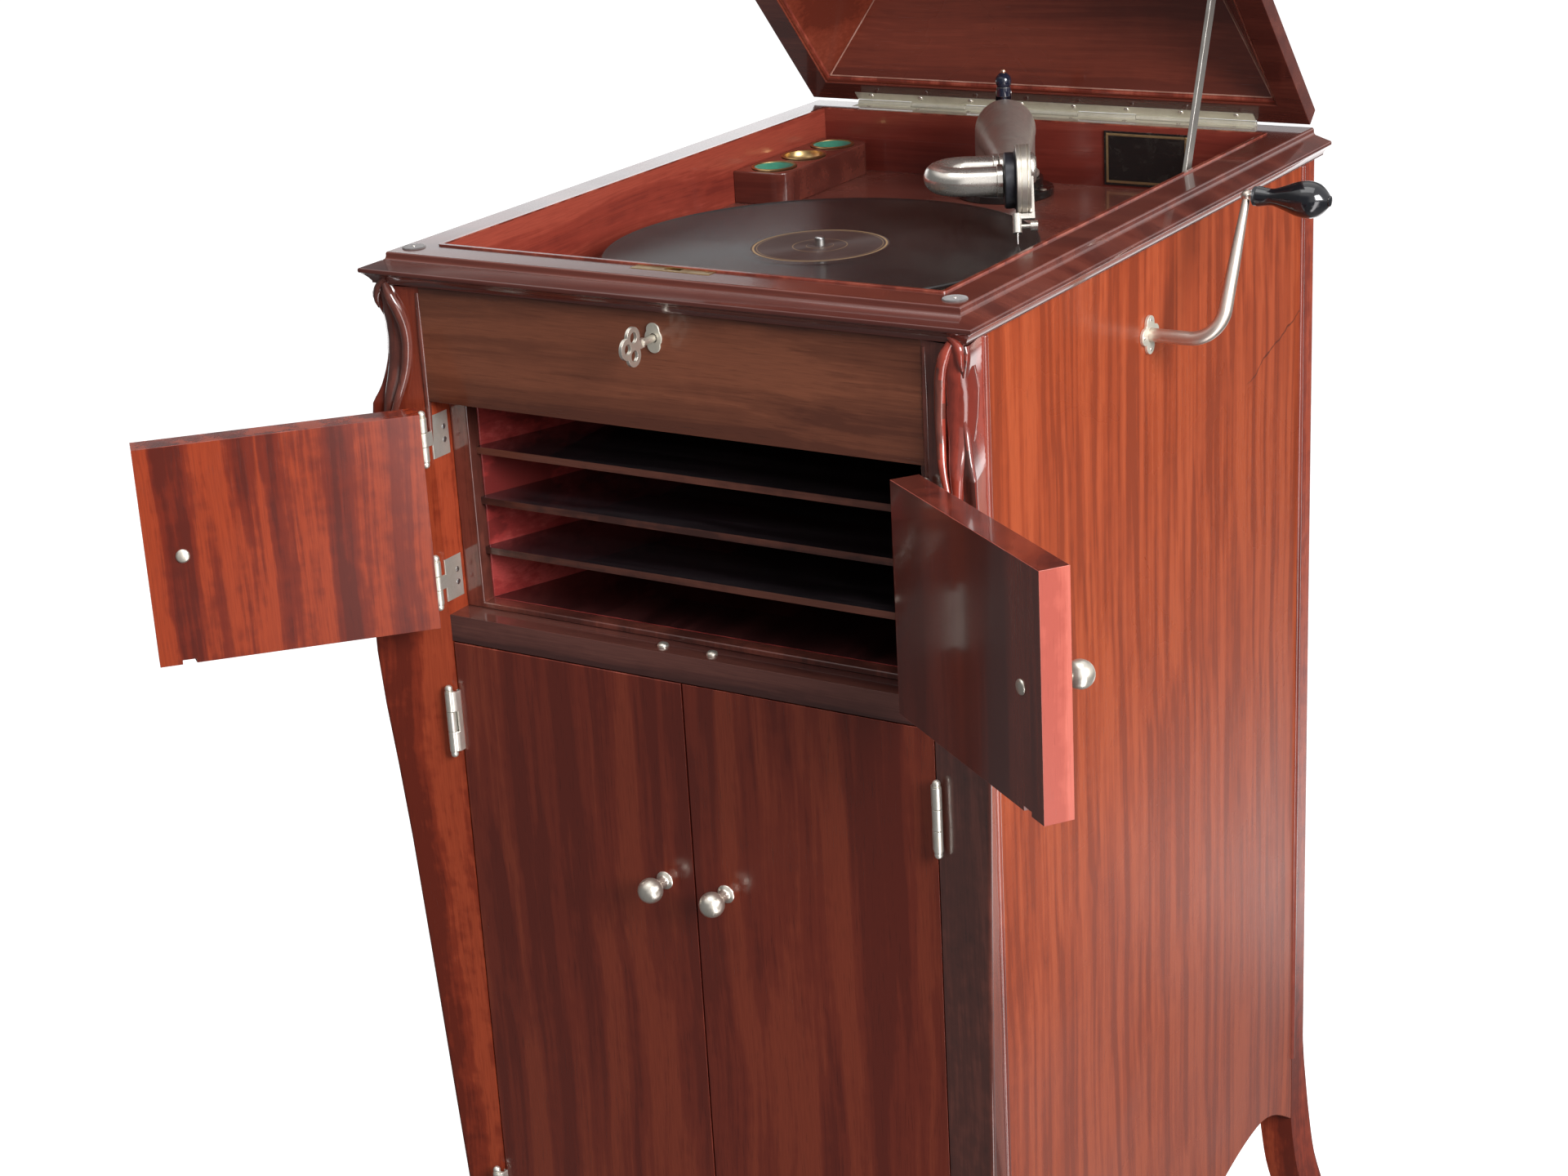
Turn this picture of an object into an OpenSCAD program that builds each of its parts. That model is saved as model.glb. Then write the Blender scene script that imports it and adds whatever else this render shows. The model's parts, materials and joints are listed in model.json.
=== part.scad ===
/* [Cabinet] */
// Width over the lip of the top frame
lip_w = 465; // [440:1:500]
// Depth from the front lip to the flat back
lip_d = 584; // [560:1:620]
// How far the lip stands out over the carcase
lip_over = 12; // [10:0.5:16]
// Thickness of the top frame
frame_t = 22; // [20:0.5:26]
// Width of the moulded slope inside the lip
slope_w = 17.6; // [16:0.2:22]
// Width of the side walls of the well, from the carcase face to the opening
well_wall = 29.5; // [29.5:0.5:36]
// Depth of the front wall of the well
well_front = 31; // [31:0.5:38]
// Depth of the rear wall of the well
well_rear = 35; // [35:0.5:42]
// Thickness of the side panels
side_t = 18; // [15:0.5:18]
// Thickness of the back panel
back_t = 12; // [8:0.5:14]
// Thickness of the front boards
front_t = 18; // [14:0.5:18]
// Side of a square corner post
post = 28.5; // [27:0.5:29]
// Clearance of the aprons above the floor
leg_h = 158; // [140:1:180]
// Rise of the aprons' shaped lower edge
apron_rise = 32; // [20:1:34]
// Length of the rise next to a post
apron_run = 72; // [60:1:90]
// Height of the aprons at their lowest point
apron_h = 56; // [54:0.5:70]
// Thickness of the bottom board
bottom_t = 18; // [12:0.5:18]
// Flare of the feet at the floor
foot_flare = 35; // [20:1:40]
// Greatest bulge of a front post's corner
post_bulge = 23.7; // [16:0.1:26]

/* [Fronts] */
// Height of the lower doors
lower_door_h = 508; // [480:1:540]
// Height of the upper doors
upper_door_h = 153; // [145:1:165]
// Thickness of the shelf under the horn
shelf_t = 19.5; // [16:0.5:24]
// Height of the fascia panel
fascia_h = 79.5; // [78:0.5:90]
// Thickness of the doors
door_t = 19.5; // [16:0.5:19.5]
// Gap round a door
door_gap = 1; // [0.8:0.1:1.6]
// Opening of the left upper door
left_open = 133.5; // [100:0.5:150]
// Opening of the right upper door
right_open = 144.5; // [100:0.5:150]
// Length of an upper door hinge barrel
upper_barrel = 31; // [28:1:36]
// Length of a lower door hinge barrel
lower_barrel = 45; // [40:1:60]
// Radius of the door hinge barrels
barrel_r = 3.2; // [3:0.1:3.4]
// Radius of the door hinge pins
door_pin_r = 1.55; // [1.4:0.05:1.8]
// Diameter of a door knob's ball
knob_d = 17.7; // [15:0.1:20]
// Distance of the ball's centre from the door
knob_reach = 18; // [16:0.5:22]
// Distance of the knobs from a door's free edge
knob_inset = 25; // [22:0.5:32]

/* [Well] */
// Depth of the motor board below the rim
board_drop = 48; // [47:0.5:50]
// Thickness of the motor board
board_t = 16; // [12:0.5:18]
// Diameter of the record
record_d = 304.8; // [296:0.1:306]
// Thickness of the record
record_t = 2; // [1.6:0.1:2.4]
// Depth of the record's face below the rim
record_drop = 24.6; // [24:0.1:26]
// Diameter of the turntable
platter_d = 300; // [292:1:300]
// Depth of the turntable's skirt
skirt_h = 14; // [12:0.5:16]
// Distance of the spindle in front of the middle
spindle_y = -75; // [-78:1:-72]
// Diameter of the spindle
spindle_d = 7.2; // [6.8:0.1:7.4]
// Height of the spindle over the record
spindle_up = 6; // [4:0.5:8]
// Width of the needle cup block
block_w = 47; // [44:1:48]
// Length of the needle cup block
block_l = 137; // [132:1:140]
// Diameter of the needle cups
cup_d = 36; // [33:0.5:37]
// Distance between the needle cups
cup_pitch = 45; // [42:0.5:46]
// Depth of the needle cups
cup_depth = 14; // [10:0.5:17]

/* [Tone arm] */
// Distance of the tone arm's pivot behind the middle
arm_y = 207; // [205:0.5:209]
// Angle of the tone arm, from the X axis
arm_angle = -61.1; // [-66:0.1:-58]
// Length of the tone arm to its knuckle
arm_l = 209; // [205:0.5:213]
// Diameter of the tone arm at its big end
arm_d = 46; // [42:0.5:46]
// Diameter of the tone arm at its small end
arm_tip_d = 19; // [16:0.5:20]
// Climb of the tone arm's axis
arm_climb = 2.5; // [2:0.1:3]
// Height of the elbow's axis over the rim
arm_up = 7; // [6:0.5:9]
// Wall of the tone arm
arm_wall = 1.5; // [1:0.1:2]
// Diameter of the gooseneck tube
neck_d = 20; // [18:0.2:20.4]
// Distance between the gooseneck's two legs
neck_span = 38; // [36:0.5:40]
// Length of the gooseneck's legs beside the sound box
neck_reach = 34; // [30:0.5:38]
// Diameter of the sound box ring
box_d = 48.5; // [46:0.5:52]
// Depth of the sound box shell
box_t = 8; // [7:0.5:10]
// Lean of the needle in the plane of the sound box
needle_lean = 31; // [26:0.5:34]

/* [Horn] */
// Width of the mouth frame's side pieces
mouth_border = 15; // [12:0.5:22]
// Height of the wooden horn at its throat
throat_h = 46; // [42:1:46]
// Width of the wooden horn at its throat
throat_w = 48; // [44:1:54]
// Wall of the wooden horn
horn_wall = 8; // [6:0.5:9]
// Inner diameter of the iron elbow
elbow_d = 42; // [38:0.5:43]
// Wall of the iron elbow
elbow_wall = 4; // [3:0.5:4.5]
// Number of slats in the mouth
slat_n = 3; // [2:1:4]
// Thickness of a slat
slat_t = 5; // [4:0.5:8]
// Depth of a slat
slat_depth = 126; // [80:1:126]

/* [Crank] */
// Height of the crank shaft below the rim
crank_drop = 83; // [83:0.5:84]
// Distance of the crank shaft in front of the middle
crank_y = -16; // [-20:1:-12]
// Diameter of the crank rod
crank_d = 9.5; // [8:0.1:9.6]
// Throw of the crank
crank_throw = 100; // [85:1:120]
// Lean of the crank arm behind the vertical
crank_lean = 26; // [0:1:40]
// Distance of the crank's bend from the side panel
crank_out = 52; // [44:1:58]
// Sideways slope of the crank arm
crank_rise = 1; // [0:0.5:10]
// Radius of the bend between the crank's shaft and its arm
crank_bend = 22; // [16:1:26]
// Length of the crank handle
handle_l = 53; // [42:1:62]
// Greatest diameter of the crank handle
handle_d = 25; // [22:0.5:30]

/* [Motor] */
// Teeth on the spring barrel's great wheel
great_n = 100; // [96:1:100]
// Teeth on the spindle's pinion
pinion_n = 12; // [12:1:13]
// Tooth module of the great wheel
great_m = 1.5; // [1.48:0.01:1.52]
// Teeth on the governor wheel
gov_wheel_n = 80; // [72:1:82]
// Teeth on the governor pinion
gov_pinion_n = 10; // [10:1:12]
// Tooth module of the governor wheel
gov_m = 1; // [0.95:0.01:1.05]
// Teeth on the winding crown wheel
crown_n = 24; // [24:1:26]
// Teeth on the crank's pinion
wind_n = 12; // [12:1:12]
// Tooth module of the winding wheels
wind_m = 1.6; // [1.5:0.01:1.6]
// Radius of the spring barrel
drum_r = 45; // [36:1:48]

/* [Lid] */
// Opening of the lid
lid_open = 48; // [40:0.5:55]
// Height of the lid
lid_h = 95; // [88:1:104]
// Width of the lid's flat border
border_w = 24; // [22:0.5:26]
// Steepness of the lid's slopes, rise over run
lid_slope = 1.24; // [1.1:0.01:1.4]
// Wall of the lid, measured upright
lid_wall = 18; // [15:0.5:20]
// Gap between the closed lid and the rim
lid_gap = 2; // [1.8:0.1:2.4]
// Length of the lid hinge
lid_hinge_l = 349; // [320:1:360]
// Distance of the stay's pivot from the lid hinge
stay_arm = 161; // [158:1:164]
// Length of the stay from its pivot to its lower end
stay_l = 168; // [162:1:176]
// Width of the stay
stay_w = 9; // [7:0.5:10]

/* [Hidden] */
$fn = 48;

// Running clearance of a shaft in its bore
run = 0.05;
// Clearance between pieces that only pass each other
pass = 0.3;

// Carcase outline
case_x = lip_w / 2 - lip_over;
front_y = -lip_d / 2 + lip_over;
back_y = lip_d / 2;
post_x = case_x - post;
mouth_w = 2 * (post_x - mouth_border);
post_front_y = front_y + post;
post_back_y = back_y - post;
side_in_x = case_x - side_t;
back_in_y = back_y - back_t;
front_in_y = front_y + front_t;

// Levels, from the floor up
apron_top = leg_h + apron_h;
lower_z = apron_top + door_gap;
shelf_z = lower_z + lower_door_h + door_gap;
shelf_top = shelf_z + shelf_t;
upper_z = shelf_top + door_gap;
fascia_z = upper_z + upper_door_h + door_gap;
frame_z = fascia_z + fascia_h;
rim_z = frame_z + frame_t;
board_top = rim_z - board_drop;
board_z = board_top - board_t;

// Opening of the well
well_x = case_x - well_wall;
well_y0 = front_y + well_front;
well_y1 = back_y - well_rear;
ledge_w = 10;
ledge_h = 12;

// Doors, drawn closed on the right and mirrored to the left
door_edge_x = post_x - door_gap;
door_in_x = 0.75 * door_gap;
pin_x = post_x + 3;
pin_y = front_y - 6;
leaf_t = 1.2;
leaf_w = 21;
finial_r = 2.8;
upper_hinges = [upper_z + upper_door_h - 25, upper_z + 24];
lower_hinges = [lower_z + lower_door_h - 58.5, lower_z + 59];
upper_knob_z = upper_z + upper_door_h / 2;
lower_knob_z = lower_z + lower_door_h - 150;
catch_x = 19.5;
catch_y = front_y + 10;
catch_r = 4;
catch_up = 3;
shank_r = 2;

// Turntable stack
spindle_r = spindle_d / 2;
record_top = rim_z - record_drop;
felt_top = record_top - record_t;
felt_t = 1;
platter_top = felt_top - felt_t;
hub_z = platter_top - skirt_h - 2;

// Tone arm
arm_r = arm_d / 2;
bend_r = arm_r + 3;
elbow_turn = 90 - arm_climb;
bend_z = rim_z + arm_up - bend_r;
bend_end = [bend_r - bend_r * cos(elbow_turn), bend_z + bend_r * sin(elbow_turn)];
cone_l = (arm_l - bend_end[0]) / cos(arm_climb);
knuckle_z = bend_end[1] + cone_l * sin(arm_climb);
collar_z = board_top + 14;
base_t = 6;
neck_r = neck_d / 2;
neck_bore = 6.5;
spigot_r = 8;
knuckle_r = 11.2;
knuckle_y0 = -10;
knuckle_y1 = 16;
box_x = arm_l + neck_span;
box_r = box_d / 2;
back_r = box_r - 5;
tip_gap = 0.3;
joint = 0.5;
needle_l = (knuckle_z - record_top - tip_gap) / cos(needle_lean);

// Horn
mouth_z0 = shelf_top + 4.5;
mouth_z1 = fascia_z - 4.5;
mouth_y = front_y + door_t + door_gap;
mouth_t = 12;
horn_y0 = mouth_y + mouth_t;
horn_y1 = arm_y - 77;
elbow_r = elbow_d / 2;
elbow_out = elbow_r + elbow_wall;
elbow_bend = 60;
flange_t = 6;
throat_z = mouth_z0 + throat_h / 2;
horn_taper = (mouth_w - throat_w) / 2 / (horn_y1 - horn_y0);

// Crank and motor
crank_z = rim_z - crank_drop;
crank_r = crank_d / 2;
crank_x = case_x + crank_out;
handle_x = crank_x + crank_rise + 5;
wind_r = wind_m * wind_n / 2;
crown_r = wind_m * crown_n / 2;
crown_w = 5;
crown_tooth = 0.54 * wind_m;
crown_pitch_z = crank_z - wind_r;
great_r = great_m * great_n / 2;
pinion_r = great_m * pinion_n / 2;
mesh_gap = 0.15;
barrel_x = sqrt(pow(great_r + pinion_r + mesh_gap, 2) - pow(crank_y - spindle_y, 2));
gov_wheel_r = gov_m * gov_wheel_n / 2;
gov_pinion_r = gov_m * gov_pinion_n / 2;
gov_x = -(gov_wheel_r + gov_pinion_r + mesh_gap);
plate_t = 4;
top_plate_z = board_z - 6;
crown_z = crown_pitch_z - 0.95 * wind_m - 4;
great_z = crown_z - 6;
great_t = 4.5;
drum_h = 24;
drum_z = great_z - drum_h;
low_plate_z = drum_z - 2 - plate_t;
plate_x0 = gov_x - 17;
plate_x1 = barrel_x + great_r - 13;
plate_y0 = spindle_y - 22;
plate_y1 = crank_y + great_r + 2;
pillar_r = 5;
pillars = [
    [plate_x0 + 5.5, plate_y0 + 5.5], [plate_x1 - 6, plate_y0 + 6],
    [plate_x1 - 6, plate_y1 - 6], [barrel_x - 70, plate_y1 - 6]];
arbor_r = 5;
gov_wheel_z = great_z + 12;

// Lid, drawn closed and turned open about its hinge
hinge_y = back_y - 6;
hinge_z = rim_z + lid_gap / 2;
lid_z = rim_z + lid_gap;
lid_x = lip_w / 2 - 14.5;
lid_y0 = -lip_d / 2 + 14;
lid_y1 = hinge_y - 2;
lid_edge_h = 18;
lid_ledge = border_w - 4;
lid_hinge_r = 2.5;
lid_pin_r = 1.3;
lid_leaf_w = 12;
lid_leaf_t = 1.2;
knuckle_n = 7;

// Lid stay
stay_x = well_x - 6;
stay_t = 3;
stay_z = lid_z;
stay_y = hinge_y - stay_arm;
guide_y = stay_y - 3;
guide_z = rim_z - 24;
guide_h = 8;
guide_half = 13;
ear_t = 3;

// Blank plate on the well's rear wall
label_x = 61;
label_w = 71;
label_h = 42;
label_t = 1.2;
label_drop = 4;

// Pieces on the motor board
brake = [142, -198];
brake_rest = 30;
brake_grip = 34;
speed = [-150, -205];

// Place of the cabinet in the part's own frame, under the middle of its box at rest
door_reach = pin_x - door_in_x;
reach_right = pin_x - door_reach * cos(right_open);
reach_left = pin_x - door_reach * cos(left_open);
reach_front = pin_y - door_reach * sin(left_open) + (door_t + 6) * cos(left_open);
frame_x = -round((reach_right - reach_left) / 2);
frame_y = -round((reach_front + back_y + foot_flare) / 2);

module in_frame() {
    translate([frame_x, frame_y, 0]) children();
}

// A box from its low corner to its high corner
module span(low, high) {
    translate(low) cube(high - low);
}

module mirror_pair() {
    children();
    mirror([1, 0, 0]) children();
}

// Cylinder along X from x0 to x1
module rod_x(x0, x1, r) {
    translate([x0, 0, 0]) rotate([0, 90, 0]) cylinder(h = x1 - x0, r = r);
}

// Cylinder along Y from y0 to y1
module rod_y(y0, y1, r) {
    translate([0, y0, 0]) rotate([-90, 0, 0]) cylinder(h = y1 - y0, r = r);
}

// Height of an apron's shaped edge at a distance s from its post
function apron_edge(s, half) = s < apron_run
    ? leg_h + apron_rise * sin(90 * s / apron_run)
    : leg_h + apron_rise * (1 + cos(180 * (s - apron_run) / (half - apron_run))) / 2;

// Outline of an apron board of width 2 half, centred, up to a height
function apron_outline(half, top) = concat(
    [for (i = [0 : 48]) let (x = -half + i * half / 24) [x, apron_edge(half - abs(x), half)]],
    [[half, top], [-half, top]]);

// Point between p[1] and p[2] on a smooth curve through four points
function smooth(p, t) = 0.5 * (2 * p[1] + (p[2] - p[0]) * t
    + (2 * p[0] - 5 * p[1] + 4 * p[2] - p[3]) * t * t
    + (3 * p[1] - p[0] - 3 * p[2] + p[3]) * t * t * t);

// Smooth curve through knots, with a number of steps between each two
function curve(k, steps) = concat(
    [for (i = [0 : len(k) - 2], j = [0 : steps - 1])
        smooth([k[max(i - 1, 0)], k[i], k[i + 1], k[min(i + 2, len(k) - 1)]], j / steps)],
    [k[len(k) - 1]]);

// Ring of a post: its outer corner stands out by d, its inner corner by e
function post_ring(z, d, e) = let (
    c = [post + d, post + d],
    b = [post + e, e],
    f = [e, post + e],
    u = c + 5 * (b - c) / norm(b - c),
    v = c + 5 * (f - c) / norm(f - c))
    concat([[e, e, z], [b[0], b[1], z]],
        [for (i = [0 : 4]) let (t = i / 4, q = (1 - t) * (1 - t) * u + 2 * t * (1 - t) * c + t * t * v)
            [q[0], q[1], z]],
        [[f[0], f[1], z]]);

// Closed solid through rings of equal length
module loft(rings) {
    n = len(rings[0]);
    m = len(rings);
    polyhedron(
        points = [for (r = rings, p = r) p],
        faces = concat(
            [[for (i = [n - 1 : -1 : 0]) i]],
            [for (j = [0 : m - 2], i = [0 : n - 1])
                [j * n + i, j * n + (i + 1) % n, (j + 1) * n + (i + 1) % n]],
            [for (j = [0 : m - 2], i = [0 : n - 1])
                [j * n + i, (j + 1) * n + (i + 1) % n, (j + 1) * n + i]],
            [[for (i = [0 : n - 1]) (m - 1) * n + i]]));
}

// Bulge of a leg at heights from the floor up
leg_knots = [
    [0, foot_flare], [0.13 * leg_h, 0.83 * foot_flare], [0.3 * leg_h, 0.57 * foot_flare],
    [0.5 * leg_h, 0.41 * foot_flare], [0.69 * leg_h, 0.25 * foot_flare],
    [0.91 * leg_h, 0.15 * foot_flare], [1.15 * leg_h, 0.07 * foot_flare]];

// Bulge of a front post's corner above its leg
front_knots = [
    [apron_top, 1], [apron_top + 67, 5], [shelf_z - 155, 0.68 * post_bulge],
    [shelf_z - 8, post_bulge], [upper_z + upper_door_h / 2, 0.86 * post_bulge],
    [fascia_z - 10, 0.57 * post_bulge], [frame_z - 81, 0.53 * post_bulge],
    [frame_z - 70, 0.33 * post_bulge], [frame_z - 52, 3.5],
    [frame_z - 35, 2], [frame_z - 22, 3], [frame_z - 8, 7.5], [frame_z, 6]];

// Bulge of a rear post's corner above its leg
rear_knots = [[apron_top, 0.5], [apron_top + 40, 0], [frame_z / 2, 0], [frame_z, 0]];

// One corner post, its inner corner at the origin, standing out to +X and +Y
module corner_post(knots) {
    path = curve(concat(leg_knots, knots), 3);
    loft([for (k = path) let (e = k[0] < leg_h ? max(0, k[1] - 4.5) : 0) post_ring(k[0], k[1], e)]);
}

module corner_posts() color([0.36, 0.14, 0.1]) {
    difference() {
        mirror_pair() translate([post_x, post_front_y, 0]) mirror([0, 1, 0]) corner_post(front_knots);
        mirror_pair() case_leaf_recess();
    }
    mirror_pair() translate([post_x, post_back_y, 0]) corner_post(rear_knots);
}

module side_panels() color([0.6, 0.27, 0.2]) {
    mid_y = (post_front_y + post_back_y) / 2;
    half = (post_back_y - post_front_y) / 2;
    difference() {
        mirror_pair() translate([side_in_x, mid_y, 0])
            rotate([90, 0, 90]) linear_extrude(side_t) polygon(apron_outline(half, frame_z));
        translate([0, crank_y, crank_z]) rod_x(side_in_x - 1, case_x + 1, crank_r + 1.5);
    }
}

module front_apron() color([0.36, 0.14, 0.1])
    translate([0, front_in_y, 0]) rotate([90, 0, 0])
        linear_extrude(front_t) polygon(apron_outline(post_x, apron_top));

module back_panel() color([0.3, 0.16, 0.1])
    span([-post_x, back_in_y, apron_top - bottom_t], [post_x, back_y, frame_z]);

// Board inside the carcase, cut round the four posts
module inner_board(z0, z1, y0) {
    difference() {
        span([-side_in_x, y0, z0], [side_in_x, back_in_y, z1]);
        mirror_pair() span([post_x, front_y - 1, z0 - 1], [case_x, post_front_y, z1 + 1]);
        mirror_pair() span([post_x, post_back_y, z0 - 1], [case_x, back_y + 1, z1 + 1]);
    }
}

module bottom_board() color([0.42, 0.24, 0.16])
    inner_board(apron_top - bottom_t, apron_top, front_in_y);

module middle_shelf() color([0.4, 0.16, 0.1]) difference() {
    inner_board(shelf_z, shelf_top, front_y);
    mirror_pair() translate([catch_x, catch_y, shelf_top - 8]) cylinder(h = 9, r = 2 + run);
}

// Moulded top frame, mitred where the long and the short mouldings meet
frame_edge = [
    [lip_over, -frame_t], [4, 4 - frame_t], [0, 6 - frame_t], [0, -9.5], [2.2, -7.4],
    [5.5, -6.2], [9, -4.6], [12.4, -2.4], [14.6, -1.4], [slope_w, -1.4], [slope_w, 0]];

module top_frame() color([0.5, 0.2, 0.12]) difference() {
    intersection() {
        translate([0, back_y + 1, rim_z]) rotate([90, 0, 0]) linear_extrude(lip_d + 2)
            polygon(concat(
                [for (p = frame_edge) [lip_w / 2 - p[0], p[1]]],
                [for (i = [len(frame_edge) - 1 : -1 : 0]) [frame_edge[i][0] - lip_w / 2, frame_edge[i][1]]]));
        translate([-lip_w / 2 - 1, 0, rim_z]) rotate([90, 0, 90]) linear_extrude(lip_w + 2)
            polygon(concat(
                [for (p = frame_edge) [p[0] - lip_d / 2, p[1]]],
                [[back_y, 0], [back_y, -frame_t]]));
    }
    span([-well_x, well_y0, frame_z - 1], [well_x, well_y1, rim_z + 1]);
    span([-lid_hinge_l / 2 - pass, hinge_y - lid_leaf_w, rim_z - lid_leaf_t],
        [lid_hinge_l / 2 + pass, hinge_y, rim_z + 1]);
    span([-lid_hinge_l / 2 - pass, hinge_y - lid_hinge_r - 1, rim_z - 2],
        [lid_hinge_l / 2 + pass, hinge_y + lid_hinge_r + 1, rim_z + 1]);
    lock_room(0);
}

module well_lining() color([0.55, 0.2, 0.13]) difference() {
    span([-side_in_x, front_in_y, board_z - ledge_h], [side_in_x, back_in_y, frame_z]);
    mirror_pair() span([post_x, front_y, board_z - ledge_h - 1], [case_x, post_front_y, frame_z + 1]);
    mirror_pair() span([post_x, post_back_y, board_z - ledge_h - 1], [case_x, back_y, frame_z + 1]);
    span([-well_x, well_y0, board_z], [well_x, well_y1, frame_z + 1]);
    span([ledge_w - well_x, well_y0 + ledge_w, board_z - ledge_h - 1],
        [well_x - ledge_w, well_y1 - ledge_w, frame_z]);
    span([well_x - ledge_w - 2, stay_y - 32, board_z - ledge_h - 1], [well_x, stay_y + 8, board_z + 1]);
    translate([key_x, 0, key_z]) rod_y(front_in_y - 1, lock_y, key_r + 0.5);
    lock_room(pass);
}

module motor_board() color([0.45, 0.16, 0.1]) difference() {
    span([-well_x + pass, well_y0 + pass, board_z], [well_x - pass, well_y1 - pass, board_top]);
    translate([0, spindle_y, board_z - 1]) cylinder(h = board_t + 2, r = 9);
    translate([0, arm_y, board_z - 1]) cylinder(h = board_t + 2, r = elbow_out + pass);
    span([stay_x - 4, stay_y - 32, board_z - 1], [stay_x + 4, stay_y + 8, board_top + 1]);
    translate([brake[0], brake[1], board_z - 1]) cylinder(h = board_t + 2, r = 2.5 + run);
    translate([speed[0], speed[1], board_z - 1]) cylinder(h = board_t + 2, r = 2.5 + run);
}

module fascia_panel() color([0.45, 0.2, 0.13]) difference() {
    span([-post_x, front_y, fascia_z], [post_x, front_in_y, frame_z]);
    translate([key_x, 0, key_z]) rod_y(front_y - 1, front_in_y + 1, key_r + 0.5);
}

module horn_mouth_frame() color([0.6, 0.25, 0.15]) difference() {
    span([-post_x, mouth_y, shelf_top], [post_x, horn_y0, mouth_z1 + 11]);
    span([-mouth_w / 2, mouth_y - 1, mouth_z0], [mouth_w / 2, horn_y0 + 1, mouth_z1]);
}

slat_half = mouth_w / 2 - pass;

module horn_slats() color([0.3, 0.12, 0.08])
    for (i = [1 : slat_n])
        translate([0, 0, mouth_z0 + i * (mouth_z1 - mouth_z0) / (slat_n + 1) - slat_t / 2])
            linear_extrude(slat_t) polygon([
                [-mouth_w / 2, horn_y0 - 5], [mouth_w / 2, horn_y0 - 5], [mouth_w / 2, horn_y0 - pass],
                [slat_half, horn_y0 - pass], [slat_half - horn_taper * slat_depth, horn_y0 + slat_depth],
                [horn_taper * slat_depth - slat_half, horn_y0 + slat_depth],
                [-slat_half, horn_y0 - pass], [-mouth_w / 2, horn_y0 - pass]]);

// Solid that tapers from a rectangle at y0 to one at y1; each is [half width, low z, high z]
module taper(y0, a, y1, b) {
    polyhedron(
        points = [
            [-a[0], y0, a[1]], [a[0], y0, a[1]], [a[0], y0, a[2]], [-a[0], y0, a[2]],
            [-b[0], y1, b[1]], [b[0], y1, b[1]], [b[0], y1, b[2]], [-b[0], y1, b[2]]],
        faces = [
            [0, 3, 2, 1], [4, 5, 6, 7], [0, 1, 5, 4], [3, 7, 6, 2], [1, 2, 6, 5], [0, 4, 7, 3]]);
}

module wooden_horn() color([0.7, 0.3, 0.16]) difference() {
    taper(horn_y0, [mouth_w / 2 + horn_wall, shelf_top, mouth_z1 + horn_wall],
        horn_y1, [throat_w / 2 + horn_wall, shelf_top, mouth_z0 + throat_h + horn_wall]);
    taper(horn_y0 - 0.01, [mouth_w / 2, mouth_z0, mouth_z1],
        horn_y1 + 0.01, [throat_w / 2, mouth_z0, mouth_z0 + throat_h]);
}

// Flanged pipe of the elbow at a distance in from its outer face
module elbow_pipe(in, sleeve) {
    turn_y = arm_y - elbow_bend;
    r = elbow_out - in;
    translate([0, 0, throat_z]) rod_y(horn_y1 - in, turn_y - joint, r);
    translate([0, 0, throat_z]) rod_y(turn_y - 3 * joint, turn_y + 2 * joint, r + sleeve);
    translate([0, turn_y, throat_z + elbow_bend]) rotate([90, 0, 90]) rotate([0, 0, -90])
        rotate_extrude(angle = 90) translate([elbow_bend, 0]) circle(r);
    translate([0, arm_y, throat_z + elbow_bend - 2 * joint]) cylinder(h = 5 * joint, r = r + sleeve);
    translate([0, arm_y, throat_z + elbow_bend + joint])
        cylinder(h = board_top - throat_z - elbow_bend - joint + in, r = r);
}

module horn_elbow() color([0.18, 0.18, 0.19]) difference() {
    union() {
        span([-elbow_out - 9, horn_y1, throat_z - elbow_out + 2],
            [elbow_out + 9, horn_y1 + flange_t, throat_z + elbow_out + 9]);
        elbow_pipe(0, 0.6);
    }
    elbow_pipe(elbow_wall, -pass);
}

module tone_arm_base() color([0.12, 0.12, 0.13]) translate([0, arm_y, board_top]) difference() {
    union() {
        cylinder(h = base_t, r = arm_r + 14);
        cylinder(h = collar_z - board_top, r = arm_r + 6);
    }
    translate([0, 0, -1]) cylinder(h = collar_z - board_top + 2, r = arm_r + run);
}

// Children drawn in the tone arm's own frame: X along the arm, Y square to it
module at_arm() {
    translate([0, arm_y, 0]) rotate([0, 0, arm_angle]) children();
}

bracket_gap = 8;
bracket_r = bend_r + arm_r + bracket_gap;
strap_t = 2.4;
strap_w = 12;
upright_t = strap_t + 0.8;
upright_w = strap_w + 0.8;
bracket_end = acos(-bend_r / bracket_r);
bracket_top = bend_z + bracket_r * sin(bracket_end);
pivot_r = 2.2;
pivot_ball_r = 4.5;
screw_z = bend_z + sqrt(pow(bend_r + arm_r, 2) - pow(bend_r - pivot_r, 2)) + pass;

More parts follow.
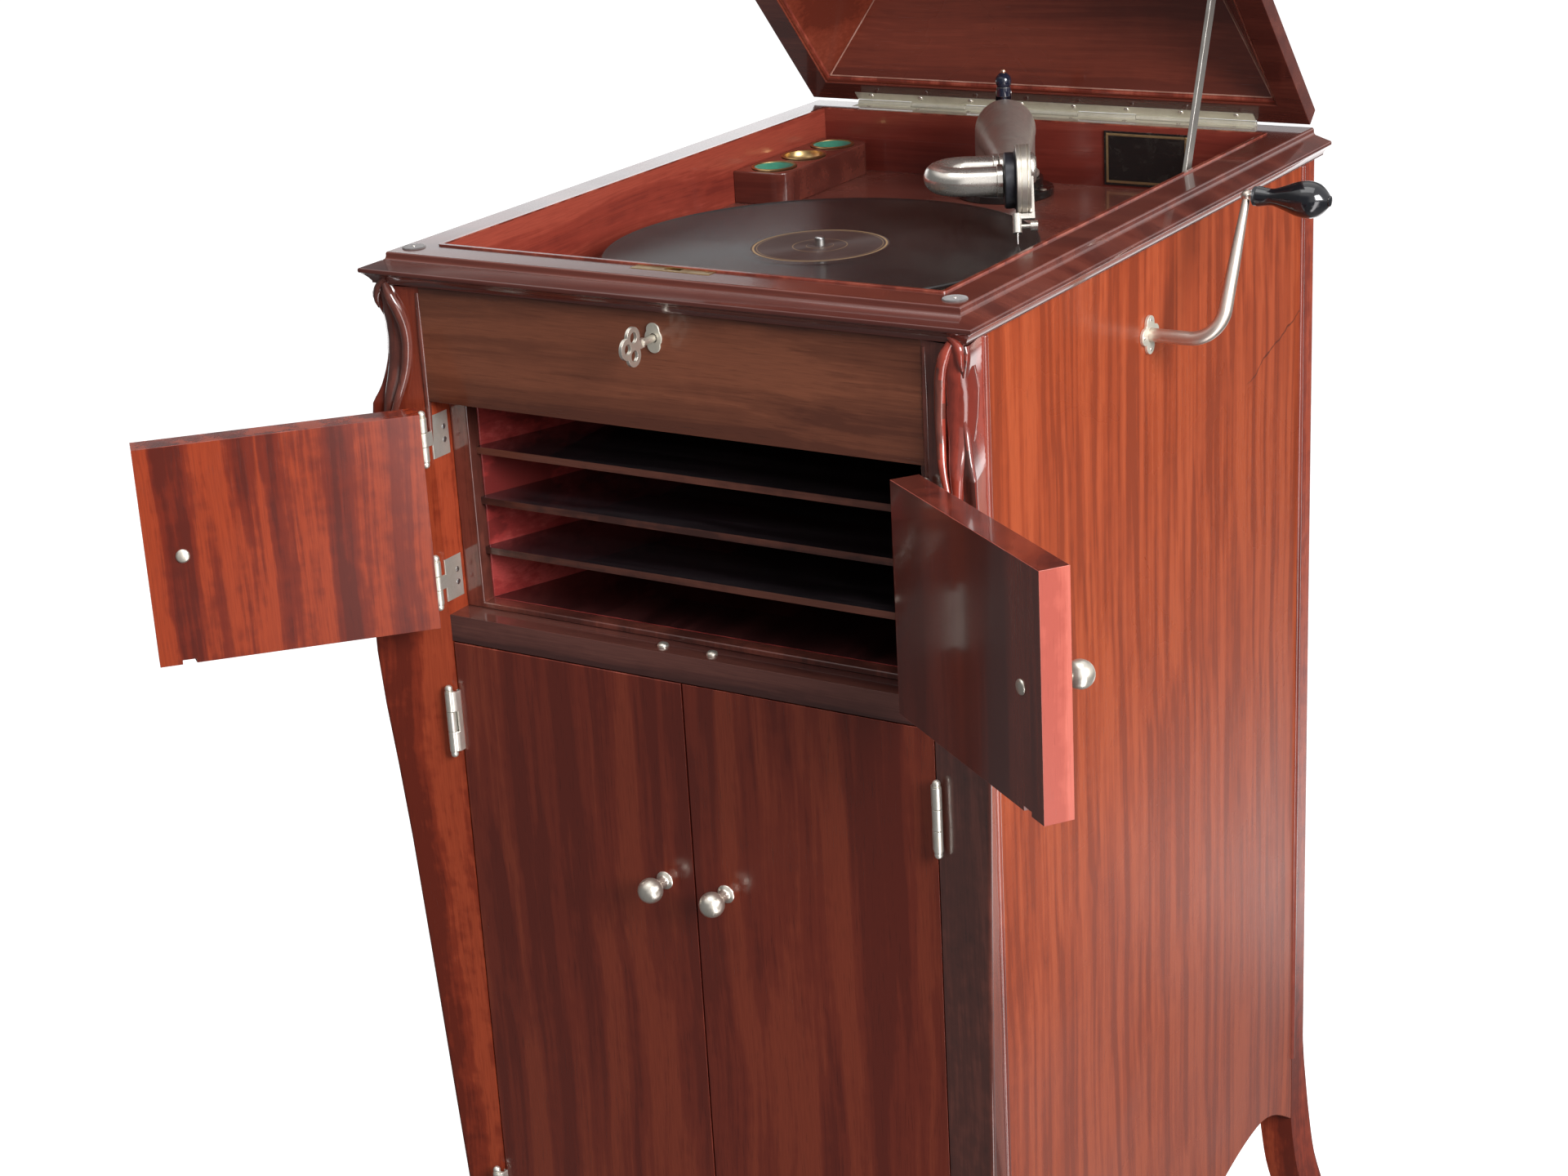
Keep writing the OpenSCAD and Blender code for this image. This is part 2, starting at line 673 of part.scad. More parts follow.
module tone_arm_bracket() color([0.75, 0.7, 0.65]) at_arm() {
    difference() {
        union() {
            translate([bend_r, 0, bend_z]) rotate([90, 0, 0]) rotate([0, 0, bracket_end])
                rotate_extrude(angle = 180 - bracket_end, $fn = 96)
                    translate([bracket_r - strap_t / 2, -strap_w / 2]) square([strap_t, strap_w]);
            span([bend_r - bracket_r - upright_t / 2, -upright_w / 2, board_top + base_t],
                [bend_r - bracket_r + upright_t / 2, upright_w / 2, bend_z + 1]);
            translate([0, 0, bracket_top - 3]) cylinder(h = 7, r = 5.5);
        }
        translate([0, 0, bracket_top - 8]) cylinder(h = 16, r = pivot_r + run);
    }
    rotate_extrude() difference() {
        union() {
            translate([0, screw_z]) square([pivot_r, bracket_top + 8 - screw_z]);
            translate([0, bracket_top + 9]) circle(pivot_ball_r);
        }
        translate([-2 * pivot_ball_r, screw_z - 1]) square([2 * pivot_ball_r, bracket_top + 20 - screw_z]);
    }
}

module needle_cup_block() color([0.35, 0.13, 0.09])
    translate([-well_x, block_y0, board_top]) difference() {
        linear_extrude(block_h) union() {
            square([block_w - 14, block_l]);
            translate([0, 14]) square([block_w, block_l - 28]);
            translate([block_w - 14, 14]) circle(14);
            translate([block_w - 14, block_l - 14]) circle(14);
        }
        for (i = [-1 : 1])
            translate([block_w / 2, block_l / 2 + i * cup_pitch, block_h - cup_depth - 2])
                cylinder(h = cup_depth + 3, r = cup_d / 2 - 1.5 + pass);
    }
block_h = board_drop - 22.5;
block_y0 = well_y1 - 6 - block_l;

module needle_cups() color([0.7, 0.55, 0.3])
    for (i = [-1 : 1])
        translate([block_w / 2 - well_x, block_y0 + block_l / 2 + i * cup_pitch, board_top + block_h])
            rotate_extrude() needle_cup_section();

module needle_cup_section() {
    r = cup_d / 2;
    difference() {
        union() {
            translate([0, -cup_depth]) square([r - 1.5, cup_depth]);
            square([r, 1]);
        }
        translate([0, 1.2]) intersection() {
            translate([0, r * 0.55 - cup_depth + 0.8]) circle(r);
            translate([0, -cup_depth]) square([r - 2.5, cup_depth + 1]);
        }
    }
}

module data_plate() color([0.1, 0.09, 0.08])
    translate([label_x, well_y1 - label_t, rim_z - label_drop - label_h]) cube([label_w, label_t, label_h]);

key_x = -2.5;
key_z = rim_z - 39;
key_r = 2.5;
lock_y = (well_y0 + front_in_y) / 2;

// Room for the lid lock in the frame, the lining and the fascia
module lock_room(extra) {
    span([-30 - extra, lock_y - 6 - extra, rim_z - 1.4], [30 + extra, lock_y + 6 + extra, rim_z + 1]);
    span([-20 - extra, lock_y - 5 - extra, key_z - 9 - extra], [20 + extra, lock_y + 5 + extra, rim_z]);
}

module lid_lock() color([0.72, 0.56, 0.32]) difference() {
    union() {
        span([-30, lock_y - 6, rim_z - 1.4], [30, lock_y + 6, rim_z + 0.3]);
        span([-20, lock_y - 5, key_z - 9], [20, lock_y + 5, rim_z - 1]);
    }
    span([-6, lock_y - 3, rim_z - 16], [6, lock_y + 3, rim_z + 1]);
    translate([key_x, 0, key_z]) rod_y(lock_y - 6, lock_y + 2, key_r + run);
    for (s = [-1, 1]) translate([25 * s, lock_y, rim_z - 2]) cylinder(h = 3, r = 1.5);
}

module key() color([0.75, 0.7, 0.6]) translate([key_x, 0, key_z]) {
    rod_y(front_y - 14, lock_y + 1, key_r);
    translate([0, front_y - 14, 0]) rotate([0, 90, 0]) linear_extrude(2.4, center = true)
        difference() {
            union() {
                translate([6, -10]) circle(7);
                translate([-6, -10]) circle(7);
                translate([0, -17]) circle(7);
                translate([-3, -8]) square([6, 10]);
            }
            translate([6, -10]) circle(3.6);
            translate([-6, -10]) circle(3.6);
            translate([0, -17]) circle(3.4);
        }
}

module escutcheons() color([0.75, 0.62, 0.4]) {
    translate([key_x, front_y, key_z]) rotate([90, 0, 0]) linear_extrude(1.2) difference() {
        union() {
            circle(6.5);
            translate([0, 5]) circle(5);
            translate([0, -5]) circle(5);
        }
        circle(key_r + 0.5);
    }
    translate([case_x, crank_y, crank_z]) rotate([90, 0, 90]) linear_extrude(2.4) difference() {
        union() {
            for (a = [0 : 90 : 270]) rotate(a) translate([7.5, 0]) circle(6);
            circle(9);
        }
        circle(crank_r + run);
    }
}

module rim_bumpers() color([0.5, 0.5, 0.48])
    mirror_pair() translate([lip_w / 2 - 26, -lip_d / 2 + 30, rim_z]) cylinder(h = 1.6, r = 8);

// Ends of a knuckle of the lid hinge; alternate ones are on the rim and on the lid
function lid_knuckle(i) = [
    -lid_hinge_l / 2 + i * lid_hinge_l / knuckle_n + 0.2,
    -lid_hinge_l / 2 + (i + 1) * lid_hinge_l / knuckle_n - 0.2];

// Leaf of the lid hinge between two heights, with every second knuckle
module lid_leaf(z0, z1, first) difference() {
    union() {
        span([-lid_hinge_l / 2, hinge_y - lid_leaf_w, z0],
            [lid_hinge_l / 2, hinge_y - lid_hinge_r - 0.6, z1]);
        for (i = [first : 2 : knuckle_n - 1]) {
            k = lid_knuckle(i);
            span([k[0], hinge_y - lid_hinge_r - 1, z0], [k[1], hinge_y, z1]);
            translate([0, hinge_y, hinge_z]) rod_x(k[0], k[1], lid_hinge_r);
        }
    }
    translate([0, hinge_y, hinge_z]) rod_x(-lid_hinge_l / 2 - 1, lid_hinge_l / 2 + 1, lid_pin_r + run);
}

module lid_hinge_case_leaf() color([0.76, 0.72, 0.66])
    lid_leaf(rim_z - lid_leaf_t, rim_z, 0);

// Right-hand door hinge pieces, drawn closed; h is the middle height, l the barrel's length
module case_leaf(h, l) translate([0, 0, h - l / 2]) difference() {
    union() {
        span([post_x, pin_y + 5.8, 0], [post_x + leaf_t, pin_y + leaf_w + 3, l]);
        span([post_x, pin_y, l / 3 + 0.2], [post_x + leaf_t, pin_y + 7, 2 * l / 3 - 0.2]);
        translate([pin_x, pin_y, l / 3 + 0.2]) cylinder(h = l / 3 - 0.4, r = barrel_r);
    }
    translate([pin_x, pin_y, -1]) cylinder(h = l + 2, r = door_pin_r + run);
}

module case_leaf_recess() {
    for (h = upper_hinges) recess_box(h, upper_barrel);
    for (h = lower_hinges) recess_box(h, lower_barrel);
}

module recess_box(h, l)
    span([post_x - 1, pin_y - 6, h - l / 2], [post_x + leaf_t, pin_y + leaf_w + 3, h + l / 2]);

module door_leaf(h, l) translate([0, 0, h - l / 2]) difference() {
    union() {
        span([door_edge_x - leaf_t, pin_y + 2, 0], [door_edge_x, pin_y + leaf_w + 3, l]);
        for (z = [0, 2 * l / 3 + 0.2]) translate([0, 0, z]) {
            linear_extrude(l / 3 - 0.2) polygon([
                [door_edge_x - leaf_t, pin_y + 3.2], [door_edge_x - leaf_t, pin_y + 1.6],
                [pin_x - 1.5, pin_y - 2.4], [pin_x, pin_y + 1.8], [door_edge_x, pin_y + 3.2]]);
            translate([pin_x, pin_y, 0]) cylinder(h = l / 3 - 0.2, r = barrel_r);
        }
    }
    translate([pin_x, pin_y, -1]) cylinder(h = l + 2, r = door_pin_r + run);
    translate([pin_x, pin_y, l / 3 - 0.2]) cylinder(h = l / 3 + 0.4, r = barrel_r + pass);
}

module door_hinge_case_leaves() color([0.72, 0.64, 0.52]) mirror_pair() {
    for (h = upper_hinges) case_leaf(h, upper_barrel);
    for (h = lower_hinges) case_leaf(h, lower_barrel);
}

module door_pin(h, l) translate([pin_x, pin_y, h]) {
    cylinder(h = l + 1.6, r = door_pin_r, center = true);
    for (s = [-1, 1]) translate([0, 0, s * (l / 2 + 0.3 + finial_r * 0.7)]) difference() {
        sphere(finial_r);
        translate([0, 0, -s * (finial_r * 0.7 + 5)]) cube(10, center = true);
    }
}

module hinge_pins() color([0.76, 0.72, 0.66]) {
    mirror_pair() {
        for (h = upper_hinges) door_pin(h, upper_barrel);
        for (h = lower_hinges) door_pin(h, lower_barrel);
    }
    translate([0, hinge_y, hinge_z]) rod_x(-lid_hinge_l / 2, lid_hinge_l / 2, lid_pin_r);
}

// Children drawn for a closed right-hand door, turned open and mirrored to a side
module hung(side, open) {
    mirror([side < 0 ? 1 : 0, 0, 0])
        translate([pin_x, pin_y, 0]) rotate([0, 0, open]) translate([-pin_x, -pin_y, 0]) children();
}

module door(z0, h, hinges, l, knob_z, catch_z) difference() {
    span([door_in_x, front_y, z0], [door_edge_x, front_y + door_t, z0 + h]);
    for (k = hinges)
        span([door_edge_x - leaf_t, pin_y, k - l / 2], [door_edge_x + 1, pin_y + leaf_w + 3, k + l / 2]);
    translate([knob_inset, 0, knob_z]) rod_y(front_y - 1, front_y + door_t + 1, shank_r + run);
    if (catch_z > 0) catch_groove(catch_z);
}

// Groove in a door's lower edge for the sill catch, on the path that the catch takes
module catch_groove(z) {
    r = norm([pin_x - catch_x, pin_y - catch_y]);
    half = catch_r + 0.6;
    first = atan2(catch_y - pin_y, catch_x - pin_x) + asin(half / r);
    translate([pin_x, pin_y, z - 1]) rotate([0, 0, first - 14]) rotate_extrude(angle = 14, $fn = 128)
        translate([r - half, 0]) square([2 * half, catch_up + 1]);
}

module upper_door() color([0.42, 0.17, 0.1])
    door(upper_z, upper_door_h, upper_hinges, upper_barrel, upper_knob_z, upper_z);

module lower_door() color([0.42, 0.17, 0.1])
    door(lower_z, lower_door_h, lower_hinges, lower_barrel, lower_knob_z, 0);

module upper_left_door() hung(-1, left_open) upper_door();
module upper_right_door() hung(1, right_open) upper_door();
module lower_left_door() hung(-1, 0) lower_door();
module lower_right_door() hung(1, 0) lower_door();

module knob(z) color([0.75, 0.7, 0.64]) translate([knob_inset, front_y, z]) rotate([90, 0, 0]) {
    r = knob_d / 2;
    rotate_extrude() difference() {
        union() {
            translate([0, -door_t - 2.5]) square([shank_r, door_t + 3]);
            translate([0, -door_t - 2.5]) square([3.4, 2.5]);
            square([6.2, 1.8]);
            square([3.4, knob_reach]);
            translate([0, knob_reach]) circle(r);
        }
        translate([-2 * r, -door_t - 4]) square([2 * r, door_t + knob_reach + 2 * r + 8]);
    }
}

module upper_left_knob() hung(-1, left_open) knob(upper_knob_z);
module upper_right_knob() hung(1, right_open) knob(upper_knob_z);
module lower_left_knob() hung(-1, 0) knob(lower_knob_z);
module lower_right_knob() hung(1, 0) knob(lower_knob_z);

module upper_leaves() color([0.72, 0.64, 0.52]) for (h = upper_hinges) door_leaf(h, upper_barrel);
module lower_leaves() color([0.72, 0.64, 0.52]) for (h = lower_hinges) door_leaf(h, lower_barrel);
module upper_left_hinge_leaves() hung(-1, left_open) upper_leaves();
module upper_right_hinge_leaves() hung(1, right_open) upper_leaves();
module lower_left_hinge_leaves() hung(-1, 0) lower_leaves();
module lower_right_hinge_leaves() hung(1, 0) lower_leaves();

module sill_catch_pins() color([0.76, 0.72, 0.66])
    mirror_pair() translate([catch_x, catch_y, shelf_top]) {
        translate([0, 0, -8]) cylinder(h = 8.5, r = 2);
        intersection() {
            translate([0, 0, catch_up - catch_r]) sphere(catch_r);
            cylinder(h = catch_r, r = catch_r);
        }
    }

// Toothed wheel: n teeth of module m, with straight flanks a little thinner than half the pitch
module wheel(n, m, t, phase) {
    r = n * m / 2;
    function pt(rad, a) = [rad * cos(a), rad * sin(a)];
    half = 180 / n;
    rotate([0, 0, phase]) linear_extrude(t) polygon([for (i = [0 : n - 1]) let (a = 2 * half * i)
        each [pt(r - 1.1 * m, a - 0.72 * half), pt(r + 0.8 * m, a - 0.22 * half),
            pt(r + 0.8 * m, a + 0.22 * half), pt(r - 1.1 * m, a + 0.72 * half)]]);
}

// Turn that puts a gap of an n-tooth wheel at angle a
function gap_at(n, a) = a + 180 / n;

module spindle() color([0.75, 0.72, 0.68]) translate([0, spindle_y, 0]) {
    toward = atan2(crank_y - spindle_y, barrel_x);
    translate([0, 0, low_plate_z + 1]) cylinder(h = record_top + spindle_up - low_plate_z - 2, r = spindle_r);
    translate([0, 0, record_top + spindle_up - 1]) cylinder(h = 1, r1 = spindle_r, r2 = spindle_r - 1);
    translate([0, 0, great_z - 2]) wheel(pinion_n, great_m, great_t + 4, toward);
    translate([0, 0, gov_wheel_z]) wheel(gov_wheel_n, gov_m, 3, gap_at(gov_wheel_n, 180));
    translate([0, 0, hub_z - 3]) cylinder(h = 3, r = 8);
}

module turntable() color([0.3, 0.34, 0.3]) translate([0, spindle_y, 0]) {
    difference() {
        union() {
            translate([0, 0, platter_top - skirt_h]) cylinder(h = skirt_h, d = platter_d, $fn = 128);
            translate([0, 0, hub_z]) cylinder(h = 6, r = 12);
        }
        translate([0, 0, platter_top - skirt_h - 1]) difference() {
            cylinder(h = skirt_h - 3, d = platter_d - 6, $fn = 128);
            cylinder(h = skirt_h, r = 12);
        }
        translate([0, 0, hub_z - 1]) cylinder(h = platter_top - hub_z + 2, r = spindle_r + run);
    }
    translate([0, 0, platter_top]) difference() {
        cylinder(h = felt_t, d = platter_d - 2, $fn = 128);
        translate([0, 0, -1]) cylinder(h = felt_t + 2, r = spindle_r + run);
    }
}

module record() color([0.06, 0.06, 0.06]) translate([0, spindle_y, felt_top]) difference() {
    cylinder(h = record_t, d = record_d, $fn = 128);
    translate([0, 0, -1]) cylinder(h = record_t + 2, r = spindle_r + run);
}

// Elbow of the tone arm at a tube radius r
module arm_elbow(r) {
    translate([bend_r, 0, bend_z]) rotate([90, 0, 0]) rotate([0, 0, 180 - elbow_turn])
        rotate_extrude(angle = elbow_turn) translate([bend_r, 0]) circle(r);
}

// Children drawn along Z, laid on the tone arm's straight axis at a distance d past its elbow
module past_elbow(d) {
    translate([bend_end[0] + d * cos(arm_climb), 0, bend_end[1] + d * sin(arm_climb)])
        rotate([0, 90 - arm_climb, 0]) children();
}

// Barrel, elbow and taper at a distance in from the outer face, joined by short sleeves
module arm_tube(in, sleeve) {
    translate([0, 0, board_top + 1 - in]) cylinder(h = bend_z - board_top - 1 - joint + in, r = arm_r - in);
    translate([0, 0, bend_z - 3 * joint]) cylinder(h = 5 * joint, r = arm_r - in + sleeve);
    arm_elbow(arm_r - in);
    past_elbow(-2 * joint) cylinder(h = 5 * joint, r = arm_r - in + sleeve);
    past_elbow(joint) cylinder(h = cone_l - joint, r1 = arm_r - in, r2 = arm_tip_d / 2 - in);
}

module tone_arm() color([0.78, 0.75, 0.7]) at_arm() difference() {
    union() {
        arm_tube(0, 0.4);
        translate([0, 0, collar_z + pass]) cylinder(h = 4, r = arm_r + 3);
        translate([arm_l, 0, knuckle_z]) rod_y(knuckle_y0, knuckle_y1, knuckle_r);
    }
    arm_tube(arm_wall, -pass);
    translate([arm_l, 0, knuckle_z]) rod_y(knuckle_y0 - 1, knuckle_y1 - 3, spigot_r + run);
}

// Path of the gooseneck at a tube radius r, from the knuckle to the sound box
module neck_path(r, y_in, y_out) {
    rod_y(-neck_reach, y_in, r);
    translate([neck_span / 2, -neck_reach, 0]) rotate([0, 0, 180])
        rotate_extrude(angle = 180) translate([neck_span / 2, 0]) circle(r);
    translate([neck_span, 0, 0]) rod_y(-neck_reach, y_out, r);
}

box_back_y = -8;

module gooseneck() color([0.78, 0.75, 0.7]) at_arm() translate([arm_l, 0, knuckle_z]) difference() {
    union() {
        neck_path(neck_r, knuckle_y0 - pass, box_back_y - 0.2);
        rod_y(knuckle_y0 - 1, knuckle_y1 - 4, spigot_r);
        translate([neck_span, 0, 0]) rod_y(box_back_y - 1, box_back_y + 4, spigot_r);
    }
    neck_path(neck_bore, knuckle_y1, box_back_y + 5);
}

// Children drawn round the sound box axis, Y square to the diaphragm, Z up along the needle bar
module at_box() {
    at_arm() translate([box_x, 0, knuckle_z]) rotate([0, -needle_lean, 0]) children();
}

module sound_box() color([0.14, 0.13, 0.13]) at_box() difference() {
    union() {
        rod_y(box_back_y, 1, back_r);
        rod_y(0, box_t, box_r);
    }
    rod_y(box_back_y - 1, box_back_y + 4.2, spigot_r + run);
    rod_y(box_back_y, 3, neck_bore);
    rod_y(2, box_t + 1, box_r - 3.5);
}

module sound_box_ring() color([0.78, 0.75, 0.7]) at_box() difference() {
    rod_y(box_t, box_t + 2, box_r);
    rod_y(box_t - 1, box_t + 3, box_r - 5);
}

module diaphragm() color([0.8, 0.76, 0.6]) at_box() rod_y(box_t - 3, box_t - 2.2, box_r - 3.6);

module needle_bar() color([0.76, 0.74, 0.7]) at_box() {
    tip = needle_l;
    bar_y = box_t + 2.2;
    span([-1.6, bar_y, -box_r - 3], [1.6, bar_y + 2, 2]);
    rod_y(box_t - 2.1, bar_y + 1, 1);
    translate([0, 0, -box_r - 14]) cylinder(h = 13.6, r = 3.2);
    span([-2, 0, -box_r - 4], [2, bar_y + 2, -box_r - 0.5]);
    translate([0, 0, -box_r - 9]) rod_y(2, 9, 1.6);
    translate([0, 0, -box_r - 9]) rod_y(9, 14, 3.6);
    translate([0, 0, -tip]) cylinder(h = tip - box_r - 10, r1 = 0.25, r2 = 0.9);
}

// Middle of the crank arm's outer end
crank_end = [crank_x + crank_rise, crank_throw * sin(crank_lean), crank_throw * cos(crank_lean)];
// Turn of the crank's bend and its length along each leg
bend_turn = 90 - atan2(crank_rise, crank_throw);
bend_leg = crank_bend * tan(bend_turn / 2);
// Radius of the pin that the handle turns on
pin_r = 3;
// Radius of the handle at a share of its length: a flared foot, a neck and a pear
function handle_r(s) = handle_d / 2 * (s < 0.25
    ? 0.51 + 0.06 * cos(720 * s)
    : (0.45 + 0.55 * pow(max(sin(180 * (pow(s, 1.5) - 0.125) / 0.96), 0), 1.2))
        * sqrt(1 - pow(max(s - 0.85, 0) / 0.18, 2)));

module crank() color([0.74, 0.7, 0.64]) translate([0, crank_y, crank_z]) {
    rod_x(barrel_x + crown_r - crown_w / 2, crank_x - bend_leg + joint, crank_r);
    translate([barrel_x + crown_r - crown_w / 2, 0, 0]) rotate([0, 90, 0])
        wheel(wind_n, wind_m, crown_w, 0);
    translate([crank_x, 0, 0]) rotate([-crank_lean, 0, 0]) {
        translate([-bend_leg, 0, crank_bend]) rotate([90, 0, 0]) rotate([0, 0, -90])
            rotate_extrude(angle = bend_turn) translate([crank_bend, 0]) circle(crank_r - pass / 2);
        rotate([0, 90 - bend_turn, 0]) translate([0, 0, bend_leg - joint])
            cylinder(h = norm([crank_rise, crank_throw]) - bend_leg + joint, r1 = crank_r - pass, r2 = pin_r - 0.6);
    }
    translate(crank_end) sphere(pin_r + 1);
    translate(crank_end) rod_x(0, handle_x + handle_l - crank_end[0] + 1, pin_r);
    translate(crank_end) rod_x(handle_x + handle_l - crank_end[0] + 0.5,
        handle_x + handle_l - crank_end[0] + 2.5, 4.6);
}

module crank_handle() color([0.12, 0.1, 0.1])
    translate([handle_x, crank_y + crank_end[1], crank_z + crank_end[2]]) rotate([0, 90, 0])
        rotate_extrude() difference() {
            polygon(concat([[0, 0]],
                [for (i = [0 : 24]) [handle_r(i / 24), i / 24 * handle_l]],
                [[0, handle_l]]));
            translate([-0.1, -1]) square([pin_r + run + 0.1, handle_l + 2]);
        }

module winding_arbor() color([0.6, 0.6, 0.6]) translate([barrel_x, crank_y, 0]) {
    translate([0, 0, low_plate_z + 1]) cylinder(h = top_plate_z + plate_t - low_plate_z - 2, r = arbor_r);
    translate([0, 0, crown_z]) cylinder(h = crown_pitch_z - 0.95 * wind_m - crown_z, r = crown_r + crown_w / 2);
    for (i = [0 : crown_n - 1]) rotate([0, 0, (i + 0.5) * 360 / crown_n])
        span([crown_r - crown_w / 2, -crown_tooth, crown_pitch_z - 1.1 * wind_m],
            [crown_r + crown_w / 2, crown_tooth, crown_pitch_z + 0.75 * wind_m]);
}

module spring_barrel() color([0.62, 0.55, 0.4]) translate([barrel_x, crank_y, 0]) {
    toward = atan2(spindle_y - crank_y, -barrel_x);
    difference() {
        union() {
            translate([0, 0, drum_z]) cylinder(h = drum_h + 1, r = drum_r);
            translate([0, 0, great_z]) wheel(great_n, great_m, great_t, gap_at(great_n, toward));
        }
        translate([0, 0, drum_z + 2]) cylinder(h = drum_h - 4, r = drum_r - 2);
        translate([0, 0, drum_z - 1]) cylinder(h = drum_h + great_t + 2, r = arbor_r + run);
    }
    translate([0, 0, drum_z + 2.4]) mainspring();
}

// Wound strip between the arbor and the drum wall
module mainspring() {
    turns = 9;
    steps = 24 * turns;
    r0 = arbor_r + 4;
    r1 = drum_r - 2.2;
    function at(i, w) = let (a = 360 * turns * i / steps, r = r0 + (r1 - r0) * i / steps + w) [r * cos(a), r * sin(a)];
    linear_extrude(drum_h - 4.8) polygon(concat(
        [for (i = [0 : steps]) at(i, 0.5)],
        [for (i = [steps : -1 : 0]) at(i, -0.5)]));
}

module governor() color([0.7, 0.66, 0.55]) translate([gov_x, spindle_y, 0]) {
    disc_z = low_plate_z + plate_t + 3;
    top_z = gov_wheel_z - 8;
    translate([0, 0, low_plate_z + 1]) cylinder(h = top_plate_z + plate_t - low_plate_z - 2, r = 2);
    translate([0, 0, gov_wheel_z - 2]) wheel(gov_pinion_n, gov_m, 7, 0);
    translate([0, 0, disc_z]) cylinder(h = 2, r = 14);
    translate([0, 0, top_z]) cylinder(h = 4, r = 4);
    for (a = [0 : 120 : 240]) rotate([0, 0, a]) {
        translate([10, 0, (disc_z + top_z) / 2 + 1]) sphere(4);
        span([9.2, -1.5, disc_z + 1], [10.2, 1.5, top_z + 2]);
        span([0, -1.5, top_z + 1], [10.2, 1.5, top_z + 2]);
    }
}

module motor_frame() color([0.35, 0.36, 0.36]) difference() {
    union() {
        span([plate_x0, plate_y0, top_plate_z], [plate_x1, plate_y1, top_plate_z + plate_t]);
        span([plate_x0, plate_y0, low_plate_z], [plate_x1, plate_y1, low_plate_z + plate_t]);
        for (p = pillars) translate([p[0], p[1], low_plate_z]) cylinder(h = board_z - low_plate_z, r = pillar_r);
        span([plate_x1 - 10, crank_y - 10, crank_z - 9], [plate_x1 - 5, crank_y + 10, top_plate_z + 1]);
    }
    translate([0, spindle_y, low_plate_z - 1]) cylinder(h = board_z - low_plate_z, r = spindle_r + run);
    translate([barrel_x, crank_y, low_plate_z - 1]) cylinder(h = board_z - low_plate_z, r = arbor_r + run);
    translate([gov_x, spindle_y, low_plate_z - 1]) cylinder(h = board_z - low_plate_z, r = 2 + run);
    translate([0, crank_y, crank_z]) rod_x(plate_x1 - 12, plate_x1 - 4, crank_r + run);
}

module brake_lever() color([0.74, 0.7, 0.64]) translate([brake[0], brake[1], board_top]) {
    gap = norm([brake[0], brake[1] - spindle_y]) - platter_d / 2;
    translate([0, 0, -board_t]) cylinder(h = board_t + 6, r = 2.5);
    translate([0, 0, pass]) cylinder(h = 6, r = 6);
    rotate([0, 0, atan2(spindle_y - brake[1], -brake[0]) + brake_rest]) {
        span([0, -3, 1.5], [gap - 6, 3, 5]);
        span([gap - 9, -5, 1.5], [gap - 0.4, 5, 16]);
        span([-brake_grip, -3, 1.5], [0, 3, 5]);
    }
}

module speed_knob() color([0.74, 0.7, 0.64]) translate([speed[0], speed[1], board_top]) {
    translate([0, 0, -board_t]) cylinder(h = board_t + 6, r = 2.5);
    translate([0, 0, pass]) cylinder(h = 1, r = 11);
    translate([0, 0, 5]) cylinder(h = 6, r = 7);
}

lid_top_run = (lid_h - lid_edge_h - 2) / lid_slope;

// Outer edge of the lid as distances in from the side and heights over the border
lid_profile = [
    [0, 0], [0, lid_edge_h - 4], [2, lid_edge_h - 1], [5, lid_edge_h], [lid_ledge, lid_edge_h],
    [lid_ledge + 3, lid_edge_h + 2], [lid_ledge + 3 + lid_top_run, lid_h]];

// Inner side of the lid, from the border up to the ceiling
lid_hollow = [
    [border_w, -1], [border_w, 3],
    [border_w + (lid_h - lid_wall - 3) / lid_slope, lid_h - lid_wall]];

// Solid whose edge profile runs round a rectangle, with mitred corners
module hipped(profile, x0, x1, y0, y1) intersection() {
    translate([0, y1 + 1, 0]) rotate([90, 0, 0]) linear_extrude(y1 - y0 + 2) polygon(concat(
        [for (p = profile) [x1 - p[0], p[1]]],
        [for (i = [len(profile) - 1 : -1 : 0]) [x0 + profile[i][0], profile[i][1]]]));
    translate([x0 - 1, 0, 0]) rotate([90, 0, 90]) linear_extrude(x1 - x0 + 2) polygon(concat(
        [for (p = profile) [y1 - p[0], p[1]]],
        [for (i = [len(profile) - 1 : -1 : 0]) [y0 + profile[i][0], profile[i][1]]]));
}

// Children drawn for the closed lid, turned open about the hinge
module opened() {
    translate([0, hinge_y, hinge_z]) rotate([-lid_open, 0, 0]) translate([0, -hinge_y, -hinge_z]) children();
}

module lid() color([0.45, 0.18, 0.11]) opened() difference() {
    translate([0, 0, lid_z]) difference() {
        hipped(lid_profile, -lid_x, lid_x, lid_y0, lid_y1);
        hipped(lid_hollow, -lid_x, lid_x, lid_y0, lid_y1);
    }
    span([-lid_hinge_l / 2 - pass, hinge_y - lid_leaf_w, lid_z - 1],
        [lid_hinge_l / 2 + pass, hinge_y, lid_z + lid_leaf_t]);
    span([-lid_hinge_l / 2 - pass, hinge_y - lid_hinge_r - 1, lid_z - 1],
        [lid_hinge_l / 2 + pass, hinge_y, lid_z + 2.2]);
    stay_ear_box();
    span([-30, lock_y - 6, lid_z - 1], [30, lock_y + 6, lid_z + 1.2]);
}

module stay_ear_box() {
    span([stay_x - stay_t / 2 - pass - ear_t, stay_y - 7, stay_z],
        [stay_x - stay_t / 2 - pass, stay_y + 7, lid_z + 20]);
}

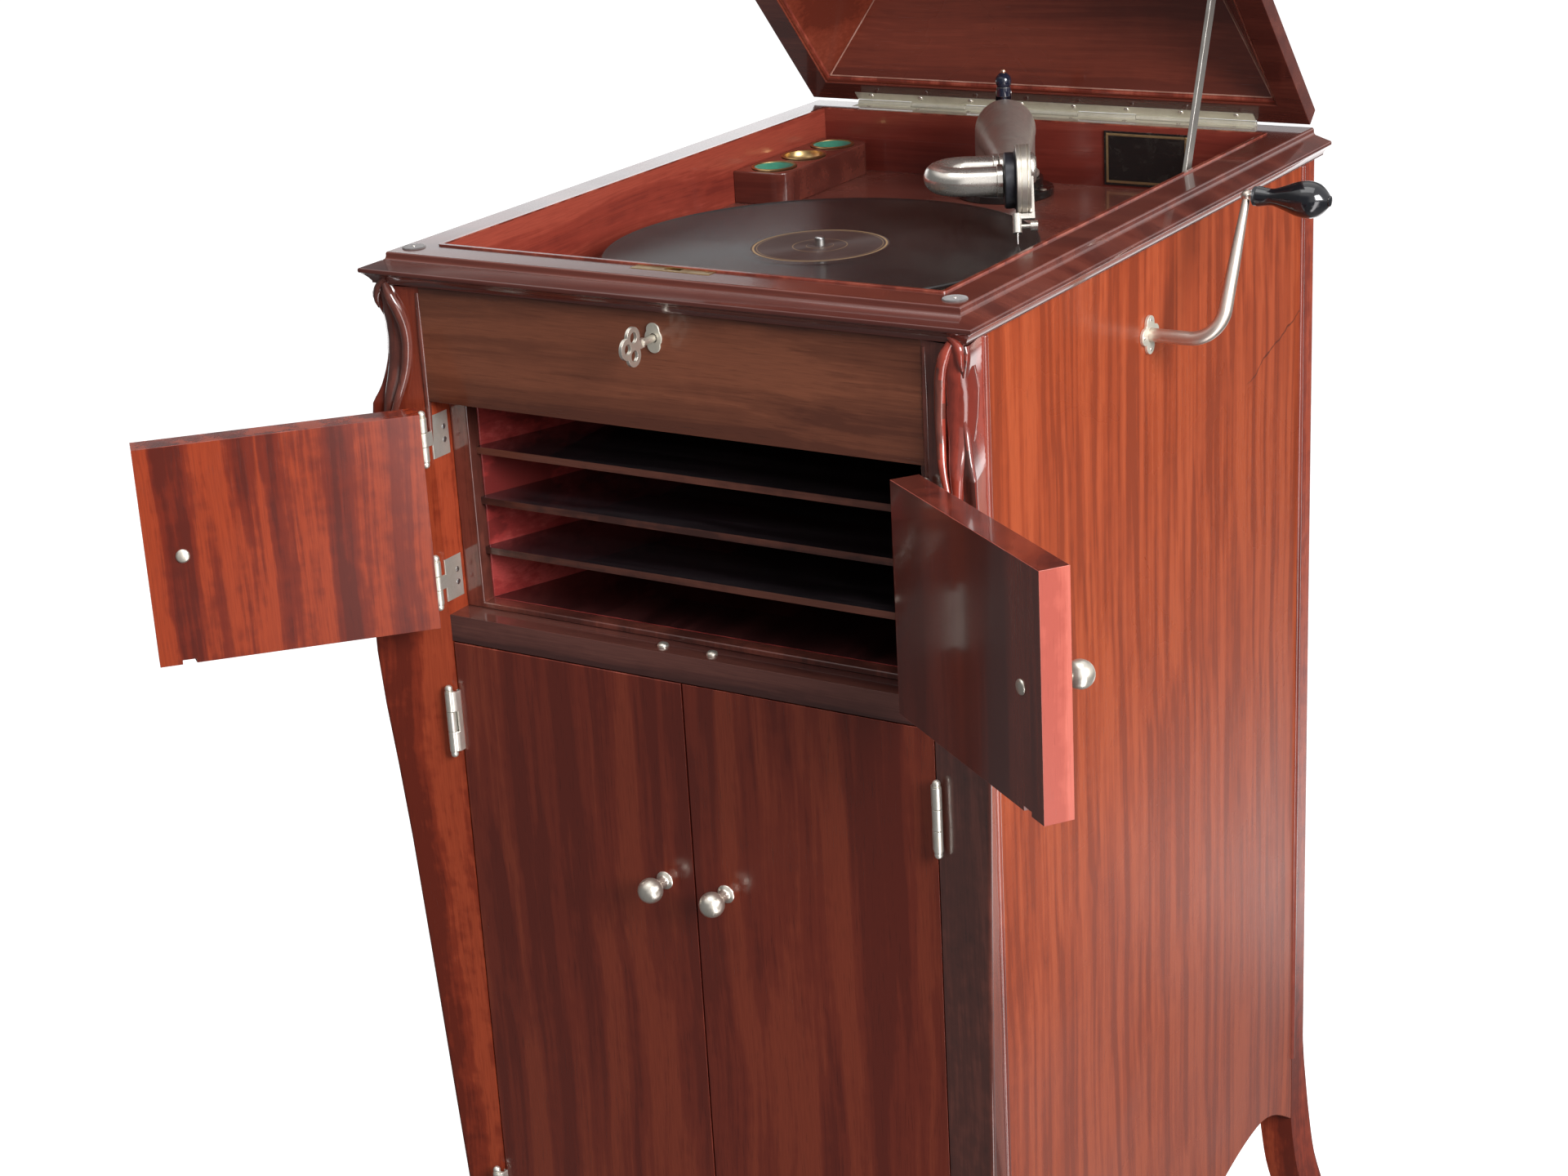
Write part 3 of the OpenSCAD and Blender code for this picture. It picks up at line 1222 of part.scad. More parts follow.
module lid_fittings() color([0.76, 0.72, 0.66]) opened() {
    lid_leaf(lid_z, lid_z + lid_leaf_t, 1);
    stay_ear_box();
    translate([0, stay_y, stay_z]) rod_x(stay_x - stay_t / 2 - pass - ear_t, stay_x - stay_t / 2 - pass, 7);
    translate([0, stay_y, stay_z]) rod_x(stay_x - stay_t / 2 - pass - 1, stay_x + stay_t / 2 + pass + 0.5, 2);
    translate([0, stay_y, stay_z]) rod_x(stay_x + stay_t / 2 + pass, stay_x + stay_t / 2 + 1.8, 4);
    span([-30, lock_y - 6, lid_z], [30, lock_y + 6, lid_z + 1.2]);
    span([-4, lock_y - 1.5, lid_z - 12], [4, lock_y + 1.5, lid_z + 0.5]);
}

// Turn of the stay that points it from its pivot on the open lid to the guide
stay_top = [
    hinge_y - stay_arm * cos(lid_open) + (stay_z - hinge_z) * sin(lid_open),
    hinge_z + stay_arm * sin(lid_open) + (stay_z - hinge_z) * cos(lid_open)];
stay_turn = atan2(stay_top[0] - guide_y, stay_top[1] - guide_z);

module lid_stay() color([0.76, 0.72, 0.66])
    translate([stay_x, stay_top[0], stay_top[1]]) rotate([-stay_turn, 0, 0]) difference() {
        union() {
            span([-stay_t / 2, -stay_w / 2, -stay_l], [stay_t / 2, stay_w / 2, 0]);
            rod_x(-stay_t / 2, stay_t / 2, stay_w / 2 + 0.6);
            translate([0, 0, -stay_l]) rod_x(-stay_t / 2, stay_t / 2, stay_w / 2 + 0.6);
        }
        rod_x(-stay_t, stay_t, 2 + run);
    }

module stay_guide() color([0.76, 0.72, 0.66]) difference() {
    span([stay_x - stay_t / 2 - 2.5, guide_y - guide_half - 2.5, guide_z - guide_h / 2],
        [well_x, guide_y + guide_half + 2.5, guide_z + guide_h / 2]);
    span([stay_x - stay_t / 2 - 0.5, guide_y - guide_half, guide_z - guide_h],
        [stay_x + stay_t / 2 + 0.5, guide_y + guide_half, guide_z + guide_h]);
}

in_frame() side_panels();
in_frame() back_panel();
in_frame() bottom_board();
in_frame() middle_shelf();
in_frame() corner_posts();
in_frame() top_frame();
in_frame() well_lining();
in_frame() motor_board();
in_frame() fascia_panel();
in_frame() front_apron();
in_frame() horn_mouth_frame();
in_frame() horn_slats();
in_frame() wooden_horn();
in_frame() horn_elbow();
in_frame() tone_arm_base();
in_frame() tone_arm_bracket();
in_frame() needle_cup_block();
in_frame() needle_cups();
in_frame() data_plate();
in_frame() lid_lock();
in_frame() escutcheons();
in_frame() rim_bumpers();
in_frame() lid_hinge_case_leaf();
in_frame() hinge_pins();
in_frame() door_hinge_case_leaves();
in_frame() sill_catch_pins();
in_frame() motor_frame();
in_frame() stay_guide();
in_frame() lid();
in_frame() lid_fittings();
in_frame() lid_stay();
in_frame() upper_left_door();
in_frame() upper_right_door();
in_frame() lower_left_door();
in_frame() lower_right_door();
in_frame() upper_left_knob();
in_frame() upper_right_knob();
in_frame() lower_left_knob();
in_frame() lower_right_knob();
in_frame() upper_left_hinge_leaves();
in_frame() upper_right_hinge_leaves();
in_frame() lower_left_hinge_leaves();
in_frame() lower_right_hinge_leaves();
in_frame() turntable();
in_frame() record();
in_frame() spindle();
in_frame() tone_arm();
in_frame() gooseneck();
in_frame() sound_box();
in_frame() sound_box_ring();
in_frame() diaphragm();
in_frame() needle_bar();
in_frame() crank();
in_frame() crank_handle();
in_frame() winding_arbor();
in_frame() spring_barrel();
in_frame() governor();
in_frame() brake_lever();
in_frame() speed_knob();
in_frame() key();
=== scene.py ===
"""Looks of an upright cabinet gramophone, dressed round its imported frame."""

import json
import logging
import math
from dataclasses import dataclass, field
from enum import Enum
from typing import Callable, Iterable, Sequence

import bmesh
import bpy
from mathutils import Matrix, Vector

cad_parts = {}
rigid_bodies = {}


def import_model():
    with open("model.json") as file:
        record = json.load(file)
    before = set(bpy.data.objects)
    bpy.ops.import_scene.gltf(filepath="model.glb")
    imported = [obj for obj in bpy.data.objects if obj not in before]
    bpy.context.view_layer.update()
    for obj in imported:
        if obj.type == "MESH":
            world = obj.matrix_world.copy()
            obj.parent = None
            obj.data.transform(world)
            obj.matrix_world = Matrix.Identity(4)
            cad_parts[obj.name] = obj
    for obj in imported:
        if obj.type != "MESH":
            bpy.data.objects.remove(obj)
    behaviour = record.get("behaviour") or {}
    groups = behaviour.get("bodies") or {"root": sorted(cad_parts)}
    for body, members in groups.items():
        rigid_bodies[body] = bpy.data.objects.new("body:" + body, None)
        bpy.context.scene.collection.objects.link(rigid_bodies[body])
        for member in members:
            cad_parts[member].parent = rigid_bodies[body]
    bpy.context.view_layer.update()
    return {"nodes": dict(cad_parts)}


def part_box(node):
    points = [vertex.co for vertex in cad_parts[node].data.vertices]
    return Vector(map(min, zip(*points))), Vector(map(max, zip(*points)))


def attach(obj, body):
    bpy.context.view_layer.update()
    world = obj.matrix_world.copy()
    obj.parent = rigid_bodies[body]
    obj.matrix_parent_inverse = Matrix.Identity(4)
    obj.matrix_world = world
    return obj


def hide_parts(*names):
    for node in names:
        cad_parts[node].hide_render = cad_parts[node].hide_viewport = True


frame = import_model()
LOG = logging.getLogger("gramophone")
MM = 0.001
Point = tuple[float, float, float]
Colour = tuple[float, float, float]
Profile = list[tuple[float, float]]
Socket = bpy.types.NodeSocket
Test = Callable[[object], bool]


class Grain(Enum):
    """Direction in which the grain of a board runs."""

    ALONG_X = (0.04, 1.0, 1.0)
    ALONG_Y = (1.0, 0.04, 1.0)
    UPRIGHT = (1.0, 1.0, 0.04)


class Side(Enum):
    """Left or right side of the cabinet, seen from the front."""

    LEFT = -1
    RIGHT = 1


def cabinet_shift() -> Vector:
    """Place of the cabinet's middle line in the frame."""
    low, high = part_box("top_frame")
    return Vector(((low.x + high.x) / 2, (low.y + high.y) / 2, 0.0))


SHIFT = cabinet_shift()


def at(x: float, y: float, z: float) -> Vector:
    """Turn a place in the cabinet into a place in the frame."""
    return SHIFT + Vector((x, y, z)) * MM


def cabinet_point(place: Vector) -> Point:
    """Turn a place in the frame back into cabinet millimetres."""
    return tuple((place - SHIFT) / MM)


class Tree:
    """Short calls that build the nodes of one shader tree."""

    def __init__(self, tree: bpy.types.NodeTree) -> None:
        """Keep the tree that nodes are added to."""
        self.tree = tree

    @classmethod
    def bare(cls, owner: bpy.types.Material | bpy.types.World) -> "Tree":
        """Give a material or a world an empty tree of nodes.

        Args:
            owner: Material or world.

        Returns:
            A Tree for it.
        """
        owner.use_nodes = True
        owner.node_tree.nodes.clear()
        return cls(owner.node_tree)

    def put(self, socket: Socket, value: object) -> None:
        """Link a socket to another one, or set its own value.

        Args:
            socket: Input that gets the value.
            value: An output socket, a number, a colour or a vector.
        """
        if isinstance(value, Socket):
            self.tree.links.new(value, socket)
        else:
            socket.default_value = value

    def add(self, kind: str, inputs: dict | None = None, **settings: object) -> bpy.types.Node:
        """Add a node.

        Args:
            kind: Blender's name of the node without its ShaderNode prefix.
            inputs: Values or sockets by the input's name or number.
            **settings: Other properties of the node.

        Returns:
            The new node.
        """
        node = self.tree.nodes.new("ShaderNode" + kind)
        for key, value in settings.items():
            setattr(node, key, value)
        for key, value in (inputs or {}).items():
            self.put(node.inputs[key], value)
        return node

    def math(self, operation: str, first: object, second: object = 0.0, clamp: bool = False) -> Socket:
        """Add a Math node."""
        return self.add("Math", {0: first, 1: second}, operation=operation, use_clamp=clamp).outputs[0]

    def times(self, first: object, second: object, clamp: bool = False) -> Socket:
        """Multiply two values or sockets, clamped to 0 and 1 if asked."""
        return self.math("MULTIPLY", first, second, clamp)

    def plus(self, first: object, second: object, clamp: bool = False) -> Socket:
        """Add two values or sockets, clamped to 0 and 1 if asked."""
        return self.math("ADD", first, second, clamp)

    def minus(self, first: object, second: object) -> Socket:
        """Take the second value or socket from the first."""
        return self.math("SUBTRACT", first, second)

    def place(self) -> Socket:
        """Object coordinates."""
        return self.add("TexCoord").outputs["Object"]

    def axes(self, vector: object) -> bpy.types.bpy_prop_collection:
        """Split a vector into its outputs X, Y and Z."""
        return self.add("SeparateXYZ", {0: vector}).outputs

    def noise(self, vector: object, scale: object, detail: float = 3.0, distortion: float = 0.0) -> Socket:
        """Add a noise texture."""
        inputs = {"Vector": vector, "Scale": scale, "Detail": detail, "Distortion": distortion}
        return self.add("TexNoise", inputs).outputs["Fac"]

    def ramp(self, value: object, low: float, high: float, to_low: float = 0.0,
             to_high: float = 1.0) -> Socket:
        """Stretch a range of values smoothly to another."""
        inputs = {0: value, 1: low, 2: high, 3: to_low, 4: to_high}
        return self.add("MapRange", inputs, interpolation_type="SMOOTHSTEP").outputs[0]

    def mix(self, factor: object, first: object, second: object) -> Socket:
        """Mix two colours.

        Args:
            factor: Share of the second colour.
            first: First colour or socket.
            second: Second colour or socket.

        Returns:
            The colour socket.
        """
        node = self.add("Mix", data_type="RGBA")
        colours = [s for s in node.inputs if s.type == "RGBA"]
        self.put(node.inputs[0], factor)
        self.put(colours[0], first)
        self.put(colours[1], second)
        return next(s for s in node.outputs if s.type == "RGBA")

    def emission(self, colour: Colour, strength: object) -> Socket:
        """Add a glowing shader."""
        return self.add("Emission", {"Color": opaque(colour), "Strength": strength}).outputs[0]

    def stretched(self, grain: Grain, turn: Point) -> Socket:
        """Object coordinates drawn out along the grain.

        Args:
            grain: Direction of the grain.
            turn: Turn of the pattern in degrees.

        Returns:
            The vector socket.
        """
        spin = tuple(math.radians(a) for a in turn)
        turned = self.add("Mapping", {"Vector": self.place(), "Rotation": spin}).outputs[0]
        return self.add("Mapping", {"Vector": turned, "Scale": grain.value}).outputs[0]

    def feed(self, shader: bpy.types.Node, colour: object, rough: object, height: Socket, strength: float,
             depth: float) -> None:
        """Feed a shader its colour, its roughness and a bump.

        Args:
            shader: Shader of the material.
            colour: Colour or socket.
            rough: Roughness or socket.
            height: Height of the bump.
            strength: Strength of the bump.
            depth: Depth of the relief in metres.
        """
        relief = self.add("Bump", {"Strength": strength, "Distance": depth, "Height": height})
        self.put(shader.inputs["Base Color"], colour)
        self.put(shader.inputs["Roughness"], rough)
        self.put(shader.inputs["Normal"], relief.outputs[0])


def opaque(colour: Colour) -> tuple[float, float, float, float]:
    """Add full opacity to a colour."""
    return (*colour, 1.0)


def node_group(name: str, inputs: Sequence[tuple[str, str, object]],
               outputs: Sequence[tuple[str, str]]) -> tuple[Tree, dict[str, Socket], bpy.types.Node]:
    """Start a shader node group with named sockets.

    Args:
        name: Name of the group.
        inputs: Name, kind and default of each input.
        outputs: Name and kind of each output.

    Returns:
        A Tree for the group, the sockets that it is given and its output node.
    """
    group = bpy.data.node_groups.new(name, "ShaderNodeTree")
    for label, kind, default in inputs:
        socket = group.interface.new_socket(label, in_out="INPUT", socket_type="NodeSocket" + kind)
        if default is not None:
            socket.default_value = default
    for label, kind in outputs:
        group.interface.new_socket(label, in_out="OUTPUT", socket_type="NodeSocket" + kind)
    return Tree(group), group.nodes.new("NodeGroupInput").outputs, group.nodes.new("NodeGroupOutput")


SURFACE_OUTPUTS = (("Color", "Color"), ("Roughness", "Float"), ("Height", "Float"))
PORE_COLOUR = (0.012, 0.004, 0.003)
PAINTED_HAZE_COLOUR = (0.21, 0.145, 0.145)
# Grey painted into the lower side panels, standing in for the floor's reflection in their polish.
CRACK_COLOUR = (0.05, 0.012, 0.008)
DUST_COLOUR = (0.42, 0.36, 0.32)


def veneer_group() -> bpy.types.NodeTree:
    """Build the grain of a polished veneer.

    Returns:
        A group that turns three colours and stretched coordinates into colour, roughness and height.
    """
    tree, sock, result = node_group(
        "veneer grain",
        [("Vector", "Vector", None), ("Plain", "Vector", None),
         ("Dark", "Color", None), ("Middle", "Color", None), ("Light", "Color", None),
         ("Bands", "Float", 30.0), ("Figure", "Float", 0.4), ("Pores", "Float", 0.5),
         ("Polish", "Float", 0.2)],
        SURFACE_OUTPUTS)
    sway = tree.noise(sock["Plain"], 3.0, 2.0)
    drift = tree.add("VectorMath", {0: sock["Vector"], 1: sway}, operation="ADD").outputs[0]
    moved = tree.add("Mix", {0: 0.03, 4: sock["Vector"], 5: drift}, data_type="VECTOR").outputs[1]
    bands = tree.noise(moved, sock["Bands"], 1.5)
    streaks = tree.noise(moved, 310.0, 4.0)
    fibres = tree.noise(sock["Vector"], 1000.0, 2.0)
    mottle = tree.noise(sock["Plain"], 85.0, 4.0)
    pores = tree.ramp(tree.noise(sock["Vector"], 1500.0, 1.0), 0.62, 0.74)
    ripple = tree.times(tree.minus(mottle, 0.5), sock["Figure"])
    lines = tree.times(tree.minus(streaks, 0.5), 0.35)
    level = tree.plus(bands, tree.plus(ripple, lines))
    lower = tree.mix(tree.ramp(level, 0.37, 0.50), sock["Dark"], sock["Middle"])
    upper = tree.mix(tree.ramp(level, 0.50, 0.64), lower, sock["Light"])
    fine = tree.mix(tree.ramp(fibres, 0.35, 0.65, 0.0, 0.22), upper, sock["Dark"])
    specks = tree.times(pores, sock["Pores"])
    smears = tree.ramp(tree.noise(sock["Plain"], 7.0, 4.0, 0.8), 0.40, 0.65, 0.0, 0.06)
    rough = tree.plus(tree.plus(sock["Polish"], smears), tree.times(specks, 0.08))
    tree.put(result.inputs["Color"], tree.mix(tree.times(specks, 0.5), fine, opaque(PORE_COLOUR)))
    tree.put(result.inputs["Roughness"], rough)
    tree.put(result.inputs["Height"], tree.minus(tree.times(streaks, 0.3), specks))
    return tree.tree


def tarnish_group() -> bpy.types.NodeTree:
    """Build the clouded, rubbed surface of old plating.

    Returns:
        A group that turns two colours and coordinates into colour, roughness and height.
    """
    tree, sock, result = node_group(
        "tarnish",
        [("Vector", "Vector", None), ("Clean", "Color", None), ("Dull", "Color", None),
         ("Amount", "Float", 0.4), ("Gloss", "Float", 0.2), ("Clouds", "Float", 60.0)],
        SURFACE_OUTPUTS)
    clouds = tree.noise(sock["Vector"], sock["Clouds"], 4.0, 0.6)
    spots = tree.ramp(tree.noise(sock["Vector"], 620.0, 2.0), 0.62, 0.72)
    rubbed = tree.noise(sock["Vector"], 2400.0, 1.0)
    mask = tree.times(tree.ramp(clouds, 0.36, 0.66), sock["Amount"], True)
    spotted = tree.plus(mask, tree.times(spots, tree.times(sock["Amount"], 0.5)), True)
    rough = tree.plus(sock["Gloss"], tree.times(spotted, 0.24))
    tree.put(result.inputs["Color"], tree.mix(spotted, sock["Clean"], sock["Dull"]))
    tree.put(result.inputs["Roughness"], tree.plus(rough, tree.times(rubbed, 0.05)))
    tree.put(result.inputs["Height"], tree.plus(tree.times(rubbed, 0.15), spotted))
    return tree.tree


def dust_group() -> bpy.types.NodeTree:
    """Build thin dust on what faces up.

    Returns:
        A group that lays dust over a colour and a roughness.
    """
    tree, sock, result = node_group(
        "dust",
        [("Color", "Color", None), ("Roughness", "Float", 0.3), ("Amount", "Float", 0.2),
         ("Tint", "Color", opaque(DUST_COLOUR))],
        SURFACE_OUTPUTS[:2])
    place = tree.place()
    lying = tree.ramp(tree.axes(tree.add("NewGeometry").outputs["Normal"])["Z"], 0.3, 1.0)
    patches = tree.ramp(tree.noise(place, 24.0, 5.0, 0.5), 0.35, 0.7, 0.35, 1.0)
    grains = tree.ramp(tree.noise(place, 1500.0, 1.0), 0.45, 0.75, 0.6, 1.0)
    cover = tree.times(tree.times(lying, patches), tree.times(grains, sock["Amount"]))
    tree.put(result.inputs["Color"], tree.mix(cover, sock["Color"], sock["Tint"]))
    tree.put(result.inputs["Roughness"], tree.plus(sock["Roughness"], tree.times(cover, 0.5), True))
    return tree.tree


GROUPS = {"veneer": veneer_group(), "tarnish": tarnish_group(), "dust": dust_group()}


def blank_material(name: str) -> tuple[bpy.types.Material, Tree, bpy.types.Node]:
    """Start a material with one Principled shader.

    Args:
        name: Name of the material.

    Returns:
        The material, a Tree for it and its shader.
    """
    made = bpy.data.materials.new(name)
    tree = Tree.bare(made)
    shader = tree.add("BsdfPrincipled")
    tree.add("OutputMaterial", {"Surface": shader.outputs[0]})
    return made, tree, shader


def dusted(tree: Tree, colour: Socket, rough: Socket, amount: float) -> tuple[Socket, Socket]:
    """Lay dust over a colour and a roughness.

    Args:
        tree: Tree of the material.
        colour: Colour under the dust.
        rough: Roughness under the dust.
        amount: Share of the dust; none at 0.

    Returns:
        The dusty colour and roughness.
    """
    if not amount:
        return colour, rough
    values = {"Color": colour, "Roughness": rough, "Amount": amount}
    dust = tree.add("Group", values, node_tree=GROUPS["dust"]).outputs
    return dust["Color"], dust["Roughness"]


@dataclass(frozen=True)
class Veneer:
    """Polished veneer or solid wood with its own grain."""

    name: str
    slot: str
    dark: Colour
    middle: Colour
    light: Colour
    grain: Grain = Grain.UPRIGHT
    bands: float = 30.0
    figure: float = 0.4
    pores: float = 0.5
    polish: float = 0.2
    coat: float = 0.4
    sheen: float = 0.4
    dust: float = 0.0
    painted_haze: float = 0.0
    crack: bool = False
    turn: Point = (0.0, 0.0, 0.0)
    coat_rough: float = 0.06
    crack_foot: Point = (220.0, 152.0, 832.0)
    crack_rise: float = 0.32

    def build(self) -> bpy.types.Material:
        """Make the material.

        Returns:
            The finished material.
        """
        made, tree, shader = blank_material(self.name)
        place = tree.place()
        values = {
            "Vector": tree.stretched(self.grain, self.turn), "Plain": place, "Dark": opaque(self.dark),
            "Middle": opaque(self.middle), "Light": opaque(self.light), "Bands": self.bands,
            "Figure": self.figure, "Pores": self.pores, "Polish": self.polish}
        grain = tree.add("Group", values, node_tree=GROUPS["veneer"])
        colour, rough = grain.outputs["Color"], grain.outputs["Roughness"]
        # Paint a grey haze low down for the floor's reflection in the polish.
        if self.painted_haze:
            colour = self.with_painted_haze(tree, place, colour)
        if self.crack:
            colour = self.cracked(tree, place, colour)
        colour, rough = dusted(tree, colour, rough, self.dust)
        tree.put(shader.inputs["Specular IOR Level"], self.sheen)
        tree.put(shader.inputs["Coat Weight"], self.coat)
        tree.put(shader.inputs["Coat Roughness"], self.coat_rough)
        tree.feed(shader, colour, rough, grain.outputs["Height"], 0.12, 0.2 * MM)
        return made

    def with_painted_haze(self, tree: Tree, place: Socket, colour: Socket) -> Socket:
        """Grey haze painted low down, standing in for the floor's reflection in the polish.

        Args:
            tree: Tree of the material.
            place: Object coordinates.
            colour: Colour under the painted haze.

        Returns:
            The colour with the painted haze.
        """
        low = tree.ramp(tree.axes(place)["Z"], 0.66, 0.25)
        patches = tree.ramp(tree.noise(place, 5.0, 4.0, 0.6), 0.3, 0.7, 0.5, 1.0)
        return tree.mix(tree.times(tree.times(low, patches), self.painted_haze), colour, opaque(PAINTED_HAZE_COLOUR))

    def cracked(self, tree: Tree, place: Socket, colour: Socket) -> Socket:
        """Hairline crack that climbs to the rear edge of a side panel.

        Args:
            tree: Tree of the material.
            place: Object coordinates.
            colour: Colour of the panel.

        Returns:
            The colour with the crack.
        """
        parts = tree.axes(place)
        foot = at(*self.crack_foot)
        rise = tree.times(tree.minus(parts["Y"], foot.y), self.crack_rise)
        wave = tree.times(tree.minus(tree.noise(place, 45.0, 3.0), 0.5), 12.0 * MM)
        line = tree.plus(tree.plus(rise, wave), foot.z)
        away = tree.math("ABSOLUTE", tree.minus(parts["Z"], line))
        thin = tree.ramp(away, 1.1 * MM, 0.2 * MM)
        behind = tree.ramp(parts["Y"], foot.y, foot.y + 20.0 * MM)
        right = tree.ramp(parts["X"], 0.1, 0.15)
        share = tree.times(tree.times(thin, behind), tree.times(right, 0.75))
        return tree.mix(share, colour, opaque(CRACK_COLOUR))


@dataclass(frozen=True)
class Metal:
    """Plated or bare metal with tarnish."""

    name: str
    slot: str
    clean: Colour
    dull: Colour
    amount: float = 0.4
    gloss: float = 0.2
    clouds: float = 60.0
    metallic: float = 1.0

    def build(self) -> bpy.types.Material:
        """Make the material.

        Returns:
            The finished material.
        """
        made, tree, shader = blank_material(self.name)
        values = {
            "Vector": tree.place(), "Clean": opaque(self.clean), "Dull": opaque(self.dull),
            "Amount": self.amount, "Gloss": self.gloss, "Clouds": self.clouds}
        skin = tree.add("Group", values, node_tree=GROUPS["tarnish"]).outputs
        tree.put(shader.inputs["Metallic"], self.metallic)
        tree.feed(shader, skin["Color"], skin["Roughness"], skin["Height"], 0.12, 0.1 * MM)
        return made


@dataclass(frozen=True)
class Felt:
    """Pressed wool felt."""

    name: str
    slot: str
    colour: Colour
    fleck: Colour
    roughness: float = 0.95
    nap: float = 0.4

    def build(self) -> bpy.types.Material:
        """Make the material.

        Returns:
            The finished material.
        """
        made, tree, shader = blank_material(self.name)
        place = tree.place()
        hairs = tree.noise(place, 1700.0, 4.0, 1.5)
        patches = tree.ramp(tree.noise(place, 90.0, 3.0), 0.35, 0.65, 0.0, 0.5)
        mottled = tree.mix(patches, opaque(self.colour), opaque(self.fleck))
        flecked = tree.mix(tree.ramp(hairs, 0.4, 0.7, 0.0, 0.6), mottled, opaque(self.fleck))
        tree.put(shader.inputs["Sheen Weight"], self.nap)
        tree.feed(shader, flecked, self.roughness, hairs, 0.6, 0.4 * MM)
        return made


@dataclass(frozen=True)
class Shellac:
    """Pressed record with its grooves and a plain ringed label."""

    name: str = "grooved shellac"
    slot: str = "shellac_disc"
    label_radius: float = 48.0
    label_edge: float = 0.4
    spindle: Point = (0.0, -75.0, 975.0)
    rings: tuple[Point, ...] = ((46.5, 0.9, 0.85), (44.0, 0.35, 0.5), (19.0, 0.5, 0.45), (9.5, 0.3, 0.4))
    grooves: tuple[Colour, Colour] = ((0.014, 0.012, 0.012), (0.026, 0.023, 0.023))
    scuffed: Colour = (0.045, 0.040, 0.038)
    paper: tuple[Colour, Colour] = ((0.042, 0.022, 0.020), (0.075, 0.040, 0.034))
    ink: Colour = (0.42, 0.27, 0.13)

    def build(self) -> bpy.types.Material:
        """Make the material.

        Returns:
            The finished material.
        """
        made, tree, shader = blank_material(self.name)
        middle = at(*self.spindle)
        place = tree.place()
        moved = tree.add("Mapping", {"Vector": place, "Location": (-middle.x, -middle.y, 0.0)}).outputs[0]
        flat = tree.add("VectorMath", {0: moved, 1: (1.0, 1.0, 0.0)}, operation="MULTIPLY").outputs[0]
        radius = tree.add("VectorMath", {0: flat}, operation="LENGTH").outputs["Value"]
        band = tree.noise(tree.add("CombineXYZ", {0: radius}).outputs[0], 380.0, 3.0)
        label = tree.ramp(radius, (self.label_radius + self.label_edge) * MM, self.label_radius * MM)
        dark, pale = (opaque(colour) for colour in self.grooves)
        grooved = tree.mix(tree.ramp(band, 0.35, 0.65), dark, pale)
        scuffs = tree.ramp(tree.noise(place, 18.0, 4.0, 0.4), 0.4, 0.7, 0.0, 0.5)
        worn = tree.mix(scuffs, grooved, opaque(self.scuffed))
        surface = tree.mix(label, worn, self.printed(tree, place, radius))
        wave = tree.times(tree.math("SINE", tree.times(radius, 9000.0)), tree.minus(1.0, label))
        height = tree.plus(wave, tree.times(label, 2.0))
        tree.put(shader.inputs["Anisotropic"], 0.7)
        tree.put(shader.inputs["Tangent"], tree.add("Tangent", direction_type="RADIAL", axis="Z").outputs[0])
        tree.feed(shader, surface, tree.ramp(label, 0.0, 1.0, 0.24, 0.62), height, 0.25, 0.15 * MM)
        return made

    def printed(self, tree: Tree, place: Socket, radius: Socket) -> Socket:
        """Label paper with its printed rings.

        Args:
            tree: Tree of the material.
            place: Object coordinates.
            radius: Distance from the spindle in metres.

        Returns:
            The label's colour.
        """
        dark, pale = (opaque(colour) for colour in self.paper)
        colour = tree.mix(tree.noise(place, 60.0, 4.0), dark, pale)
        for ring, width, share in self.rings:
            away = tree.math("ABSOLUTE", tree.minus(radius, ring * MM))
            line = tree.times(tree.ramp(away, width * MM, width * MM * 0.5), share)
            colour = tree.mix(line, colour, opaque(self.ink))
        return colour


@dataclass(frozen=True)
class PlainGloss:
    """Dark lacquer, hard rubber or polished black wood."""

    name: str
    slot: str
    colour: Colour
    rubbed: Colour
    gloss: float = 0.25
    coat: float = 0.3

    def build(self) -> bpy.types.Material:
        """Make the material.

        Returns:
            The finished material.
        """
        made, tree, shader = blank_material(self.name)
        place = tree.place()
        wear = tree.ramp(tree.noise(place, 85.0, 5.0, 0.7), 0.45, 0.75, 0.0, 0.6)
        specks = tree.ramp(tree.noise(place, 1300.0, 1.0), 0.62, 0.75, 0.0, 0.5)
        colour = tree.mix(tree.math("MAXIMUM", wear, specks), opaque(self.colour), opaque(self.rubbed))
        rough = tree.plus(self.gloss, tree.times(wear, 0.25))
        tree.put(shader.inputs["Coat Weight"], self.coat)
        tree.feed(shader, colour, rough, tree.noise(place, 420.0, 3.0), 0.08, 0.3 * MM)
        return made


@dataclass(frozen=True)
class Mica:
    """Thin mica sheet."""

    name: str = "mica"
    slot: str = "mica"
    brown: Colour = (0.35, 0.29, 0.18)
    clear: Colour = (0.62, 0.55, 0.40)

    def build(self) -> bpy.types.Material:
        """Make the material.

        Returns:
            The finished material.
        """
        made, tree, shader = blank_material(self.name)
        flakes = tree.noise(tree.place(), 150.0, 4.0, 1.0)
        colour = tree.mix(flakes, opaque(self.brown), opaque(self.clear))
        tree.put(shader.inputs["Alpha"], tree.ramp(flakes, 0.3, 0.7, 0.55, 0.75))
        tree.feed(shader, colour, tree.ramp(flakes, 0.3, 0.7, 0.12, 0.3), flakes, 0.2, 0.2 * MM)
        return made


FinishKind = Veneer | Metal | Felt | Shellac | PlainGloss | Mica


@dataclass
class Palette:
    """Every finish of the machine, each made once."""

    made: dict[str, bpy.types.Material] = field(default_factory=dict)

    def get(self, finish: FinishKind) -> bpy.types.Material:
        """Return the material of a finish, making it on first use.

        Args:
            finish: Finish to look up.

        Returns:
            Its material.
        """
        if finish.name not in self.made:
            self.made[finish.name] = finish.build()
        return self.made[finish.name]


PALETTE = Palette()
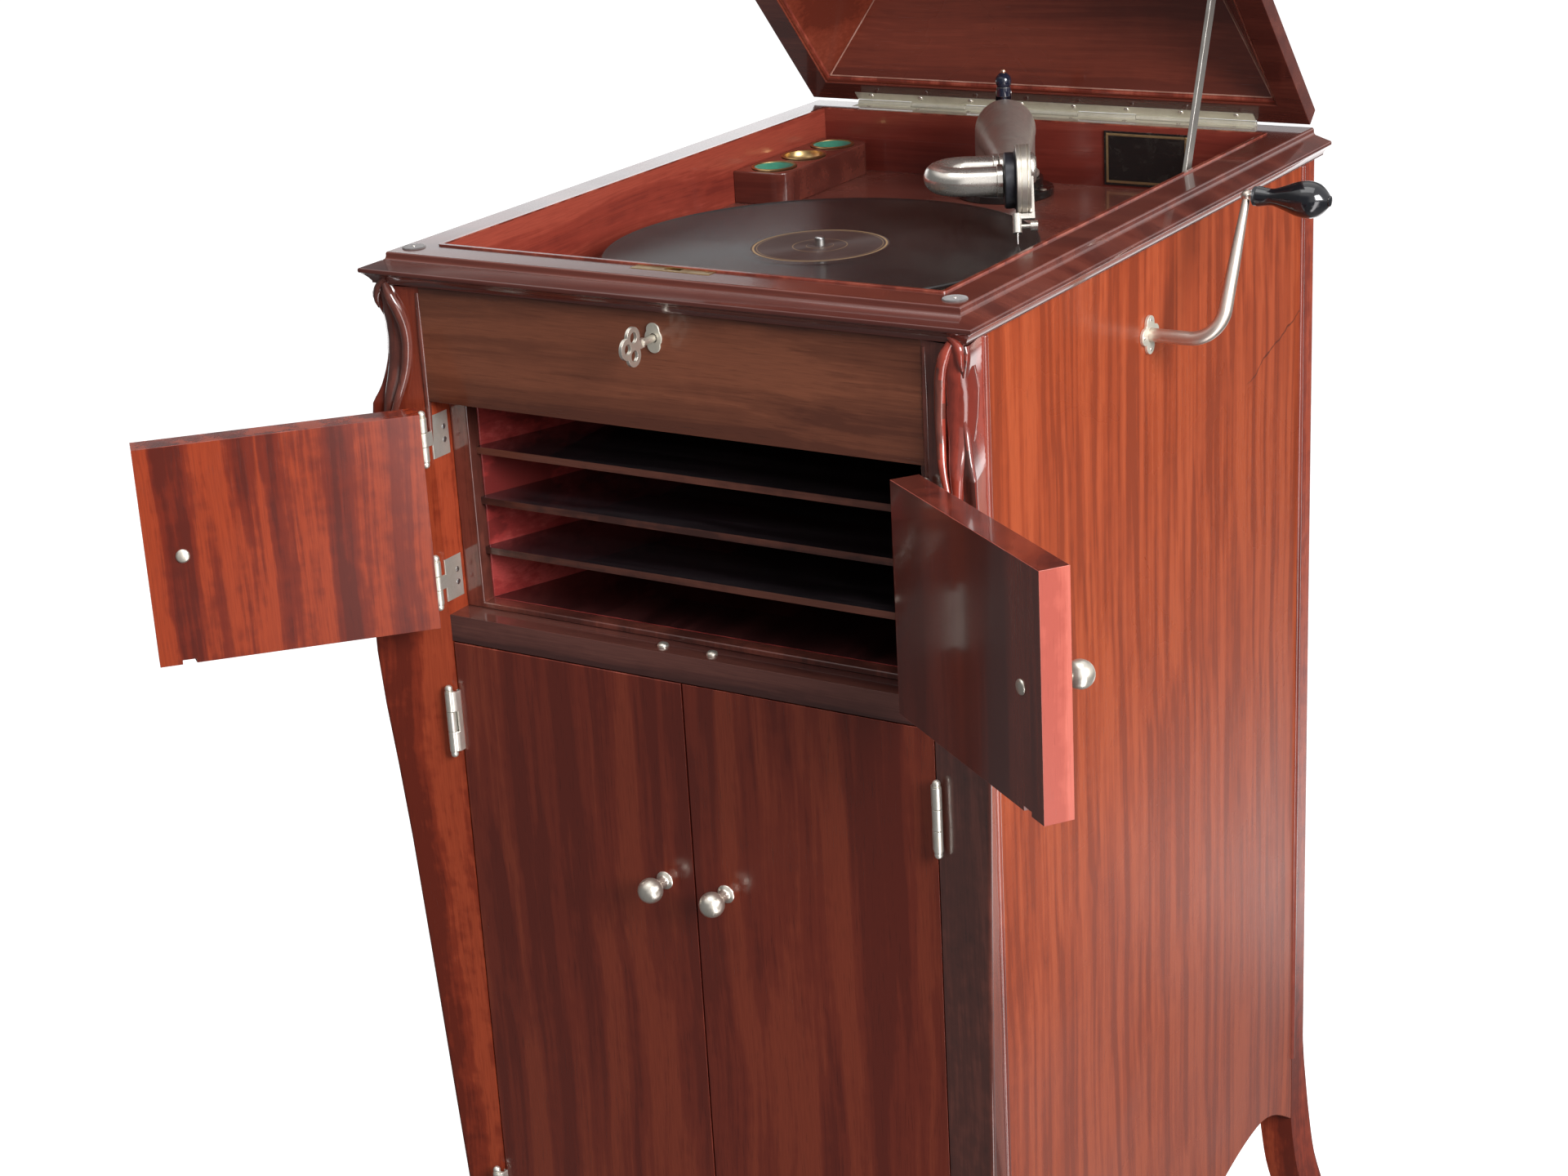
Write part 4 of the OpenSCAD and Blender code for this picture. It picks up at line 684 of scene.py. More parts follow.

# Side panel veneer, with a grey haze painted low down for the floor's reflection.
SIDE_VENEER = Veneer(
    "side panel veneer", "panel_wood", (0.235, 0.038, 0.012), (0.325, 0.055, 0.017), (0.40, 0.076, 0.025),
    bands=105.0, figure=0.14, pores=0.5, polish=0.26, coat=0.03, sheen=0.15, painted_haze=0.30, crack=True)
DOOR_VENEER = Veneer(
    "lower door veneer", "front_wood", (0.125, 0.018, 0.010), (0.175, 0.026, 0.013), (0.235, 0.040, 0.018),
    bands=60.0, figure=0.12, pores=0.5, polish=0.2)
UPPER_DOOR_VENEER = Veneer(
    "upper door veneer", "front_wood", (0.10, 0.014, 0.008), (0.175, 0.022, 0.010), (0.34, 0.050, 0.017),
    bands=52.0, figure=0.20, pores=0.4, polish=0.18, coat=0.12, sheen=0.25)
# Darker copy of the upper door veneer, painted shaded, for the right upper door.
SHADED_RIGHT_DOOR_VENEER = Veneer(
    "right upper door veneer", "front_wood", (0.075, 0.014, 0.010), (0.115, 0.020, 0.013),
    (0.17, 0.030, 0.018), bands=46.0, figure=0.10, pores=0.4, polish=0.16, coat=0.6)
FASCIA_VENEER = Veneer(
    "fascia veneer", "front_wood", (0.10, 0.030, 0.017), (0.16, 0.050, 0.026), (0.23, 0.073, 0.037),
    grain=Grain.ALONG_X, bands=40.0, figure=0.08, pores=0.4, polish=0.2)
# Lighter copy of the post wood, painted lit, for the left and rear posts.
LIT_POST_WOOD = Veneer(
    "left post wood", "front_wood", (0.14, 0.020, 0.010), (0.24, 0.033, 0.014), (0.38, 0.062, 0.024),
    bands=30.0, figure=0.30, pores=0.3, polish=0.2, coat=0.2, sheen=0.25)
# Darker post wood, the shaded copy, kept on the right front post; the left carving and the horn mouth frame
# use it too.
POST_WOOD = Veneer(
    "post wood", "front_wood", (0.075, 0.023, 0.018), (0.12, 0.034, 0.025), (0.19, 0.052, 0.036),
    bands=30.0, figure=0.30, pores=0.3, polish=0.12, coat=0.8)
# Lighter copy of the post wood, painted lit, for the right-facing faces of the post heads and the right
# carving's outer ribs.
LIT_LEAF_WOOD = Veneer(
    "carved leaf wood", "front_wood", (0.17, 0.024, 0.015), (0.27, 0.038, 0.023), (0.38, 0.062, 0.038),
    bands=30.0, figure=0.30, pores=0.1, polish=0.12, coat=1.0)
LIT_EDGE_WOOD = Veneer(
    "bright door edge", "front_wood", (0.42, 0.095, 0.070), (0.50, 0.12, 0.088), (0.58, 0.155, 0.115),
    bands=60.0, figure=0.4, pores=0.3, polish=0.2, coat=0.4)
FRAME_WOOD = Veneer(
    "top frame wood", "well_wood", (0.085, 0.020, 0.015), (0.115, 0.027, 0.019), (0.150, 0.037, 0.025),
    grain=Grain.ALONG_X, bands=40.0, figure=0.06, pores=0.2, polish=0.16, coat=0.8, dust=0.04)
WELL_WOOD = Veneer(
    "well wood", "well_wood", (0.16, 0.026, 0.018), (0.235, 0.038, 0.024), (0.32, 0.060, 0.037),
    grain=Grain.ALONG_Y, bands=26.0, figure=0.12, pores=0.2, polish=0.18)
WELL_BACK_WOOD = Veneer(
    "well back wood", "well_wood", (0.13, 0.021, 0.015), (0.18, 0.029, 0.020), (0.23, 0.043, 0.028),
    grain=Grain.ALONG_X, bands=30.0, figure=0.08, pores=0.2, polish=0.2)
BOARD_WOOD = Veneer(
    "motor board wood", "well_wood", (0.13, 0.030, 0.023), (0.19, 0.046, 0.032), (0.24, 0.063, 0.043),
    grain=Grain.ALONG_X, bands=28.0, figure=0.1, pores=0.3, polish=0.22, dust=0.12)
LID_WOOD = Veneer(
    "lid wood", "front_wood", (0.095, 0.022, 0.016), (0.135, 0.032, 0.022), (0.18, 0.046, 0.030),
    grain=Grain.ALONG_X, bands=30.0, figure=0.08, pores=0.3, polish=0.18, coat=0.8)
HORN_WOOD = Veneer(
    "horn wall wood", "horn_wood", (0.17, 0.020, 0.018), (0.31, 0.034, 0.031), (0.44, 0.064, 0.058),
    grain=Grain.ALONG_Y, bands=35.0, figure=0.4, pores=0.4, polish=0.3, coat=0.05, sheen=0.2)
# Near-black copy of the horn wood, painted shade for the dark inside of the horn's floor and ceiling.
SHADED_HORN_FLOOR = Veneer(
    "horn floor wood", "horn_wood", (0.022, 0.007, 0.007), (0.035, 0.010, 0.010), (0.060, 0.017, 0.016),
    grain=Grain.ALONG_Y, bands=35.0, figure=0.2, pores=0.4, polish=0.14, coat=0.6)
SLAT_WOOD = Veneer(
    "slat wood", "front_wood", (0.014, 0.010, 0.012), (0.024, 0.018, 0.021), (0.042, 0.033, 0.037),
    grain=Grain.ALONG_X, bands=45.0, figure=0.15, pores=0.4, polish=0.12, coat=1.0)
INNER_WOOD = Veneer(
    "plain inner boards", "inner_wood", (0.16, 0.075, 0.040), (0.26, 0.13, 0.070), (0.34, 0.18, 0.10),
    bands=26.0, figure=0.5, pores=0.6, polish=0.6, coat=0.0, dust=0.3)
NICKEL = Metal("aged nickel", "nickel", (0.78, 0.74, 0.66), (0.52, 0.46, 0.38), 0.5, 0.26, 60.0, 0.85)
BRIGHT_NICKEL = Metal(
    "bright nickel", "nickel", (0.84, 0.80, 0.74), (0.64, 0.59, 0.52), 0.35, 0.18, 60.0, 0.9)
SATIN_NICKEL = Metal("satin nickel", "nickel", (0.64, 0.58, 0.53), (0.44, 0.38, 0.33), 0.6, 0.32, 40.0, 0.75)
BRASS = Metal("aged brass", "brass", (0.62, 0.44, 0.20), (0.30, 0.19, 0.09), 0.55, 0.26)
HINGE_NICKEL = Metal("hinge nickel", "brass", (0.80, 0.77, 0.70), (0.56, 0.50, 0.40), 0.45, 0.32, 60.0, 0.75)
IRON = Metal("japanned iron", "iron", (0.022, 0.022, 0.024), (0.045, 0.040, 0.036), 0.6, 0.3, 90.0, 0.0)
STEEL = Metal("oiled steel", "steel", (0.42, 0.42, 0.42), (0.20, 0.17, 0.14), 0.5, 0.3)
FELT_GREEN = Felt("green felt", "felt", (0.015, 0.16, 0.10), (0.05, 0.26, 0.17))
FELT_GREY = Felt("grey felt", "felt", (0.085, 0.072, 0.070), (0.15, 0.13, 0.125))
FELT_TABLE = Felt("turntable felt", "felt", (0.03, 0.07, 0.045), (0.06, 0.11, 0.075))
RUBBER = PlainGloss("hard rubber", "black_rubber", (0.016, 0.017, 0.022), (0.05, 0.05, 0.055), 0.35, 0.1)
LACQUER = PlainGloss("black lacquer", "black_plate", (0.010, 0.009, 0.009), (0.030, 0.026, 0.022), 0.22, 0.3)
EBONY = PlainGloss("black handle", "handle_black", (0.008, 0.009, 0.012), (0.020, 0.020, 0.022), 0.14, 0.6)
GILT = Metal("gilt line", "brass", (0.55, 0.42, 0.22), (0.30, 0.21, 0.11), 0.4, 0.35)
BLUED = PlainGloss("blued steel", "nickel", (0.012, 0.015, 0.032), (0.05, 0.05, 0.07), 0.12, 0.6)
WORN_NICKEL = Metal(
    "worn nickel plate", "nickel", (0.80, 0.77, 0.67), (0.62, 0.58, 0.48), 0.5, 0.40, 45.0, 0.7)
CRANK_STEEL = Metal("satin crank steel", "nickel", (0.66, 0.58, 0.52), (0.47, 0.40, 0.35), 0.4, 0.34, 45.0)
STAY_STEEL = Metal("grey stay steel", "nickel", (0.44, 0.42, 0.39), (0.28, 0.26, 0.23), 0.5, 0.30, 45.0, 0.8)
COPPER = Metal("rubbed copper", "nickel", (0.78, 0.48, 0.34), (0.50, 0.30, 0.22), 0.4, 0.3, 90.0)
SHELLAC = Shellac()
MICA = Mica()
EDGE_WOOD = Veneer(
    "rubbed edge", "front_wood", (0.17, 0.030, 0.019), (0.28, 0.050, 0.030), (0.42, 0.095, 0.058),
    bands=60.0, figure=0.2, pores=0.2, polish=0.2)
SLAT_EDGE = Veneer(
    "rubbed slat edge", "front_wood", (0.05, 0.016, 0.012), (0.11, 0.034, 0.022), (0.17, 0.055, 0.034),
    grain=Grain.ALONG_X, bands=60.0, figure=0.3, pores=0.3, polish=0.28)
BEAD_WOOD = Veneer(
    "bead wood", "front_wood", (0.15, 0.028, 0.018), (0.24, 0.046, 0.028), (0.34, 0.080, 0.048),
    bands=60.0, figure=0.2, pores=0.2, polish=0.14, coat=0.9)
PALE_WOOD = Veneer(
    "pale joint strip", "front_wood", (0.42, 0.20, 0.15), (0.52, 0.27, 0.21), (0.62, 0.35, 0.28),
    bands=60.0, figure=0.3, pores=0.1, polish=0.3, coat=0.2)
CEILING_WOOD = Veneer(
    "lid lining wood", "front_wood", (0.145, 0.027, 0.015), (0.22, 0.042, 0.022), (0.29, 0.060, 0.032),
    grain=Grain.ALONG_X, bands=20.0, figure=0.10, pores=0.2, polish=0.24)
SILL_WOOD = Veneer(
    "sill wood", "front_wood", (0.060, 0.019, 0.016), (0.105, 0.034, 0.027), (0.15, 0.052, 0.040),
    grain=Grain.ALONG_X, bands=45.0, figure=0.10, pores=0.3, polish=0.16, coat=0.7)


def only(*objects: bpy.types.Object) -> None:
    """Select these objects and nothing else.

    Args:
        *objects: Objects to select; the first becomes active.
    """
    bpy.ops.object.select_all(action="DESELECT")
    for chosen in objects:
        chosen.select_set(True)
    bpy.context.view_layer.objects.active = objects[0]


def facing(*direction: float, share: float = 0.9) -> Test:
    """Make a test for faces that face a way."""
    way = Vector(direction).normalized()
    return lambda face: face.normal.dot(way) > share


def upright_to(foot: Point, axis: Point) -> Matrix:
    """Matrix that stands an upright shape at a place along a new axis."""
    turn = Vector((0.0, 0.0, 1.0)).rotation_difference(Vector(axis)).to_matrix().to_4x4()
    return Matrix.Translation(at(*foot)) @ turn


class Piece:
    """One solid piece modelled with primitives and edit-mode tools."""

    def __init__(self, made: bpy.types.Object) -> None:
        """Keep the object that the tools work on."""
        self.obj = made

    @classmethod
    def taken(cls, name: str) -> "Piece":
        """Name the active object, put its place into its mesh and keep it.

        Args:
            name: Name of the piece.

        Returns:
            The piece.
        """
        made = bpy.context.object
        made.name = name
        made.data.name = name
        only(made)
        bpy.ops.object.transform_apply(location=True, rotation=True, scale=True)
        return cls(made)

    @classmethod
    def block(cls, name: str, low: Point, high: Point, level: float = 0.0) -> "Piece":
        """Start from a box between two corners.

        Args:
            name: Name of the piece.
            low: Lowest corner in cabinet millimetres.
            high: Highest corner in cabinet millimetres.
            level: Height that the corners' heights are measured from.

        Returns:
            The piece.
        """
        first, last = at(low[0], low[1], level + low[2]), at(high[0], high[1], level + high[2])
        bpy.ops.mesh.primitive_cube_add(size=1.0, location=(first + last) / 2)
        bpy.context.object.scale = last - first
        return cls.taken(name)

    @classmethod
    def turned(cls, name: str, profile: Profile, foot: Point, axis: Point = (0.0, 0.0, 1.0),
               steps: int = 48) -> "Piece":
        """Spin a profile round an axis, as on a lathe.

        Args:
            name: Name of the piece.
            profile: Radius and height in millimetres from the foot to the top.
            foot: Foot of the axis in cabinet millimetres.
            axis: Direction of the axis.
            steps: Number of steps in a full turn.

        Returns:
            The piece.
        """
        bpy.ops.mesh.primitive_plane_add(size=MM)
        piece = cls(bpy.context.object)
        only(piece.obj)
        bpy.ops.object.mode_set(mode="EDIT")
        bpy.ops.mesh.select_mode(type="VERT")
        bpy.ops.mesh.select_all(action="SELECT")
        bpy.ops.mesh.merge(type="CENTER")
        bpy.ops.transform.translate(value=(profile[0][0] * MM, 0.0, profile[0][1] * MM))
        for before, after in zip(profile, profile[1:]):
            step = ((after[0] - before[0]) * MM, 0.0, (after[1] - before[1]) * MM)
            bpy.ops.mesh.extrude_region_move(TRANSFORM_OT_translate={"value": step})
        bpy.ops.mesh.select_all(action="SELECT")
        bpy.ops.mesh.spin(steps=steps, angle=math.tau, center=(0.0, 0.0, 0.0), axis=(0.0, 0.0, 1.0))
        piece.closed()
        bpy.ops.object.mode_set(mode="OBJECT")
        piece.obj.matrix_world = upright_to(foot, axis)
        return cls.taken(name)

    @classmethod
    def screw(cls, name: str, foot: Point, axis: Point, radius: float, height: float, slot: float) -> "Piece":
        """Make a slotted screw with a domed head.

        Args:
            name: Name of the piece.
            foot: Middle of the head's underside in cabinet millimetres.
            axis: Direction that the head faces.
            radius: Radius of the head in millimetres.
            height: Height of the head in millimetres.
            slot: Turn of the slot in degrees.

        Returns:
            The piece.
        """
        sunk, slot_half = 0.4, 0.22
        head = dome(radius, 0.0, height, [math.radians(a) for a in range(0, 90, 18)])
        profile = [(0.0, -sunk), (radius, -sunk)] + head + [(0.0, height)]
        piece = cls.turned(name, profile, (0.0, 0.0, 0.0), steps=20)
        only(piece.obj)
        middle = at(0.0, 0.0, 0.0)
        bpy.ops.object.mode_set(mode="EDIT")
        for side in (slot_half, -slot_half):
            bpy.ops.mesh.select_all(action="SELECT")
            bpy.ops.mesh.bisect(plane_co=middle + Vector((side * MM, 0.0, 0.0)), plane_no=(1.0, 0.0, 0.0))
        piece.pick(
            "faces", lambda f: abs(f.calc_center_median().x - middle.x) < 0.2 * MM and f.normal.z > 0.1)
        bpy.ops.mesh.extrude_region_move(TRANSFORM_OT_translate={"value": (0.0, 0.0, -0.5 * height * MM)})
        bpy.ops.object.mode_set(mode="OBJECT")
        spin = Matrix.Rotation(math.radians(slot), 4, "Z")
        piece.obj.matrix_world = upright_to(foot, axis) @ spin @ Matrix.Translation(-middle)
        only(piece.obj)
        return cls.taken(name)

    @classmethod
    def screws(cls, name: str, places: Sequence[Point], axis: Point, radius: float, height: float,
               slots: Sequence[float]) -> "Piece":
        """Make a set of like screws."""
        return cls.joined(
            name, [cls.screw(name, place, axis, radius, height, slot) for place, slot in zip(places, slots)])

    @classmethod
    def rib(cls, name: str, route: Sequence[Point], radii: Sequence[float]) -> "Piece":
        """Carve a round rib that follows a smooth route and swells and thins.

        Args:
            name: Name of the piece.
            route: Points of the route in cabinet millimetres.
            radii: Radius of the rib at each point in millimetres.

        Returns:
            The piece.
        """
        bpy.ops.curve.primitive_bezier_curve_add()
        made = bpy.context.object
        made.data.dimensions = "3D"
        made.data.bevel_depth = MM
        made.data.bevel_resolution = 3
        made.data.resolution_u = 8
        made.data.use_fill_caps = True
        line = made.data.splines[0]
        line.bezier_points.add(len(route) - len(line.bezier_points))
        for knot, place, radius in zip(line.bezier_points, route, radii):
            knot.handle_left_type = knot.handle_right_type = "AUTO"
            knot.co = at(*place)
            knot.radius = radius
        only(made)
        bpy.ops.object.convert(target="MESH")
        piece = cls.taken(name)
        bpy.ops.object.mode_set(mode="EDIT")
        piece.closed()
        bpy.ops.object.mode_set(mode="OBJECT")
        return piece

    @classmethod
    def copied(cls, node: str, name: str = "") -> "Piece":
        """Start from a merged copy of a CAD node.

        Args:
            node: Name of the CAD node, which the piece replaces.
            name: Name of the piece, or the node's name with _body if left out.

        Returns:
            The piece.
        """
        only(frame["nodes"][node])
        bpy.ops.object.duplicate()
        made = bpy.context.object
        if made.parent:
            bpy.ops.object.parent_clear(type="CLEAR_KEEP_TRANSFORM")
        made.name = name or node + "_body"
        made.data.name = made.name
        made.data.materials.clear()
        piece = cls(made)
        only(made)
        bpy.ops.object.mode_set(mode="EDIT")
        bpy.ops.mesh.select_all(action="SELECT")
        bpy.ops.mesh.remove_doubles(threshold=0.00001)
        bpy.ops.mesh.dissolve_limited(angle_limit=math.radians(0.6))
        bpy.ops.object.mode_set(mode="OBJECT")
        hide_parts(node)
        return piece

    @classmethod
    def joined(cls, name: str, parts: Sequence["Piece"]) -> "Piece":
        """Join pieces into one.

        Args:
            name: Name of the joined piece.
            parts: Pieces to join.

        Returns:
            The joined piece.
        """
        only(*(p.obj for p in parts))
        bpy.ops.object.join()
        return cls.taken(name)

    def pick(self, kind: str, test: Test) -> None:
        """Select parts of the mesh in edit mode.

        Args:
            kind: One of verts, edges and faces.
            test: Test for one of them.
        """
        bpy.ops.mesh.select_mode(type={"verts": "VERT", "edges": "EDGE", "faces": "FACE"}[kind])
        bpy.ops.mesh.select_all(action="DESELECT")
        mesh = bmesh.from_edit_mesh(self.obj.data)
        for part in getattr(mesh, kind):
            if test(part):
                part.select_set(True)
        mesh.select_flush_mode()
        bmesh.update_edit_mesh(self.obj.data)

    def edit(self, kind: str, test: Test) -> None:
        """Enter edit mode with a selection.

        Args:
            kind: One of verts, edges and faces.
            test: Test for one of them.
        """
        only(self.obj)
        bpy.ops.object.mode_set(mode="EDIT")
        self.pick(kind, test)

    def sliced(self, place: Vector, normal: Point) -> "Piece":
        """Cut away what lies past a plane and close the cut.

        Args:
            place: Point on the plane in the frame.
            normal: Direction of the side that is cut away.

        Returns:
            The same piece.
        """
        self.edit("faces", lambda face: True)
        bpy.ops.mesh.bisect(plane_co=place, plane_no=normal, clear_outer=True, use_fill=True)
        bpy.ops.object.mode_set(mode="OBJECT")
        return self

    def closed(self) -> None:
        """Merge what meets in edit mode and turn the normals outward."""
        bpy.ops.mesh.select_all(action="SELECT")
        bpy.ops.mesh.remove_doubles(threshold=0.000002)
        bpy.ops.mesh.normals_make_consistent(inside=False)

    def inset(self, test: Test, steps: Profile) -> "Piece":
        """Inset the chosen faces several times.

        Args:
            test: Test for the faces.
            steps: Thickness and depth of each step in millimetres.

        Returns:
            The same piece.
        """
        self.edit("faces", test)
        for thickness, depth in steps:
            bpy.ops.mesh.inset(thickness=max(thickness, 0.00001) * MM, depth=depth * MM)
        bpy.ops.object.mode_set(mode="OBJECT")
        return self

    def bevelled(self, width: float, segments: int = 2, angle: float = 50.0,
                 edge_finish: int = -1) -> "Piece":
        """Round the edges with an applied bevel.

        Args:
            width: Width of the bevel in millimetres.
            segments: Number of segments.
            angle: Least angle of the edges in degrees.
            edge_finish: Number of the material that the bevels get, or -1 for their neighbours' one.

        Returns:
            The same piece.
        """
        only(self.obj)
        made = self.obj.modifiers.new("rounded edges", "BEVEL")
        made.width = width * MM
        made.segments = segments
        made.limit_method = "ANGLE"
        made.angle_limit = math.radians(angle)
        made.material = edge_finish
        made.harden_normals = False
        bpy.ops.object.modifier_apply(modifier=made.name)
        return self

    def cut(self, others: Sequence["Piece"]) -> "Piece":
        """Cut other pieces out of this one and remove them.

        Args:
            others: Pieces that are cut away.

        Returns:
            The same piece.
        """
        for other in others:
            only(self.obj)
            made = self.obj.modifiers.new("cut", "BOOLEAN")
            made.object = other.obj
            made.operation = "DIFFERENCE"
            made.solver = "EXACT"
            bpy.ops.object.modifier_apply(modifier=made.name)
            bpy.data.objects.remove(other.obj)
        return self

    def smooth(self, angle: float = 40.0) -> "Piece":
        """Shade the piece smooth up to an angle.

        Args:
            angle: Angle of the sharpest smooth edge in degrees.

        Returns:
            The same piece.
        """
        only(self.obj)
        bpy.ops.object.shade_smooth_by_angle(angle=math.radians(angle))
        made = self.obj.modifiers.new("even normals", "WEIGHTED_NORMAL")
        made.keep_sharp = True
        bpy.ops.object.modifier_apply(modifier=made.name)
        return self

    def paint(self, *finishes: FinishKind) -> "Piece":
        """Give the piece its materials.

        Args:
            *finishes: Finishes in the order of the material slots.

        Returns:
            The same piece.
        """
        for finish in finishes:
            self.obj.data.materials.append(PALETTE.get(finish))
        self.obj["finish_slot"] = finishes[0].slot
        return self

    def repaint(self, test: Test, number: int) -> "Piece":
        """Give some faces another material of the piece.

        Args:
            test: Test for the faces, given a polygon with normal and center.
            number: Number of the material slot.

        Returns:
            The same piece.
        """
        for polygon in self.obj.data.polygons:
            if test(polygon):
                polygon.material_index = number
        return self

    def placed(self, matrix: Matrix) -> "Piece":
        """Move the piece by a matrix and keep the result in its mesh.

        Args:
            matrix: Matrix in the frame.

        Returns:
            The same piece.
        """
        self.obj.matrix_world = matrix @ self.obj.matrix_world
        only(self.obj)
        bpy.ops.object.transform_apply(location=True, rotation=True, scale=True)
        if matrix.determinant() < 0:
            bpy.ops.object.mode_set(mode="EDIT")
            bpy.ops.mesh.select_all(action="SELECT")
            bpy.ops.mesh.normals_make_consistent(inside=False)
            bpy.ops.object.mode_set(mode="OBJECT")
        return self

    def ride(self, body: str, *nodes: str) -> "Piece":
        """Let the piece move with a body and stand for CAD nodes.

        Args:
            body: Name of the body.
            *nodes: CAD nodes that the piece stands for.

        Returns:
            The same piece.
        """
        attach(self.obj, body)
        if nodes:
            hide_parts(*nodes)
        LOG.info("made %s for %s", self.obj.name, body)
        return self


class Tube:
    """Round bar built ring by ring along straight runs and bends."""

    def __init__(self, start: Vector, way: Vector, radius: float, sides: int = 32) -> None:
        """Start with one ring.

        Args:
            start: Middle of the ring in the frame.
            way: Direction in which the tube sets off.
            radius: Radius of the ring in millimetres.
            sides: Number of vertices in a ring.
        """
        turn = Vector((0.0, 0.0, 1.0)).rotation_difference(way).to_euler()
        bpy.ops.mesh.primitive_circle_add(vertices=sides, radius=radius * MM, location=start, rotation=turn)
        self.piece = Piece.taken("tube")
        self.place, self.way, self.radius = start.copy(), way.normalized(), radius
        bpy.ops.object.mode_set(mode="EDIT")
        bpy.ops.mesh.select_mode(type="EDGE")
        bpy.ops.mesh.select_all(action="SELECT")

    def run(self, length: float, radius: float | None = None) -> "Tube":
        """Extrude straight on, with a new radius at the end.

        Args:
            length: Length in millimetres.
            radius: Radius at the end; the same one if left out.

        Returns:
            The same tube.
        """
        bpy.ops.mesh.extrude_edges_move(TRANSFORM_OT_translate={"value": self.way * length * MM})
        self.place = self.place + self.way * length * MM
        if radius is not None and abs(radius - self.radius) > 1e-9:
            share = radius / self.radius
            bpy.ops.transform.resize(value=(share, share, share), center_override=self.place)
            self.radius = radius
        return self

    def shaped(self, profile: Profile) -> "Tube":
        """Extrude on through several lengths and radii.

        Args:
            profile: Length of each step and radius at its end, in millimetres.

        Returns:
            The same tube.
        """
        for length, radius in profile:
            self.run(length, radius)
        return self

    def bend(self, angle: float, middle: Vector, axis: Vector, steps: int = 16) -> "Tube":
        """Spin on round an axis.

        Args:
            angle: Angle of the bend in degrees.
            middle: Point on the axis in the frame.
            axis: Direction of the axis.
            steps: Number of rings.

        Returns:
            The same tube.
        """
        bpy.ops.mesh.spin(steps=steps, angle=-math.radians(angle), center=middle, axis=axis)
        turn = Matrix.Rotation(math.radians(angle), 3, axis)
        self.place = middle + turn @ (self.place - middle)
        self.way = turn @ self.way
        return self

    def done(self, name: str) -> Piece:
        """Close both ends.

        Args:
            name: Name of the piece.

        Returns:
            The piece.
        """
        bpy.ops.mesh.select_all(action="SELECT")
        bpy.ops.mesh.remove_doubles(threshold=0.000002)
        bpy.ops.mesh.select_all(action="DESELECT")
        bpy.ops.mesh.select_non_manifold(extend=False)
        bpy.ops.mesh.edge_face_add()
        bpy.ops.mesh.select_all(action="DESELECT")
        bpy.ops.mesh.select_mode(type="FACE")
        self.piece.closed()
        bpy.ops.object.mode_set(mode="OBJECT")
        self.piece.obj.name = name
        self.piece.obj.data.name = name
        return self.piece


UP, DOWN, FORWARD, RIGHTWARD = (0.0, 0.0, 1.0), (0.0, 0.0, -1.0), (0.0, -1.0, 0.0), (1.0, 0.0, 0.0)
QUARTER = (0.0, 0.5, 1.0, 1.57)

# Cabinet sizes in millimetres that several sub-assemblies share, as in the solid model
RIM_Z = 1000.0
CASE_X, FRONT_Y, BACK_Y = 220.5, -280.0, 292.0
PIN_X, PIN_Y = 195.0, -286.0
HINGE_Y, HINGE_Z, LID_OPEN, LEAF_HALF = 286.0, 1001.0, 48.0, 174.5
LEAF_SCREW_Y, LOCK_SCREW_Y = 277.4, -255.5
SPINDLE_Y = -75.0
CRANK_Y, CRANK_Z = -16.0, 917.0


@dataclass(frozen=True)
class HingePair:
    """Heights and barrel length of the two hinges that carry one door."""

    heights: tuple[float, float]
    barrel: float


UPPER_HINGES, LOWER_HINGES = HingePair((872.5, 768.5), 31.0), HingePair((664.5, 274.0), 45.0)


def turn_about(place: Vector, angle: float, axis: str) -> Matrix:
    """Make a turn about an axis through a point."""
    turn = Matrix.Rotation(math.radians(angle), 4, axis)
    return Matrix.Translation(place) @ turn @ Matrix.Translation(-place)


def mirrored(side: Side) -> Matrix:
    """Mirror across the cabinet's middle for the left side."""
    flip = Matrix.Diagonal((side.value, 1.0, 1.0, 1.0))
    return Matrix.Translation((SHIFT.x, 0.0, 0.0)) @ flip @ Matrix.Translation((-SHIFT.x, 0.0, 0.0))


def hung(side: Side, angle: float) -> Matrix:
    """Turn a closed right-hand door piece open and mirror it to its side."""
    return mirrored(side) @ turn_about(at(PIN_X, PIN_Y, 0.0), angle, "Z")


LID_TURN = turn_about(at(0.0, HINGE_Y, HINGE_Z), -LID_OPEN, "X")


def arc(steps: int, width: float, rise: float, hollow: bool) -> Profile:
    """Steps of an inset that follow a quarter round.

    Args:
        steps: Number of steps.
        width: Width of the round in millimetres.
        rise: Height of the round in millimetres.
        hollow: Whether it is a cove rather than a bulge.

    Returns:
        Thickness and depth of each inset.
    """
    angles = [math.pi / 2 * i / steps for i in range(steps + 1)]
    if hollow:
        knots = [(width * math.sin(a), rise * (1 - math.cos(a))) for a in angles]
    else:
        knots = [(width * (1 - math.cos(a)), rise * math.sin(a)) for a in angles]
    return [(b[0] - a[0], b[1] - a[1]) for a, b in zip(knots, knots[1:])]


def dome(radius: float, foot: float, height: float, angles: Iterable[float], inner: float = 0.0) -> Profile:
    """Points up a rounded head, from its rim toward its top."""
    return [(inner + radius * math.cos(a), foot + height * math.sin(a)) for a in angles]


def ball(radius: float, middle: float, height: float, degrees: Iterable[float]) -> Profile:
    """Points up a ball or a bowl, from its foot at 0 degrees to its head at 180."""
    return [(radius * math.sin(a), middle - height * math.cos(a)) for a in map(math.radians, degrees)]


